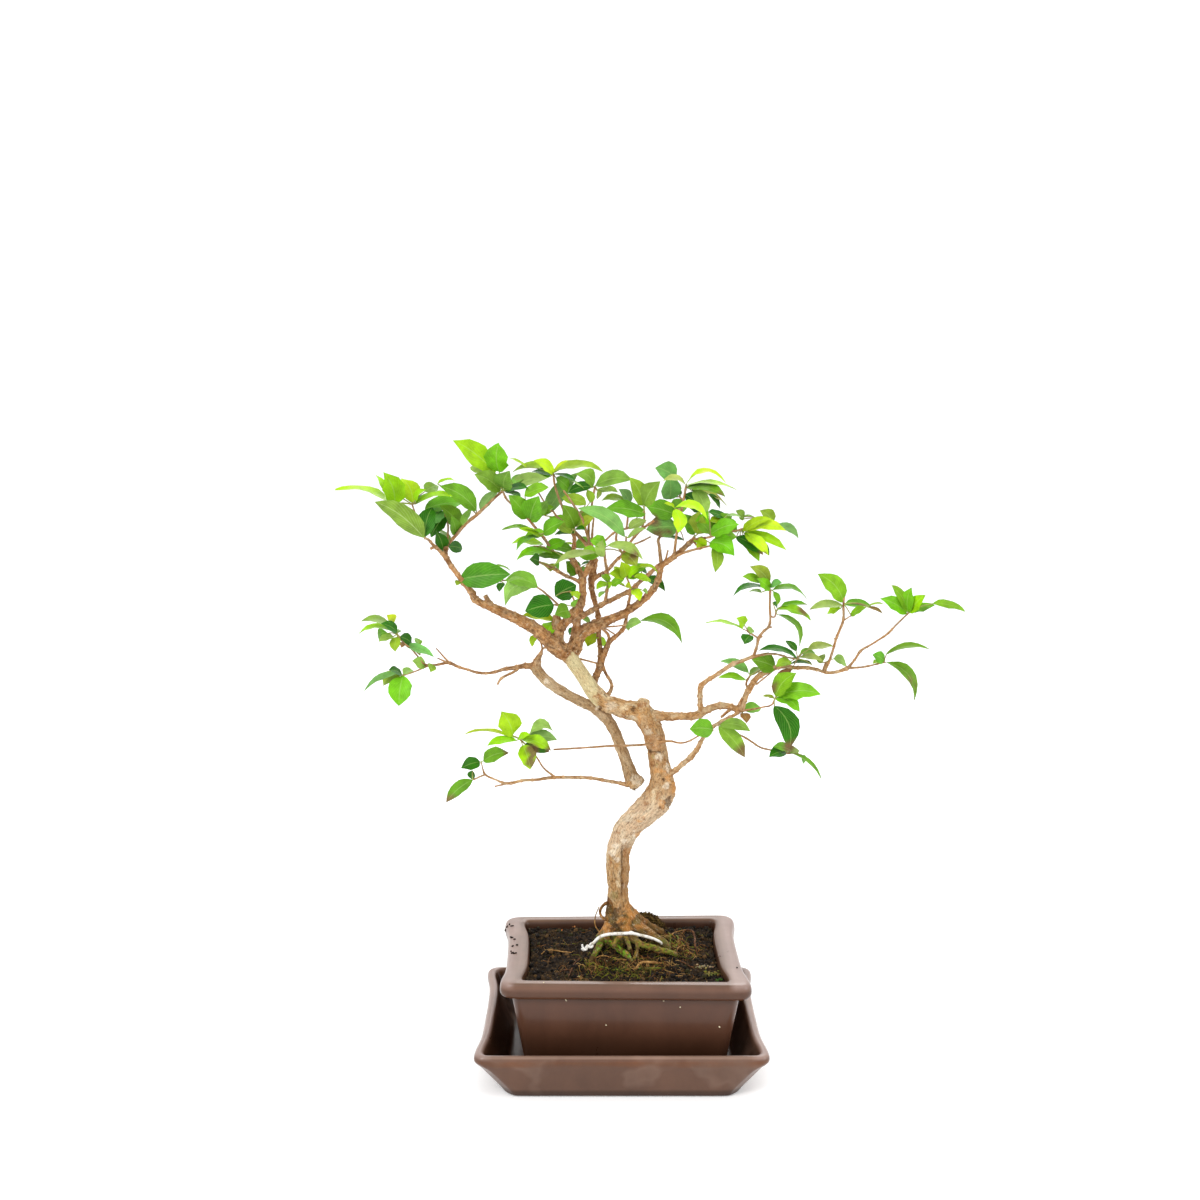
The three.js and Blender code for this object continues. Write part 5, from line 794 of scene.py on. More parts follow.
def rods(name, rows, sides, steps):
    """Round rods, one for each row of (point, radius), along smooth curves, closed at both ends."""
    curve = bpy.data.curves.new(name, "CURVE")
    curve.dimensions = "3D"
    curve.bevel_depth = MM
    curve.bevel_resolution = (sides - 4) // 2
    curve.resolution_u = steps
    curve.use_fill_caps = True
    for points in rows:
        spline = curve.splines.new("BEZIER")
        spline.bezier_points.add(len(points) - 1)
        for knot, (point, radius) in zip(spline.bezier_points, points):
            knot.co = point * MM
            knot.radius = radius
            knot.handle_left_type = knot.handle_right_type = "AUTO"
    piece = bpy.data.objects.new(name, curve)
    bpy.context.collection.objects.link(piece)
    only(piece)
    bpy.ops.object.convert(target="MESH")
    return bpy.context.object


def smooth_step(low, high, value):
    share = max(0.0, min(1.0, (value - low) / (high - low)))
    return share * share * (3 - 2 * share)


def between(value, low, low_full, high_full, high):
    """A share that rises from low to low_full and falls again from high_full to high."""
    return smooth_step(low, low_full, value) * smooth_step(high, high_full, value)


def patchy(low, high, place, size, shift=(0, 0, 0)):
    """A share that is 0 or 1 in patches of about this size, with soft edges."""
    return smooth_step(low, high, noise.noise(place / size + Vector(shift)))


def mix(a, b, share):
    return tuple(p + (q - p) * share for p, q in zip(a, b))


def of_branch(shares, name, otherwise):
    """The largest of the shares that are listed under the start of a branch's name."""
    return max([share for start, share in shares.items() if name.startswith(start)], default=otherwise)


grown = {name: placed(points) for name, points in branches.items()}
wood = rods("wood_grown", [points for points in grown.values() if points[0][1] >= THICK], 16, 5)
finish_with(wood, "REMESH", mode="VOXEL", voxel_size=WOOD_VOXEL * MM)
finish_with(wood, "SMOOTH", factor=0.5, iterations=3)
twigs = rods("twigs", [points for points in grown.values() if points[0][1] < THICK], 6, 7)
only(wood, twigs)
bpy.ops.object.join()

# Each point of the bark finds the nearest branch's middle line. Its place across and along that
# branch drives the relief, the tone and the grain: plates, flakes, rings at the nodes, marks.
core = []
for name, points in grown.items():
    side = Vector((1, 0, 0))
    length = 0.0
    for (start, start_radius), (end, end_radius) in zip(points, points[1:]):
        along = (end - start).normalized()
        side = (side - along * side.dot(along)).normalized()
        count = max(2, int((end - start).length / CORE_STEP))
        for share in (j / count for j in range(count)):
            core.append((start.lerp(end, share), along, side.copy(), length + (end - start).length * share,
                         start_radius * (1 - share) + end_radius * share, name))
        length += (end - start).length
nearest = kdtree.KDTree(len(core))
for i, entry in enumerate(core):
    nearest.insert(entry[0], i)
nearest.balance()

mesh = wood.data
mesh.attributes.new("grain", "FLOAT_VECTOR", "POINT")
mesh.attributes.new("bark_tone", "FLOAT_COLOR", "POINT")
grain, tones = mesh.attributes["grain"], mesh.attributes["bark_tone"]
outward = [vertex.normal.copy() for vertex in mesh.vertices]
for i, vertex in enumerate(mesh.vertices):
    here = vertex.co / MM
    found = min(nearest.find_n(here, 6), key=lambda near: near[2] / core[near[1]][4])
    middle, along, side, length, radius, name = core[found[1]]
    out = here - middle
    pattern_start = 37 * (len(name) % 7)
    spot = Vector((out.dot(side), out.dot(along.cross(side)), length + out.dot(along) + pattern_start))
    grain.data[i].vector = spot
    flow = Vector((spot.x, spot.y, spot.z * 0.4))
    x, z = in_picture(here)
    brownness = of_branch(BROWN_BARK, name, 0.1)
    stout = min(1.0, radius / 6)
    smooth = 0.0
    if name == "limb_left" and SMOOTH_PART[0] < x < SMOOTH_PART[1]:
        smooth = smooth_step(0, 4, min(x - SMOOTH_PART[0], SMOOTH_PART[1] - x))
    # Relief: raised plates, cracks, lumps, and a ring at each old leaf node of the brown wood.
    plate = patchy(0.02, 0.16, flow, 2.6) - 0.4
    stretched = Vector((spot.x * 1.4, spot.y * 1.4, spot.z * 0.35))
    crack = smooth_step(0.1, 0.0, abs(noise.noise(stretched / 2.4)))
    lumps = noise.noise(spot / 6)
    push = 0.45 * plate + 0.7 * lumps - 0.5 * crack * (0.3 + 0.7 * brownness)
    push = (push + 0.3 * noise.noise(flow / 1.1)) * stout * (1 - 0.8 * smooth)
    node = (spot.z + 2.5 * noise.noise(Vector((len(name), spot.z / 30, 0)))) % RING_PITCH - 4
    ring = math.exp(-(node / 0.8) ** 2) * (brownness > 0.3)
    push += 0.26 * min(radius, 2.4) * ring
    # Tone of the dry bark, from the trunk's plates to the brown of the branches.
    patch = patchy(-0.2, 0.22, flow, 6)
    tone = mix(BARK_TONES["tan"], BARK_TONES["sand"], patch)
    tone = mix(tone, BARK_TONES["cream"], 0.75 * patchy(0.05, 0.4, flow, 4, (3, 8, 1)))
    tone = mix(tone, BARK_TONES["rust"], 0.6 * patchy(0.24, 0.36, spot, 2.1, (9, 4, 2)))
    if name == "trunk":
        # Painted shade: the trunk is darkened in a band from 205 to 300 mm up the picture's plane.
        tone = mix(tone, BARK_TONES["painted trunk shade"], 0.5 * between(z, 205, 235, 286, 300))
        tone = mix(tone, BARK_TONES["bleached"], 0.5 * between(z, 166, 178, 205, 232))
        tone = mix(tone, BARK_TONES["waist"], 0.4 * smooth_step(172, 160, z))
    if name.startswith("limb_second"):
        tone = mix(tone, mix(BARK_TONES["taupe"], BARK_TONES["dust"], patch), 0.8)
    brown = mix(BARK_TONES["umber"], BARK_TONES["chestnut"], patchy(-0.3, 0.3, flow, 3))
    brown = mix(brown, BARK_TONES["flake"], 0.5 * patchy(0.08, 0.35, spot, 2.2))
    tone = mix(tone, brown, brownness)
    tone = mix(tone, BARK_TONES["smooth"], smooth * (0.8 + 0.2 * patch))
    tone = mix(tone, BARK_TONES["freckle"], 0.5 * smooth * patchy(0.3, 0.42, spot, 3.1))
    tone = mix(tone, tuple(c * 0.25 for c in tone), 0.75 * crack * (1 - smooth) * stout)
    # The rings at the nodes are painted lighter, a painted highlight on their raised edges.
    tone = mix(tone, BARK_TONES["ring"], 0.32 * ring)
    if name == "root_loop":
        tone = tuple(c * 0.4 for c in tone)
    # Algae up the foot of the trunk, and moss on the roots.
    warmth = patchy(-0.2, 0.2, spot, 7) * smooth_step(92, 108, z)
    algae = mix(BARK_TONES["algae"], BARK_TONES["warm algae"], warmth)
    algae = mix(algae, BARK_TONES["shaded"], 0.7 * smooth_step(10, 26, x))
    algae = mix(algae, BARK_TONES["black"], 0.8 * patchy(0.08, 0.3, spot, 5, (5, 5, 5)))
    tone = mix(tone, algae, 0.85 * smooth_step(138, 112, z))
    moss_share = of_branch(MOSSY, name, 0.0) * smooth_step(104, 94, z)
    fresh = 1.0 if name.startswith(("root_front_green", "root_left")) else 0.25
    green = mix(BARK_TONES["olive moss"], BARK_TONES["fresh moss"], fresh)
    green = mix(BARK_TONES["deep moss"], green, patchy(-0.25, 0.15, spot, 2.5))
    green = mix(green, BARK_TONES["dry moss"], patchy(0.14, 0.32, spot, 1.8, (7, 1, 3)))
    tone = mix(tone, green, moss_share * patchy(-0.4, 0.05, spot, 3.3))
    push += moss_share * 0.9 * noise.noise(spot / 1.1)
    # Marks that are read one by one, and the slit in the lower trunk.
    if radius > 2.5 and outward[i].y < 0.3:
        ragged = 0.7 * noise.noise(spot / 1.4) + 0.5 * noise.noise(spot / 3)
        for mark_x, mark_z, half_x, half_z, kind in BARK_MARKS:
            if abs(x - mark_x) < half_x * 1.5 and abs(z - mark_z) < half_z * 1.5:
                share = 1 - math.hypot((x - mark_x) / half_x, (z - mark_z) / half_z) + ragged
                share = smooth_step(-0.1, 0.25, share)
                tone = mix(tone, MARK_TONES[kind], 0.6 * share)
                push += MARK_RELIEF.get(kind, 0) * share
    if name == "trunk" and SLIT_HEIGHTS[0] < z < SLIT_HEIGHTS[-1] and outward[i].y < 0.2:
        fade = between(z, *SLIT_HEIGHTS)
        gap = math.exp(-((x - SLIT_X - noise.noise(Vector((0, 0, z / 7)))) / 1.1) ** 2) * fade
        push -= SLIT_DEPTH * gap + 1.5 * fade * smooth_step(1, 3, x)
        tone = mix(tone, BARK_TONES["slit"], (0.5 + 0.25 * smooth_step(155, 165, z)) * gap)
        tone = mix(tone, BARK_TONES["slit side"], 0.6 * fade * smooth_step(1.5, 3, x))
    tones.data[i].color = (*tone, 1)
    vertex.co += outward[i] * push * MM
finish_with(wood, "DECIMATE", ratio=WOOD_FACES_KEPT)
bpy.ops.object.shade_smooth()

bark = new_material("bark", 0.82, 0.14)
fibre = texture(bark, 1.3, stretch=(1, 1, 0.3), attribute="grain", Detail=5, Roughness=0.65)
fine = ramp(bark, fibre, (0.32, 0.5), (0.46, 0.95), (0.54, 1.02), (0.7, 1.35))
bark_color = blend_colors(bark, 1.0, kept(bark, "bark_tone", "Color"), fine, "MULTIPLY")
flakes = texture(bark, 0.5, stretch=(1.3, 1.3, 0.5), attribute="grain", Detail=6, Roughness=0.7,
                 Distortion=0.6)
flaked = blend_colors(bark, 1.0, bark_color, (0.52, 0.36, 0.24), "MULTIPLY")
bark_color = blend_colors(bark, ramp(bark, flakes, (0.56, 0.0), (0.6, 0.6)), bark_color, flaked)
pale_flake = (0.66, 0.55, 0.4)
bark_color = blend_colors(bark, ramp(bark, flakes, (0.36, 0.5), (0.41, 0.0)), bark_color, pale_flake)
feed(bark, "Base Color", bark_color)
emboss(bark, fibre, 0.7, 0.4)
wood.data.materials.append(bark)
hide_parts("wood")
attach(wood, "root")

# Tie: one turn of white plastic-coated wire over the roots, which held the tree down when it was
# potted. Its two ends are twisted together at the left and cut short.
TIE = [
    (-26.4, 89.5, -17, 1), (-22.4, 94, -17, 1.25), (-17.4, 99, -15.5, 1.3), (-9.4, 101.5, -15, 1.4),
    (0.6, 102, -15.5, 1.45), (6.6, 102.4, -16, 1.4), (8.6, 102.6, -16, 1.8), (10.6, 102.2, -16, 1.35),
    (16.6, 100.6, -14.5, 1.3), (24.6, 98.5, -12, 1.25), (30.6, 96, -10, 1.2), (35.6, 92.5, -8, 1.1),
    (39.6, 88.5, -6, 0.9),
]
TWIST = [
    [(-22.4, 94, -17, 0.9), (-24.9, 93, -18.4, 0.9), (-25.4, 90, -17, 0.9), (-28.4, 90.3, -18, 0.9),
     (-30.4, 87.6, -17, 0.9), (-32.4, 89, -17.5, 0.8)],
    [(-22.9, 93, -17, 0.9), (-24.4, 90, -18.4, 0.9), (-27.9, 91.6, -17, 0.9), (-28.4, 88, -18.4, 0.9),
     (-31.4, 90, -17, 0.9), (-31.9, 92.5, -17, 0.8)],
]


def mottled(name, roughness, gloss, grain_scale, detail, *stops):
    """A plain material whose colour runs between a few tones in fine grains."""
    made = new_material(name, roughness, gloss)
    feed(made, "Base Color", ramp(made, texture(made, grain_scale, Detail=detail), *stops))
    return made


tie = rods("tie_wire", [placed(points) for points in [TIE] + TWIST], 10, 6)
bpy.ops.object.shade_smooth()
tie.data.materials.append(mottled("tie_coating", 0.4, 0.5, 300, 3, (0.33, (0.5, 0.44, 0.34)),
                                  (0.48, (0.86, 0.84, 0.79))))
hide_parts("tie")
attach(tie, "root")

# Leaves: small, opposite, egg-shaped with a drawn-out tip, folded a little along the midrib and
# wavy at the margin, glossy above and matt and paler below. The leaves that sprout from one twig
# end are a shoot, and each shoot is one piece.
BLADE_ACROSS = 4
BLADE_THICK = 0.28
BLADE_FULL = 0.53
SEAM = 0.00002
STALK_RADII = (0.6, 0.45, 0.42)
STALK_SAG = 0.08
SHORTEST_STALK = 0.8
# Each shoot: its twig end's x, z and depth, then for each leaf the base and tip in the picture's
# plane, the tip's depth from its base, width, rise of the midrib, turn to the view, and tone.
shoots = {
    "shoot_left_tip": [(-157, 433, -18), (-157, 433, -195, 463, -10, 18, 3, -58, "g"),
        (-156, 434, -150, 458, 14, 14, 2, 75, "d")],
    "shoot_left_rosette": [(-166, 460, -6), (-180, 459, -188, 485, -12, 17, 3, 70, "l"),
        (-166, 461, -174, 481, 10, 14, 3, 70, "l"), (-181, 460, -226, 474, -8, 14, 4, 18, "l"),
        (-186, 468, -194, 484, 8, 6, 1, 50, "l"), (-163, 462, -156, 472, -10, 7, 2, 40, "l"),
        (-163, 460, -148, 470, 12, 9, 1, 30, "g"), (-163, 461, -135, 468, -14, 10, 3, 25, "l"),
        (-156, 470, -145, 475, 14, 10, 1, 62, "g")],
    "shoot_left_inner": [(-140, 452, 14), (-143, 455, -154, 443, -12, 14, 1, 70, "b"),
        (-139, 452, -152, 434, -6, 11, 1, 72, "d"), (-156, 456, -126, 461, 8, 16, 2, 45, "m"),
        (-127, 441, -143, 459, -12, 14, 1, 60, "m")],
    "shoot_left_fork": [(-140, 426, 6), (-142, 423, -147, 438, -14, 10, 1, 80, "d"),
        (-137, 430, -145, 440, 14, 6, 1, 50, "g"), (-138, 426, -126, 424, 18, 9, 1, 78, "d"),
        (-132, 436, -135, 450, -16, 9, 1, 72, "m")],
    "shoot_upper_left_node": [(-115, 452, -6), (-115, 455, -143, 475, -12, 15, 3, 62, "m"),
        (-112, 455, -98, 472, 14, 9, 1, 60, "b"), (-126, 443, -119, 457, 16, 7, 1, 50, "g"),
        (-146, 476, -131, 479, 4, 5, 2, 22, "l")],
    "shoot_upper_left_crown": [(-94, 471, 2), (-100, 485, -132, 511, -8, 17, 2, 70, "l"),
        (-97, 486, -97, 508, -14, 18, 2, 74, "v"), (-96, 471, -116, 484, -16, 14, 2, 68, "g"),
        (-93, 472, -89, 486, -20, 15, 2, 74, "g"), (-106, 486, -120, 490, 16, 10, 1, 60, "g"),
        (-92, 471, -75, 474, -18, 9, 1, 35, "d"), (-92, 470, -80, 466, -20, 7, 1, 30, "d"),
        (-91, 472, -58, 482, 10, 14, 2, 45, "p"), (-86, 476, -76, 483, 16, 8, 1, 50, "g")],
    "shoot_crown_left_tip": [(-54, 484, 18), (-56, 482, -76, 478, 14, 9, 1, 50, "v"),
        (-52, 481, -40, 470, 12, 10, 1, 60, "m"), (-59, 489, -86, 486, 10, 9, 3, 34, "o"),
        (-75, 489, -88, 497, 4, 4, 1, 30, "l"), (-54, 484, -69, 495, -10, 9, 2, 60, "y"),
        (-55, 483, -71, 487, 12, 8, 1, 40, "d"), (-54, 485, -15, 487, -8, 12, 5, 30, "o"),
        (-54, 485, -34, 495, 10, 7, 2, 40, "y"), (-54, 484, -36, 479, -10, 7, 1, 25, "d")],
    "shoot_crown_left_mid": [(-75, 449, -14), (-75, 449, -89, 467, -12, 13, 1, 74, "m"),
        (-72, 450, -54, 458, 14, 10, 1, 60, "v"), (-73, 447, -66, 466, -14, 17, 1, 76, "m"),
        (-66, 449, -59, 463, 12, 9, 1, 70, "g"), (-77, 467, -58, 474, -6, 11, 1, 50, "v")],
    "shoot_crown_left_back": [(-61, 451, 26), (-61, 451, -35, 486, 6, 14, 1, 62, "b"),
        (-37, 442, -57, 450, -6, 9, 1, 50, "v")],
    "shoot_crown_left_low": [(-64, 436, -24), (-62, 437, -46, 446, -14, 12, 1, 62, "m"),
        (-66, 437, -95, 440, -10, 10, 3, 16, "m"), (-64, 434, -81, 441, -12, 6, 1, 40, "l"),
        (-66, 434, -84, 424, -12, 8, 3, 30, "m"), (-60, 436, -78, 433, 8, 9, 1, 46, "v")],
    "shoot_crown_left_under": [(-66, 426, -4), (-62, 428, -87, 430, -10, 9, 2, 40, "l"),
        (-55, 421, -84, 416, -14, 10, 4, 36, "v"), (-45, 417, -68, 419, 10, 8, 1, 46, "m"),
        (-60, 424, -44, 431, 8, 9, 1, 60, "v")],
    "shoot_crown_left_stub": [(-66, 414, -12), (-66, 414, -73, 416, -14, 9, 1, 76, "d"),
        (-57, 406, -52, 413, 8, 6, 1, 60, "o"), (-50, 407, -49, 418, 6, 4, 1, 40, "g")],
    "shoot_mid_left_pair": [(-67, 393, -30), (-67, 394, -93, 399, -8, 14, 3, 55, "g"),
        (-70, 394, -94, 379, -14, 15, 8, -58, "p")],
    "shoot_mid_left_oval": [(-41, 390, -16), (-53, 386, -36, 395, 4, 16, 1, 84, "d"),
        (-40, 390, -34, 384, -12, 6, 1, 60, "l")],
    "shoot_mid_left_round": [(-54, 379, -34), (-54, 379, -77, 374, -6, 17, 1, 84, "d"),
        (-42, 374, -53, 371, -14, 12, 1, 80, "m"), (-38, 377, -35, 384, 8, 6, 1, 40, "g")],
    "shoot_mid_left_lime": [(-54, 366, 12), (-54, 366, -79, 371, -6, 9, 1, 45, "l"),
        (-54, 365, -60, 354, -14, 12, 1, 70, "l"), (-68, 355, -72, 345, -4, 6, 1, 60, "l")],
    "shoot_left_spray": [(-180, 355, -30), (-183, 359, -209, 366, -10, 11, 4, 30, "g"),
        (-185, 362, -188, 371, -8, 9, 2, 50, "y"), (-180, 357, -192, 364, -14, 8, 1, 60, "d"),
        (-184, 358, -211, 356, 4, 10, 4, 25, "l"), (-188, 356, -195, 350, 10, 8, 3, 60, "m"),
        (-183, 353, -195, 349, -8, 7, 1, 50, "p"), (-180, 353, -182, 341, -10, 8, 1, 74, "o"),
        (-178, 353, -168, 347, 12, 9, 1, 66, "d"), (-178, 349, -177, 344, -4, 5, 1, 50, "n"),
        (-180, 356, -176, 358, 6, 4, 1, 40, "b")],
    "shoot_left_spray_low": [(-162, 338, -22), (-174, 346, -151, 337, -10, 8, 1, 50, "b"),
        (-163, 346, -166, 352, 8, 6, 1, 50, "m")],
    "shoot_left_bud": [(-156, 329, -18), (-158, 329, -168, 333, -10, 9, 1, 70, "p"),
        (-154, 331, -154, 324, -8, 7, 1, 60, "o")],
    "shoot_left_pendant": [(-176, 321, -26), (-176, 321, -180, 296, -10, 17, 1, 84, "v"),
        (-178, 321, -193, 311, 8, 9, 4, 60, "o"), (-179, 323, -208, 309, -6, 7, 3, 40, "b"),
        (-177, 322, -187, 326, -12, 8, 1, 40, "d"), (-176, 322, -167, 325, 10, 8, 1, 45, "p")],
    "shoot_left_large": [(-129, 400, -14), (-129, 400, -89, 404, -8, 19, 1, 80, "q"),
        (-128, 398, -132, 395, -6, 5, 1, 60, "o")],
    "shoot_left_curl": [(-97, 398, 16), (-94, 397, -98, 390, -6, 6, 1, 60, "d"),
        (-101, 411, -88, 407, 8, 3, 1, 30, "g")],
    "shoot_top_pair": [(-21, 474, 2), (-23, 474, -36, 484, -8, 11, 5, 70, "g"),
        (-21, 475, 8, 480, -12, 15, 3, 48, "g"), (-20, 471, -3, 470, 14, 9, 1, -30, "p"),
        (-24, 474, -43, 469, 10, 10, 2, 50, "d"), (-19, 471, -19, 464, 8, 5, 1, 50, "o"),
        (-28, 471, -40, 479, 12, 4, 1, 30, "p")],
    "shoot_crown_mint": [(4, 434, -46), (3, 434, -34, 457, -10, 13, 5, 55, "b"),
        (5, 433, 19, 441, -8, 6, 1, 40, "p")],
    "shoot_crown_arch": [(5, 459, 22), (5, 460, -16, 463, -8, 8, 4, 40, "o"),
        (6, 460, -2, 472, -6, 9, 2, 60, "b")],
    "shoot_crown_olive": [(18, 455, -18), (19, 452, -12, 457, -10, 15, 2, 50, "m"),
        (17, 459, 7, 481, -10, 12, 2, 74, "o"), (18, 459, 30, 478, -14, 14, 2, 74, "g"),
        (6, 440, 20, 448, -8, 9, 1, -50, "p")],
    "shoot_crown_green": [(-38, 442, -8), (-37, 441, -46, 459, -12, 13, 1, 72, "m"),
        (-36, 442, -22, 456, 12, 11, 1, 66, "g"), (-40, 436, -58, 446, 10, 9, 2, 56, "o"),
        (-28, 460, -48, 466, 12, 10, 1, 60, "o"), (-32, 442, -22, 450, -8, 8, 1, 60, "o"),
        (-25, 461, -27, 472, 8, 7, 1, 60, "o"), (-37, 437, -54, 436, 12, 6, 1, 40, "d"),
        (-37, 440, -29, 440, -10, 5, 1, 40, "d")],
    "shoot_crown_front": [(-14, 424, -56), (-12, 428, -25, 431, -10, 9, 1, 80, "v"),
        (-16, 418, -15, 431, -12, 8, 1, 70, "p"), (-20, 421, -54, 413, -8, 9, 3, 36, "p"),
        (-18, 418, -34, 419, 10, 11, 2, 70, "v"), (-11, 427, 17, 416, -8, 11, 4, 40, "p"),
        (2, 421, 12, 411, -12, 12, 1, 76, "o")],
    "shoot_crown_left_base": [(-38, 424, 30), (-38, 423, -57, 426, -8, 9, 1, 56, "m"),
        (-36, 425, -22, 433, 8, 10, 1, 60, "g"), (-38, 428, -55, 427, 8, 4, 1, 30, "l")],
    "shoot_right_blue": [(46, 466, 20), (43, 480, 27, 489, -12, 15, 2, 70, "b"),
        (38, 464, 38, 483, -14, 15, 1, 76, "b"), (48, 469, 35, 468, 8, 9, 1, 50, "d")],
    "shoot_right_top": [(51, 474, 0), (51, 475, 33, 479, -10, 7, 4, 40, "w"),
        (51, 476, 82, 479, -6, 8, 9, 26, "y"), (51, 475, 91, 472, -10, 8, 4, 20, "l"),
        (51, 473, 82, 468, -14, 13, 3, 32, "m"), (55, 471, 84, 460, 12, 9, 3, 26, "o"),
        (57, 472, 66, 450, -12, 11, 3, 80, "p"), (69, 468, 79, 456, 10, 6, 1, 40, "d"),
        (50, 468, 66, 454, 16, 14, 1, 74, "d")],
    "shoot_right_yellow": [(43, 456, -30), (42, 457, 68, 449, -10, 9, 6, 42, "y"),
        (42, 456, 45, 437, -12, 10, 3, 80, "y"), (42, 457, 34, 461, -6, 4, 1, 40, "l")],
    "shoot_right_mint": [(46, 440, 8), (42, 452, 20, 458, -8, 15, 1, 76, "m"),
        (40, 455, 52, 461, 10, 12, 1, 70, "g"), (44, 442, 20, 440, -14, 17, 1, 76, "b"),
        (50, 431, 30, 434, 10, 5, 1, 30, "d")],
    "shoot_right_burl": [(58, 434, 2), (58, 436, 50, 452, -8, 11, 1, 72, "m"),
        (61, 436, 62, 454, -12, 14, 1, 76, "o"), (64, 438, 68, 454, -16, 11, 1, 74, "v"),
        (58, 432, 68, 427, -14, 7, 1, 60, "l")],
    "shoot_right_crown": [(71, 434, -14), (71, 436, 93, 444, -10, 13, 2, 62, "v"),
        (72, 437, 88, 452, 8, 12, 2, 66, "m"), (70, 436, 60, 446, 10, 11, 2, 66, "g"),
        (70, 446, 88, 449, 10, 8, 1, 50, "l"), (69, 454, 87, 447, 12, 8, 1, 40, "d"),
        (83, 451, 96, 450, 6, 4, 1, 30, "p")],
    "shoot_right_hang": [(72, 427, -10), (70, 429, 90, 419, -10, 14, 4, 76, "v"),
        (74, 432, 92, 434, 6, 10, 2, 66, "m"), (68, 431, 60, 424, 8, 8, 1, 70, "l"),
        (74, 427, 75, 406, -14, 9, 2, 80, "o")],
    "shoot_far_right_crown": [(95, 440, 6), (96, 438, 118, 449, -10, 8, 2, 60, "l"),
        (96, 439, 131, 439, -14, 10, 5, 56, "y"), (97, 437, 132, 424, -6, 8, 3, 62, "l"),
        (100, 440, 126, 445, 4, 7, 2, 70, "w"), (98, 436, 117, 420, -16, 9, 2, 66, "y"),
        (94, 434, 110, 414, -10, 9, 2, 70, "v"), (92, 438, 78, 447, -8, 9, 2, 60, "v"),
        (91, 434, 113, 420, -12, 11, 2, 60, "d"), (97, 434, 104, 424, 10, 10, 1, 60, "b"),
        (107, 432, 118, 419, 8, 7, 1, 56, "d")],
    "shoot_far_right_back": [(110, 448, 20), (120, 445, 110, 455, -6, 10, 2, 70, "o"),
        (122, 443, 141, 433, -8, 9, 3, 42, "b"), (97, 448, 91, 455, -8, 7, 1, 60, "g"),
        (97, 450, 107, 449, 8, 4, 1, 30, "g")],
    "shoot_centre_lime": [(3, 404, -44), (3, 401, 0, 414, -10, 9, 1, 72, "l"),
        (5, 402, 15, 410, -14, 7, 1, 60, "l"), (4, 401, 18, 401, 8, 8, 2, 50, "v"),
        (2, 400, -8, 394, 6, 7, 1, 60, "v"), (2, 400, -10, 404, -10, 8, 2, 60, "l"),
        (13, 409, 30, 405, 8, 6, 3, 26, "l"), (6, 404, 22, 412, 12, 7, 1, 66, "v"),
        (10, 402, 24, 398, 14, 6, 1, 56, "l"), (0, 402, -6, 410, 12, 7, 1, 60, "l")],
    "shoot_centre_lime_left": [(-10, 397, -30), (-11, 397, -20, 392, -8, 6, 1, 60, "l"),
        (-13, 390, -18, 385, -6, 4, 1, 50, "p"), (-11, 393, -6, 396, -6, 5, 1, 50, "l"),
        (3, 394, -9, 398, 6, 3, 1, 30, "l"), (-10, 397, -16, 404, 8, 6, 1, 60, "v")],
    "shoot_centre_dark": [(16, 402, 14), (14, 404, 8, 407, -6, 6, 1, 50, "d"),
        (18, 401, 35, 391, -10, 9, 2, 52, "d"), (16, 407, 21, 404, 6, 5, 1, 40, "d")],
    "shoot_centre_bud": [(9, 392, -28), (8, 393, 3, 394, -4, 5, 1, 60, "y"),
        (9, 391, 15, 383, -8, 8, 1, 60, "y"), (17, 391, 21, 388, 4, 4, 1, 50, "p")],
    "shoot_under_right": [(6, 363, -14), (15, 366, 49, 348, -10, 13, 9, 46, "m"),
        (4, 362, 16, 365, -8, 9, 1, 50, "p"), (7, 364, 6, 358, -4, 4, 1, 60, "p")],
    "shoot_under_limb": [(-19, 356, 26), (-20, 356, -27, 345, -8, 11, 1, 60, "l"),
        (-19, 352, -13, 345, 8, 6, 1, 60, "l"), (-38, 360, -42, 354, 4, 5, 1, 50, "d")],
    "shoot_fork_oval": [(-38, 404, 18), (-36, 404, -44, 414, -8, 12, 1, 74, "m"),
        (-31, 404, -27, 410, 8, 6, 1, 60, "g"), (-25, 413, -33, 411, 6, 4, 1, 30, "d")],
    "shoot_fork_pale": [(-25, 364, 30), (-25, 364, -31, 367, -4, 6, 1, 50, "p")],
    "shoot_right_spire": [(119, 391, -16), (118, 396, 103, 410, -8, 10, 3, 70, "o"),
        (112, 398, 97, 402, -12, 7, 1, 64, "v"), (119, 391, 109, 400, -14, 8, 1, 70, "v"),
        (117, 391, 89, 386, -6, 9, 6, 26, "d"), (112, 389, 102, 390, 8, 5, 1, 30, "p"),
        (121, 391, 149, 385, 6, 9, 5, 26, "m"), (119, 394, 128, 397, -10, 7, 1, 50, "b"),
        (122, 390, 125, 379, -8, 6, 1, 50, "m")],
    "shoot_right_spire_low": [(124, 373, -20), (125, 376, 152, 367, -10, 9, 3, 40, "v"),
        (128, 378, 150, 380, 8, 6, 1, 40, "m"), (121, 381, 125, 376, 6, 4, 1, 40, "d"),
        (125, 371, 144, 344, -6, 9, 8, 30, "m")],
    "shoot_right_lime_small": [(102, 357, -24), (99, 362, 93, 368, -8, 9, 1, 64, "l"),
        (98, 359, 68, 365, -4, 6, 3, 24, "l"), (104, 354, 99, 347, -10, 9, 1, 76, "d"),
        (101, 357, 107, 358, 6, 6, 1, 60, "p")],
    "shoot_right_round": [(104, 321, -6), (124, 328, 106, 334, -8, 15, 1, 78, "m"),
        (103, 323, 80, 334, 8, 9, 2, 50, "b"), (101, 317, 79, 320, -8, 7, 2, 46, "v"),
        (104, 321, 115, 328, 12, 7, 1, 50, "g")],
    "shoot_right_roof": [(142, 335, -10), (142, 335, 111, 343, -8, 9, 4, 32, "d"),
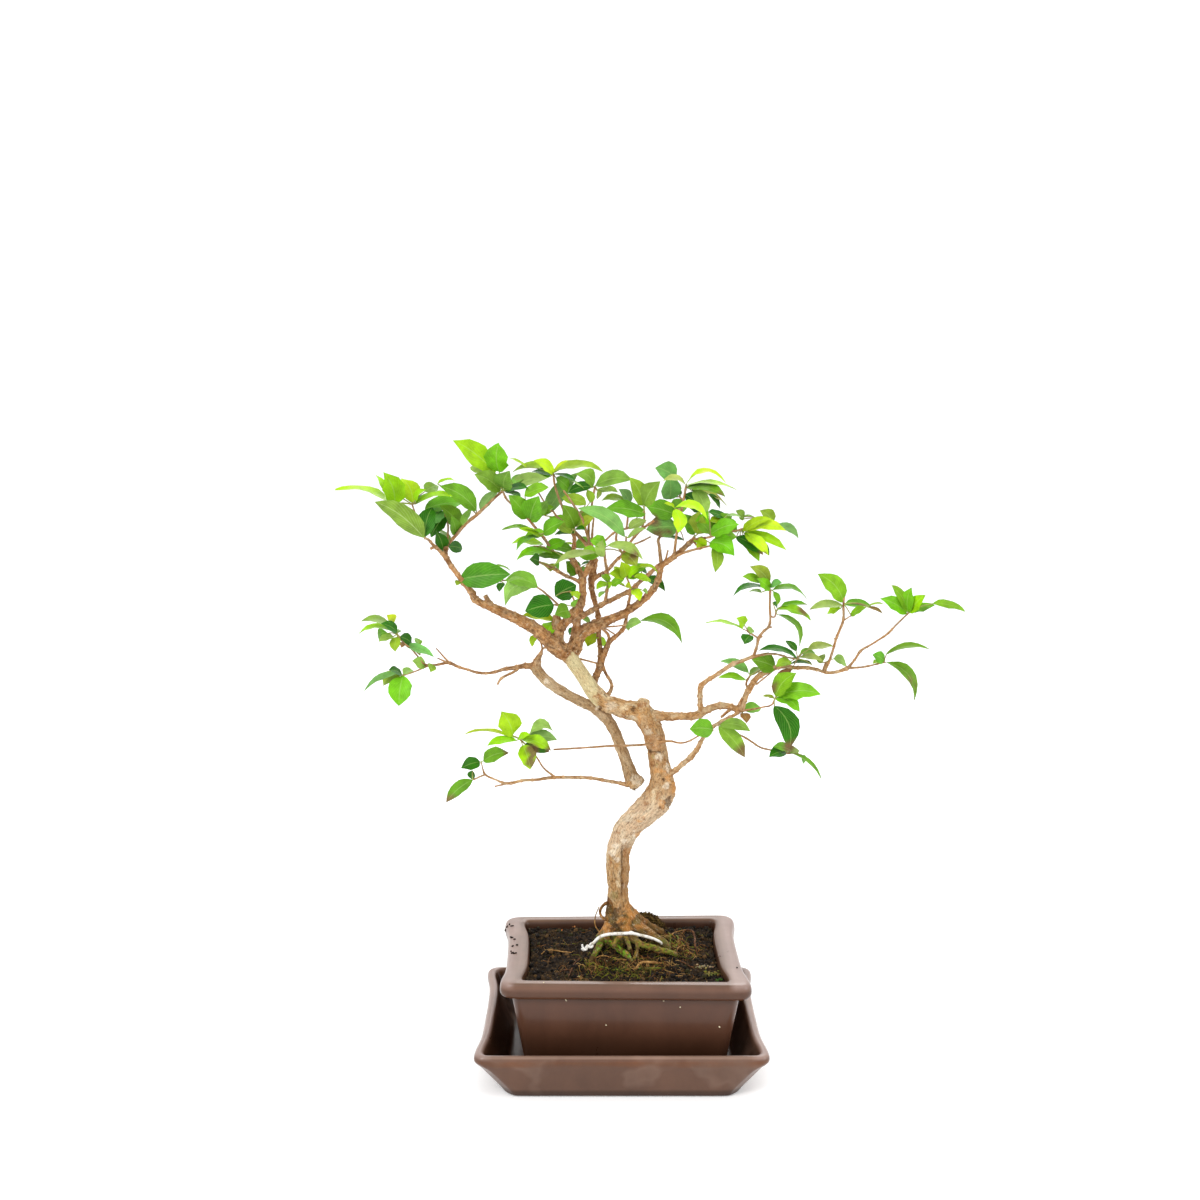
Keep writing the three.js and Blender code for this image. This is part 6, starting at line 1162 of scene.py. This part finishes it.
        (141, 341, 132, 350, 8, 6, 1, 56, "d"), (144, 339, 157, 340, 10, 7, 1, 50, "g"),
        (150, 342, 171, 345, 12, 8, 2, 46, "p"), (143, 336, 163, 333, -10, 7, 2, 40, "p"),
        (137, 333, 125, 329, -12, 8, 1, 60, "o"), (154, 330, 134, 330, 14, 6, 2, 30, "d"),
        (138, 326, 122, 310, 14, 8, 2, 60, "n")],
    "shoot_right_fan": [(178, 380, -14), (178, 378, 151, 376, -8, 9, 2, 42, "p"),
        (176, 376, 165, 372, 8, 7, 1, 56, "l"), (178, 381, 157, 404, -10, 14, 4, 74, "v"),
        (179, 379, 201, 378, 6, 9, 2, 42, "m"), (198, 377, 210, 372, 0, 4, 1, 40, "n"),
        (198, 378, 210, 380, -4, 3, 1, 30, "o"), (184, 370, 196, 377, -10, 7, 1, 50, "v")],
    "shoot_right_fan_back": [(165, 332, 10), (160, 331, 164, 339, 6, 7, 1, 50, "g"),
        (171, 335, 182, 329, 8, 9, 2, 46, "p")],
    "shoot_far_right_tip": [(230, 372, -8), (229, 372, 208, 384, -12, 11, 2, 70, "v"),
        (230, 373, 217, 394, -8, 8, 2, 66, "v"), (230, 373, 232, 393, -10, 10, 2, 70, "v"),
        (231, 373, 243, 387, -14, 10, 1, 66, "l"), (227, 386, 216, 395, -4, 4, 1, 40, "o"),
        (231, 373, 251, 379, 6, 8, 1, 56, "v"), (249, 380, 276, 374, 6, 7, 2, 56, "v")],
    "shoot_far_right_low": [(212, 332, -12), (213, 338, 248, 344, -8, 8, 4, 34, "m"),
        (212, 333, 203, 338, -10, 9, 1, 70, "m"), (208, 332, 203, 331, -6, 4, 1, 50, "o"),
        (213, 332, 238, 301, -8, 12, 8, 42, "m")],
    "shoot_right_lobes": [(124, 301, -24), (125, 304, 141, 323, -8, 14, 3, 70, "v"),
        (128, 305, 161, 306, -14, 13, 3, 72, "v"), (125, 302, 145, 291, -8, 10, 4, 60, "v"),
        (124, 302, 114, 304, 6, 4, 1, 40, "o"), (124, 296, 137, 260, -10, 16, 6, 80, "d")],
    "shoot_right_low": [(136, 256, -16), (138, 259, 124, 262, -8, 8, 1, 56, "m"),
        (136, 257, 145, 259, 8, 8, 1, 60, "p"), (134, 258, 121, 254, -10, 10, 1, 60, "d"),
        (137, 257, 164, 234, -8, 7, 4, 26, "m"), (147, 255, 149, 247, 6, 5, 1, 50, "m")],
    "shoot_right_ball": [(75, 276, -26), (75, 276, 56, 277, -8, 14, 1, 84, "m")],
    "shoot_right_shears": [(80, 280, -20), (79, 279, 101, 253, -8, 12, 2, 80, "g"),
        (80, 280, 105, 275, -12, 10, 3, 60, "g")],
    "shoot_right_inner": [(98, 290, -10), (100, 292, 114, 295, 10, 10, 1, 60, "g"),
        (98, 290, 102, 282, -8, 8, 1, 60, "n")],
    "shoot_low_rosette": [(-82, 268, -26), (-88, 271, -97, 291, -10, 17, 2, 80, "l"),
        (-93, 271, -127, 273, 6, 7, 3, 20, "l"), (-85, 267, -109, 263, -8, 9, 2, 42, "l"),
        (-84, 268, -74, 272, -10, 6, 1, 50, "l"), (-81, 269, -57, 259, -14, 10, 2, 56, "l"),
        (-78, 264, -58, 258, 8, 10, 1, 70, "d"), (-80, 263, -74, 243, -10, 13, 1, 80, "l"),
        (-74, 273, -54, 273, 10, 10, 7, 50, "p"), (-76, 269, -52, 268, 4, 11, 2, 60, "b")],
    "shoot_low_pair": [(-114, 249, -20), (-112, 250, -92, 257, -8, 11, 2, 74, "m"),
        (-115, 249, -130, 244, -10, 10, 1, 78, "d")],
    "shoot_low_tip": [(-121, 234, -22), (-121, 242, -121, 234, 4, 6, 1, 70, "d"),
        (-121, 234, -143, 215, -8, 10, 2, 70, "m")],
}
# Tones: lime, yellow, vivid, mid green, cool mid, dark, pale, bluish, greyed, olive, nut brown, whitish.
# The dark tone is partly painted shade on leaves that lie in shade, and the pale and whitish tones
# partly a painted sheen, over the leaves' own greens.
TONES = {
    "l": (0.3, 0.52, 0.004), "y": (0.48, 0.68, 0.012), "v": (0.16, 0.41, 0.006), "m": (0.115, 0.29, 0.01),
    "q": (0.07, 0.22, 0.006), "d": (0.018, 0.125, 0.001), "p": (0.24, 0.39, 0.07), "b": (0.15, 0.35, 0.08),
    "g": (0.17, 0.33, 0.03), "o": (0.23, 0.35, 0.02), "n": (0.26, 0.13, 0.05), "w": (0.36, 0.52, 0.12),
}
YOUNG = "lyv"
# Where blades have dried brown: x, z and radius in the picture's plane.
BROWN_SPOTS = [
    (-142, 216, 6), (-58, 258, 4), (-72, 259, 6), (-73, 249, 5), (-93, 256, 3), (101, 256, 8),
    (136.5, 262, 5), (122, 311, 5), (236, 315, 3.5), (78, 467, 3), (25, 447, 5), (30, 437, 5),
    (38, 437, 3), (10, 419, 4), (113, 420, 3), (147, 375, 5),
]
DRIED = (0.16, 0.07, 0.035)
# Rows of the blade from base to tip: the share of the length, and of the half width.
BLADE_ROWS = (
    (0.0, 0.03), (0.06, 0.38), (0.16, 0.76), (0.3, 0.98), (0.46, 1.04), (0.62, 0.96), (0.78, 0.7),
    (0.91, 0.32), (1.0, 0.02),
)

bpy.ops.object.select_all(action="DESELECT")
bpy.ops.mesh.primitive_grid_add(x_subdivisions=BLADE_ACROSS, y_subdivisions=len(BLADE_ROWS) - 1, size=2)
blank = bpy.context.object
blank.name = "leaf_blank"
bpy.ops.object.mode_set(mode="EDIT")
bpy.ops.mesh.select_all(action="SELECT")
bpy.ops.mesh.duplicate()
bpy.ops.mesh.flip_normals()
bpy.ops.object.mode_set(mode="OBJECT")
top_count = len(BLADE_ROWS) * (BLADE_ACROSS + 1)
for face in blank.data.polygons:
    face.material_index = 0 if min(face.vertices) < top_count else 1
# For each point of the blank: place across from -1 to 1, row along, and its depth below the top.
blank_points = []
for i, vertex in enumerate(blank.data.vertices):
    u, v = vertex.co.x, vertex.co.y
    inside_below = i >= top_count and abs(u) < 0.99 and abs(v) < 0.99
    row = round((v + 1) / 2 * (len(BLADE_ROWS) - 1))
    blank_points.append((u, row, BLADE_THICK if inside_below else 0))


def blade_material(name, roughness, vein, rib_share, vein_share):
    """Leaf skin: the leaf's own tone, lighter along the midrib and side veins, gently clouded."""
    made = new_material(name, roughness, 0.16)
    cloud = ramp(made, texture(made, 110, Detail=4, Roughness=0.6), (0.3, 0.72), (0.7, 1.25))
    color = blend_colors(made, 1.0, kept(made, "tone", "Color"), cloud, "MULTIPLY")
    place = axes_of(made, "UV")
    from_rib = sum_of(made, "ABSOLUTE", sum_of(made, "SUBTRACT", place["X"], 0.5))
    veins = sum_of(made, "MULTIPLY_ADD", from_rib, -0.9, place["Y"])
    veins = sum_of(made, "SINE", sum_of(made, "MULTIPLY", veins, 62))
    color = blend_colors(made, ramp(made, veins, (0.7, 0.0), (1.0, vein_share)), color, vein)
    color = blend_colors(made, ramp(made, from_rib, (0.0, rib_share), (0.04, 0.0)), color, vein)
    feed(made, "Base Color", color)
    emboss(made, veins, 0.15, 0.25)
    return made


leaf_top = blade_material("leaf_top", 0.42, (0.42, 0.62, 0.16), 0.36, 0.12)
leaf_under = blade_material("leaf_under", 0.62, (0.5, 0.64, 0.26), 0.5, 0.2)
stalk_skin = mottled("stalk_skin", 0.6, 0.5, 150, 2, (0.35, (0.24, 0.15, 0.05)), (0.65, (0.3, 0.38, 0.07)))
chance = random.Random(11)


def leaf_between(name, base, tip, width, rise, turn, tone):
    """A copy of the blank from base to tip, turned to the view, folded, waved, curled and toned."""
    length, along = (tip - base).length, (tip - base).normalized()
    to_view = VIEW_POINT - base
    facing = (to_view - along * to_view.dot(along)).normalized()
    up = facing.cross(along)
    up = -up if up.z < 0 else up
    normal = up * math.cos(math.radians(turn)) + facing * math.sin(math.radians(turn))
    across = along.cross(normal)
    fold = chance.uniform(0.1, 0.35)
    wavy = chance.uniform(0.1, 0.2) if tone in YOUNG else chance.uniform(0.04, 0.12)
    phase, beat = chance.uniform(0, 6.3), chance.uniform(8, 13)
    curl = chance.uniform(0.05, 0.25)
    tint = [c * chance.uniform(0.85, 1.15) for c in TONES[tone]]
    leaf = bpy.data.objects.new(name, blank.data.copy())
    bpy.context.collection.objects.link(leaf)
    tones = leaf.data.attributes.new("tone", "FLOAT_COLOR", "POINT")
    for vertex, entry, (u, row, below) in zip(leaf.data.vertices, tones.data, blank_points):
        t, half = BLADE_ROWS[row]
        half *= width * BLADE_FULL * (1 + 0.5 * wavy * math.sin(t * beat * 1.7 + phase + u))
        ripple = wavy * u * u * math.sin(t * beat + phase + (1.8 if u > 0 else 0))
        point = base + along * (t * length) + across * (u * half) + up * (rise * 4 * t * (1 - t))
        point += normal * (width / 2 * (fold * abs(u) * min(1, 3 * half / width) + ripple))
        point -= normal * (curl * length * max(0, t - 0.5) ** 2 + below)
        vertex.co = point * MM
        x, z = in_picture(point)
        shade = mix(tint, [c * 1.12 for c in tint], t)
        for spot_x, spot_z, radius in BROWN_SPOTS:
            share = smooth_step(1.15, 0.75, math.hypot(x - spot_x, z - spot_z) / radius)
            shade = mix(shade, DRIED, 0.9 * share)
        entry.color = (*shade, 1)
    leaf.data.materials.append(leaf_top)
    leaf.data.materials.append(leaf_under)
    return leaf


for name, (node, *leaves) in shoots.items():
    pieces, stalks = [], []
    foot = seen(*node)
    for base_x, base_z, tip_x, tip_z, depth, width, rise, turn, tone in leaves:
        base, tip = seen(base_x, base_z, node[2]), seen(tip_x, tip_z, node[2] + depth)
        pieces.append(leaf_between(name + "_leaf", base, tip, width, rise, turn, tone))
        if (base - foot).length > SHORTEST_STALK:
            sag = Vector((0, 0, STALK_SAG * (base - foot).length))
            into_blade = base + (tip - base).normalized() * 0.5
            stalks.append(list(zip((foot, (foot + base) / 2 + sag, into_blade), STALK_RADII)))
    stem = rods(name + "_stalks", stalks, 6, 3) if stalks else None
    only(*pieces)
    if len(pieces) > 1:
        bpy.ops.object.join()
    shoot = bpy.context.object
    shoot.name = name.replace("shoot", "leaves")
    bpy.ops.object.mode_set(mode="EDIT")
    bpy.ops.mesh.select_all(action="SELECT")
    bpy.ops.mesh.remove_doubles(threshold=SEAM)
    bpy.ops.object.mode_set(mode="OBJECT")
    if stem:
        stem.data.materials.append(stalk_skin)
        only(shoot, stem)
        bpy.ops.object.join()
    bpy.ops.object.shade_smooth_by_angle(angle=math.radians(55))
    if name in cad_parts:
        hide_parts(name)
    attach(shoot, "root")
bpy.data.objects.remove(blank)

# Rootlets: thin side roots, bared and dry, that run over the soil and dive back into it. Some are
# tan, some nearly black, and some overgrown with moss.
# Each is a row of x and z in the picture's plane, radius, and lift above the soil.
ROOTLETS = {
    "tan": [
        [(7, 69, 0.7, 0), (13, 71, 1, 0.8), (17, 75, 1.1, 1.4), (25, 75.5, 1.2, 1.4), (32, 75, 1.1, 1),
         (36, 76, 0.8, 0)],
        [(-66, 84, 0.4, 0), (-62, 86, 0.5, 1), (-55, 86, 0.6, 1.4), (-48, 85, 0.5, 1.2),
         (-40, 85.5, 0.4, 0)],
        [(42, 100, 0.6, 1), (48, 101, 0.6, 3), (55, 101, 0.6, 4), (58, 101, 0.5, 3)],
        [(-18, 103, 0.5, 1), (-21, 104, 0.6, 5), (-21, 105, 0.5, 12), (-18, 106, 0.5, 20)],
        [(22, 90, 0.6, 0.6), (29, 85, 0.7, 1), (36, 83.5, 0.7, 1), (41, 84, 0.7, 1), (46, 87, 0.5, 0)],
        [(-6, 81, 0.5, 0), (-1, 79, 0.6, 0.6), (4, 78, 0.7, 1), (9, 77.5, 0.6, 0.6), (14, 78.5, 0.5, 0)],
        [(46, 85, 0.6, 0.4), (49, 89, 0.5, 1.6), (54, 90.5, 0.5, 1), (58, 90, 0.4, 0)],
        [(-22, 79, 0.5, 0), (-18, 81, 0.6, 1), (-13, 82, 0.5, 0.6), (-8, 81, 0.4, 0)],
    ],
    "dark": [
        [(50, 100, 0.7, 0.4), (54, 100, 0.9, 5), (59, 98, 1, 6.5), (61.5, 93, 0.9, 5.5), (62, 88, 0.9, 3),
         (64, 83, 0.7, 0)],
        [(-44, 63, 0.5, 0), (-41, 69, 0.6, 1), (-38, 75, 0.6, 1.2), (-34, 79, 0.6, 1), (-29, 82, 0.5, 0)],
        [(-4, 70, 0.5, 0), (-3, 67, 0.5, 0.6), (-1, 64, 0.5, 0.6), (2, 60, 0.4, 0)],
        [(34, 81, 0.5, 0), (37, 79, 0.6, 1), (40, 76, 0.5, 0.8), (42, 73, 0.4, 0)],
        [(7, 78, 0.7, 0), (10, 83, 0.8, 1), (8, 89, 0.9, 1.6), (5, 94, 0.9, 2)],
        [(23, 79, 0.5, 0), (22.5, 83, 0.6, 1), (23, 87, 0.6, 1), (24, 91, 0.5, 0)],
        [(-53, 66, 0.4, 0), (-48, 69, 0.5, 0.8), (-42, 69, 0.5, 1), (-36, 66, 0.4, 0)],
        [(45, 79, 0.5, 0), (52, 76, 0.6, 1), (60, 72, 0.5, 0.6), (66, 74, 0.4, 0)],
    ],
    "mossy": [
        [(-22, 75, 0.7, 0), (-15, 72, 0.8, 0.6), (-8, 70, 0.8, 0.8), (0, 69, 0.9, 0.8), (7, 67, 0.7, 0)],
        [(45, 85, 0.9, 0.6), (47, 91, 0.9, 1.4), (48, 96, 0.8, 1.4), (46, 100, 0.6, 0.6)],
        [(39, 89, 0.9, 0.8), (41, 94, 0.9, 1.4), (41, 99, 0.8, 1.4), (39, 103, 0.6, 0.6)],
        [(13, 73, 0.8, 0), (20, 71, 1, 0.6), (28, 71, 1, 0.6), (36, 72, 0.6, 0)],
    ],
}
ROOTLET_TONES = {
    "tan": ((0.2, 0.09, 0.022), (0.46, 0.26, 0.09)), "dark": ((0.035, 0.014, 0.007), (0.17, 0.07, 0.024)),
    "mossy": ((0.045, 0.04, 0.006), (0.19, 0.2, 0.018)),
}
UP = Vector((0, 0, 1))


def landed(piece, x, z):
    """The point of a piece, in millimetres, that is seen at x and z, and its outward direction."""
    hit, point, facing, _ = piece.ray_cast(VIEW_POINT * MM, (seen(x, z, 0) - VIEW_POINT).normalized())
    return (point / MM, facing) if hit else (seen(x, z, -20), UP)


for kind, rows in ROOTLETS.items():
    laid = [[(landed(soil, x, z)[0] + UP * lift, radius) for x, z, radius, lift in row] for row in rows]
    rootlets = rods("rootlets_" + kind, laid, 6, 6)
    bpy.ops.object.shade_smooth()
    low, high = ROOTLET_TONES[kind]
    rootlets.data.materials.append(mottled("rootlet_" + kind, 0.8, 0.2, 500, 4, (0.38, low), (0.62, high)))
    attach(rootlets, "root")

# Fibres: a litter of fine root hairs and stalks over the soil, thickest round the roots, and a
# springy tangle of them in front of the trunk and to its right. Count, tones, share in the tangle.
FIBRES = {
    "straw": (230, (0.16, 0.085, 0.022), (0.42, 0.26, 0.09), 0.45),
    "rust": (330, (0.07, 0.026, 0.008), (0.26, 0.11, 0.03), 0.5),
    "green": (270, (0.045, 0.042, 0.006), (0.2, 0.2, 0.02), 0.7),
    "black": (200, (0.008, 0.006, 0.004), (0.04, 0.024, 0.012), 0.3),
}
TANGLES = ((34, 10), (42, -2), (44, 14), (14, -36), (22, 26), (-16, -34))
LITTER_HALF = (74, 57)
LITTER_MIDDLE_X = 2
STRAND_POINTS = 5
chance = random.Random(5)
for kind, (count, low, high, tangled) in FIBRES.items():
    strands = []
    for _ in range(count):
        springy = chance.random() < tangled
        if springy:
            x, y = chance.choice(TANGLES)
            x, y = chance.gauss(x, 10), chance.gauss(y, 8)
        elif chance.random() < 0.78:
            x, y = chance.gauss(16, 25), chance.gauss(-22, 19)
        else:
            x, y = chance.uniform(-74, 74), chance.uniform(-58, 58)
        heading = chance.uniform(0, 2 * math.pi)
        turn = chance.uniform(-0.6, 0.6)
        stride = chance.uniform(1.4, 3.6 if springy else 4.4)
        arch = chance.choice((0.3, 0.6, 1.2, 2)) * (1.5 if springy else 0.5)
        thick = chance.uniform(0.2, 0.42 if springy else 0.3)
        strand = []
        for step in range(STRAND_POINTS):
            if abs(x - LITTER_MIDDLE_X) < LITTER_HALF[0] and abs(y) < LITTER_HALF[1]:
                lift = arch * step * (4 - step) / 4
                strand.append((Vector((x, y, soil_top(x, y) + 0.1 + lift)), thick * (1 - 0.1 * step)))
            heading += turn + chance.uniform(-0.5, 0.5)
            x, y = x + stride * math.cos(heading), y + stride * math.sin(heading)
        if len(strand) > 2:
            strands.append(strand)
    fibres = rods("fibres_" + kind, strands, 4, 3)
    bpy.ops.object.shade_smooth()
    fibres.data.materials.append(mottled("fibre_" + kind, 0.8, 0.15, 120, 3, (0.4, low), (0.6, high)))
    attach(fibres, "root")

# Moss: an old, half-dry cushion that grew in the angle behind the trunk, brown-olive, with hairs
# standing out. Its right side hangs down a little more than its left.
MOSS_PLACE = Vector((23, 43, 91))
MOSS_HALF = Vector((15, 9, 12.5))
MOSS_HAIRS = 260


def on_cushion(way, share=1.0):
    """The point at a share of the way from the cushion's middle to its surface."""
    point = MOSS_PLACE + Vector((way.x * MOSS_HALF.x, way.y * MOSS_HALF.y, way.z * MOSS_HALF.z)) * share
    point.z -= 0.3 * max(0, point.x - 22) + 0.2 * max(0, 16 - point.x)
    return point


bpy.ops.object.select_all(action="DESELECT")
bpy.ops.mesh.primitive_ico_sphere_add(subdivisions=6, radius=1)
moss = bpy.context.object
moss.name = "moss_cushion"
for vertex in moss.data.vertices:
    lump = 1 + 0.2 * noise.noise(vertex.co * 1.6) + 0.22 * noise.noise(vertex.co * 4)
    lump += 0.2 * noise.noise(vertex.co * 10)
    vertex.co = on_cushion(vertex.co * lump) * MM
bpy.ops.object.shade_smooth()
hairs = []
for _ in range(MOSS_HAIRS):
    way = Vector((chance.gauss(0, 1), chance.gauss(-0.3, 1), abs(chance.gauss(0.2, 1)))).normalized()
    root = on_cushion(way, 0.95)
    sweep = Vector((chance.uniform(-1, 1), chance.uniform(-1, 1), chance.uniform(-0.6, 0.5)))
    reach = chance.uniform(2, 6)
    middle = root + way * reach * 0.45 + sweep * reach * 0.35
    hairs.append([(root, 0.34), (middle, 0.3), (root + sweep * reach * 1.2, 0.2)])
hairs = rods("moss_hairs", hairs, 4, 3)
moss_skin = new_material("moss_skin", 0.9, 0.1)
tufted = texture(moss_skin, 260, Detail=5, Roughness=0.7)
moss_color = ramp(moss_skin, tufted, (0.36, (0.01, 0.006, 0.002)), (0.5, (0.075, 0.042, 0.012)),
                  (0.6, (0.15, 0.1, 0.025)), (0.72, (0.3, 0.18, 0.06)))
feed(moss_skin, "Base Color", moss_color)
emboss(moss_skin, tufted, 0.9, 1.2)
only(moss, hairs)
bpy.ops.object.join()
moss.data.materials.append(moss_skin)
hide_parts("moss")
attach(moss, "root")

# Granules: loose mineral and bark grains of the mix, which lie on its surface. Most are matt and
# nearly black, some are brown, and one in forty is a pale flake.
GRAIN_COUNT = 1500
GRAIN_SIZES = (0.5, 0.7, 0.9, 1.2, 1.6, 2.2)
GRAIN_TONES = [
    (0.004, 0.003, 0.002), (0.012, 0.008, 0.006), (0.03, 0.02, 0.014), (0.05, 0.028, 0.012),
    (0.1, 0.055, 0.02), (0.03, 0.026, 0.008), (0.008, 0.006, 0.005),
]
PALE_GRAIN = (0.4, 0.3, 0.17)
DARK_SHARE = 0.975
PALE_SIZE = 0.45


def scattered(name, spots, roughness):
    """Small angular crumbs, one for each (point, radii, turn, tone), joined into one piece."""
    bpy.ops.object.select_all(action="DESELECT")
    bpy.ops.mesh.primitive_ico_sphere_add(subdivisions=1, radius=1)
    blank = bpy.context.object
    crumbs = []
    for point, radii, turn, tone in spots:
        crumb = bpy.data.objects.new(name, blank.data.copy())
        bpy.context.collection.objects.link(crumb)
        shape = Matrix.Translation(point * MM) @ turn.to_4x4() @ Matrix.Diagonal((*radii, 1))
        for vertex in crumb.data.vertices:
            uneven = vertex.co * (1 + 0.3 * noise.noise(vertex.co * 1.7 + point))
            vertex.co = shape @ (uneven * MM)
        tones = crumb.data.attributes.new("tone", "FLOAT_COLOR", "POINT")
        for entry in tones.data:
            entry.color = (*tone, 1)
        crumbs.append(crumb)
    bpy.data.objects.remove(blank)
    only(*crumbs)
    bpy.ops.object.join()
    piece = bpy.context.object
    piece.name = name
    skin = new_material(name + "_skin", roughness, 0.15)
    feed(skin, "Base Color", kept(skin, "tone", "Color"))
    piece.data.materials.append(skin)
    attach(piece, "root")
    return piece


def any_turn():
    """A turn to any side, drawn by chance."""
    way = Vector((chance.gauss(0, 1), chance.gauss(0, 1), chance.gauss(0, 1)))
    return way.to_track_quat("Z", "Y").to_matrix()


spots = []
for _ in range(GRAIN_COUNT):
    x, y = slumped(chance.uniform(-78, 78), chance.uniform(-60, 60))
    size = chance.choice(GRAIN_SIZES)
    tone = chance.choice(GRAIN_TONES) if chance.random() < DARK_SHARE else PALE_GRAIN
    radii = [size * chance.uniform(0.6, 1.1) for _ in range(3)]
    if tone is PALE_GRAIN:
        radii = [radius * PALE_SIZE for radius in radii]
    spots.append((Vector((x, y, soil_top(x, y) + 0.2 * size)), radii, any_turn(), tone))
granules = scattered("soil_granules", spots, 0.85)

# Chips and tufts: scraps of lichen and bark that fell on the soil, and young moss that grows on
# it. Each is a heap of crumbs: x and z in the picture's plane, half width and kind.
CHIP_TONES = {
    "lichen": (0.27, 0.22, 0.1), "lime": (0.17, 0.155, 0.035), "bark": (0.5, 0.2, 0.05),
    "moss": (0.05, 0.11, 0.016), "straw": (0.62, 0.52, 0.2),
}
CHIPS = [
    (65, 72, 2.6, "lichen"), (68, 73, 2, "lichen"), (71, 73, 2.4, "lichen"), (75, 72.4, 2.2, "lichen"),
    (78, 73, 1.6, "lichen"), (72, 68, 2.4, "lime"), (75, 66, 3, "lime"), (80, 66.5, 2.8, "lime"),
    (83, 67.5, 2.6, "lime"), (87, 69, 2, "lime"), (84, 61.6, 2, "moss"), (80, 61, 1.8, "moss"),
    (-33, 62.6, 1.8, "lime"), (-34.4, 64, 1.2, "straw"), (-49, 105, 1.3, "bark"), (-52, 104.6, 1, "bark"),
    (-38, 108, 1.2, "bark"), (-2, 70, 2.4, "moss"), (4, 71, 2.2, "moss"), (1, 68.6, 1.8, "moss"),
    (18, 71, 2, "moss"), (22, 70.6, 2.2, "moss"), (26, 71, 2, "moss"), (1, 84, 2, "moss"),
    (4, 82, 1.6, "moss"), (48, 102, 1.2, "lichen"), (50, 98, 1.1, "lichen"), (44, 90, 1.1, "lime"),
    (34, 96, 1, "straw"), (57, 85, 1, "straw"),
]
CRUMBS_IN_CHIP = 8
spots = []
for x, z, half, kind in CHIPS:
    for _ in range(CRUMBS_IN_CHIP):
        point, _ = landed(soil, x + chance.gauss(0, half * 0.6), z + chance.gauss(0, half * 0.3))
        size = half * chance.uniform(0.3, 0.65)
        radii = (size, size * chance.uniform(0.5, 0.9), size * chance.uniform(0.35, 0.6))
        tone = [c * chance.uniform(0.7, 1.25) for c in CHIP_TONES[kind]]
        spots.append((point + Vector((0, 0, size * 0.3)), radii, any_turn(), tone))
chips = scattered("soil_chips", spots, 0.8)

# Specks: grains of soil that dried on the pot's left rim, and cream flecks on the glaze of both
# trays. For each kind: its tray, size, tone, and places in the picture's plane.
SOIL_SPECK = (0.014, 0.009, 0.006)
CREAM_FLECK = (0.75, 0.66, 0.45)
SPECKS = [
    (pot, 1.3, SOIL_SPECK, ((-94, 108), (-92, 110), (-90, 108.6), (-95.5, 105), (-91, 99), (-90, 98.4),
                            (-88, 97), (-89.6, 91), (-86, 92), (-90, 85), (-88.4, 84.6), (-87, 84.8),
                            (-91, 86.4), (97, 72))),
    (pot, 0.8, CREAM_FLECK, ((-64, 59), (50, 37.5), (83, 20), (-12, 21.5), (36, 43), (-45.5, 43.7))),
    (saucer, 0.6, CREAM_FLECK, ((23, 10), (32, 1), (-58, 5), (70, 12))),
]
spots = []
for tray_piece, size, tone, places in SPECKS:
    for x, z in places:
        point, facing = landed(tray_piece, x, z)
        point += facing * 0.25 * size
        turn = facing.to_track_quat("Z", "Y").to_matrix()
        lean = Matrix.Rotation(chance.uniform(0, 3), 3, "Z")
        radii = (size * chance.uniform(0.5, 0.8), size * chance.uniform(0.8, 1.5), size * 0.5)
        spots.append((point, radii, turn @ lean, tone))
specks = scattered("glaze_specks", spots, 0.7)
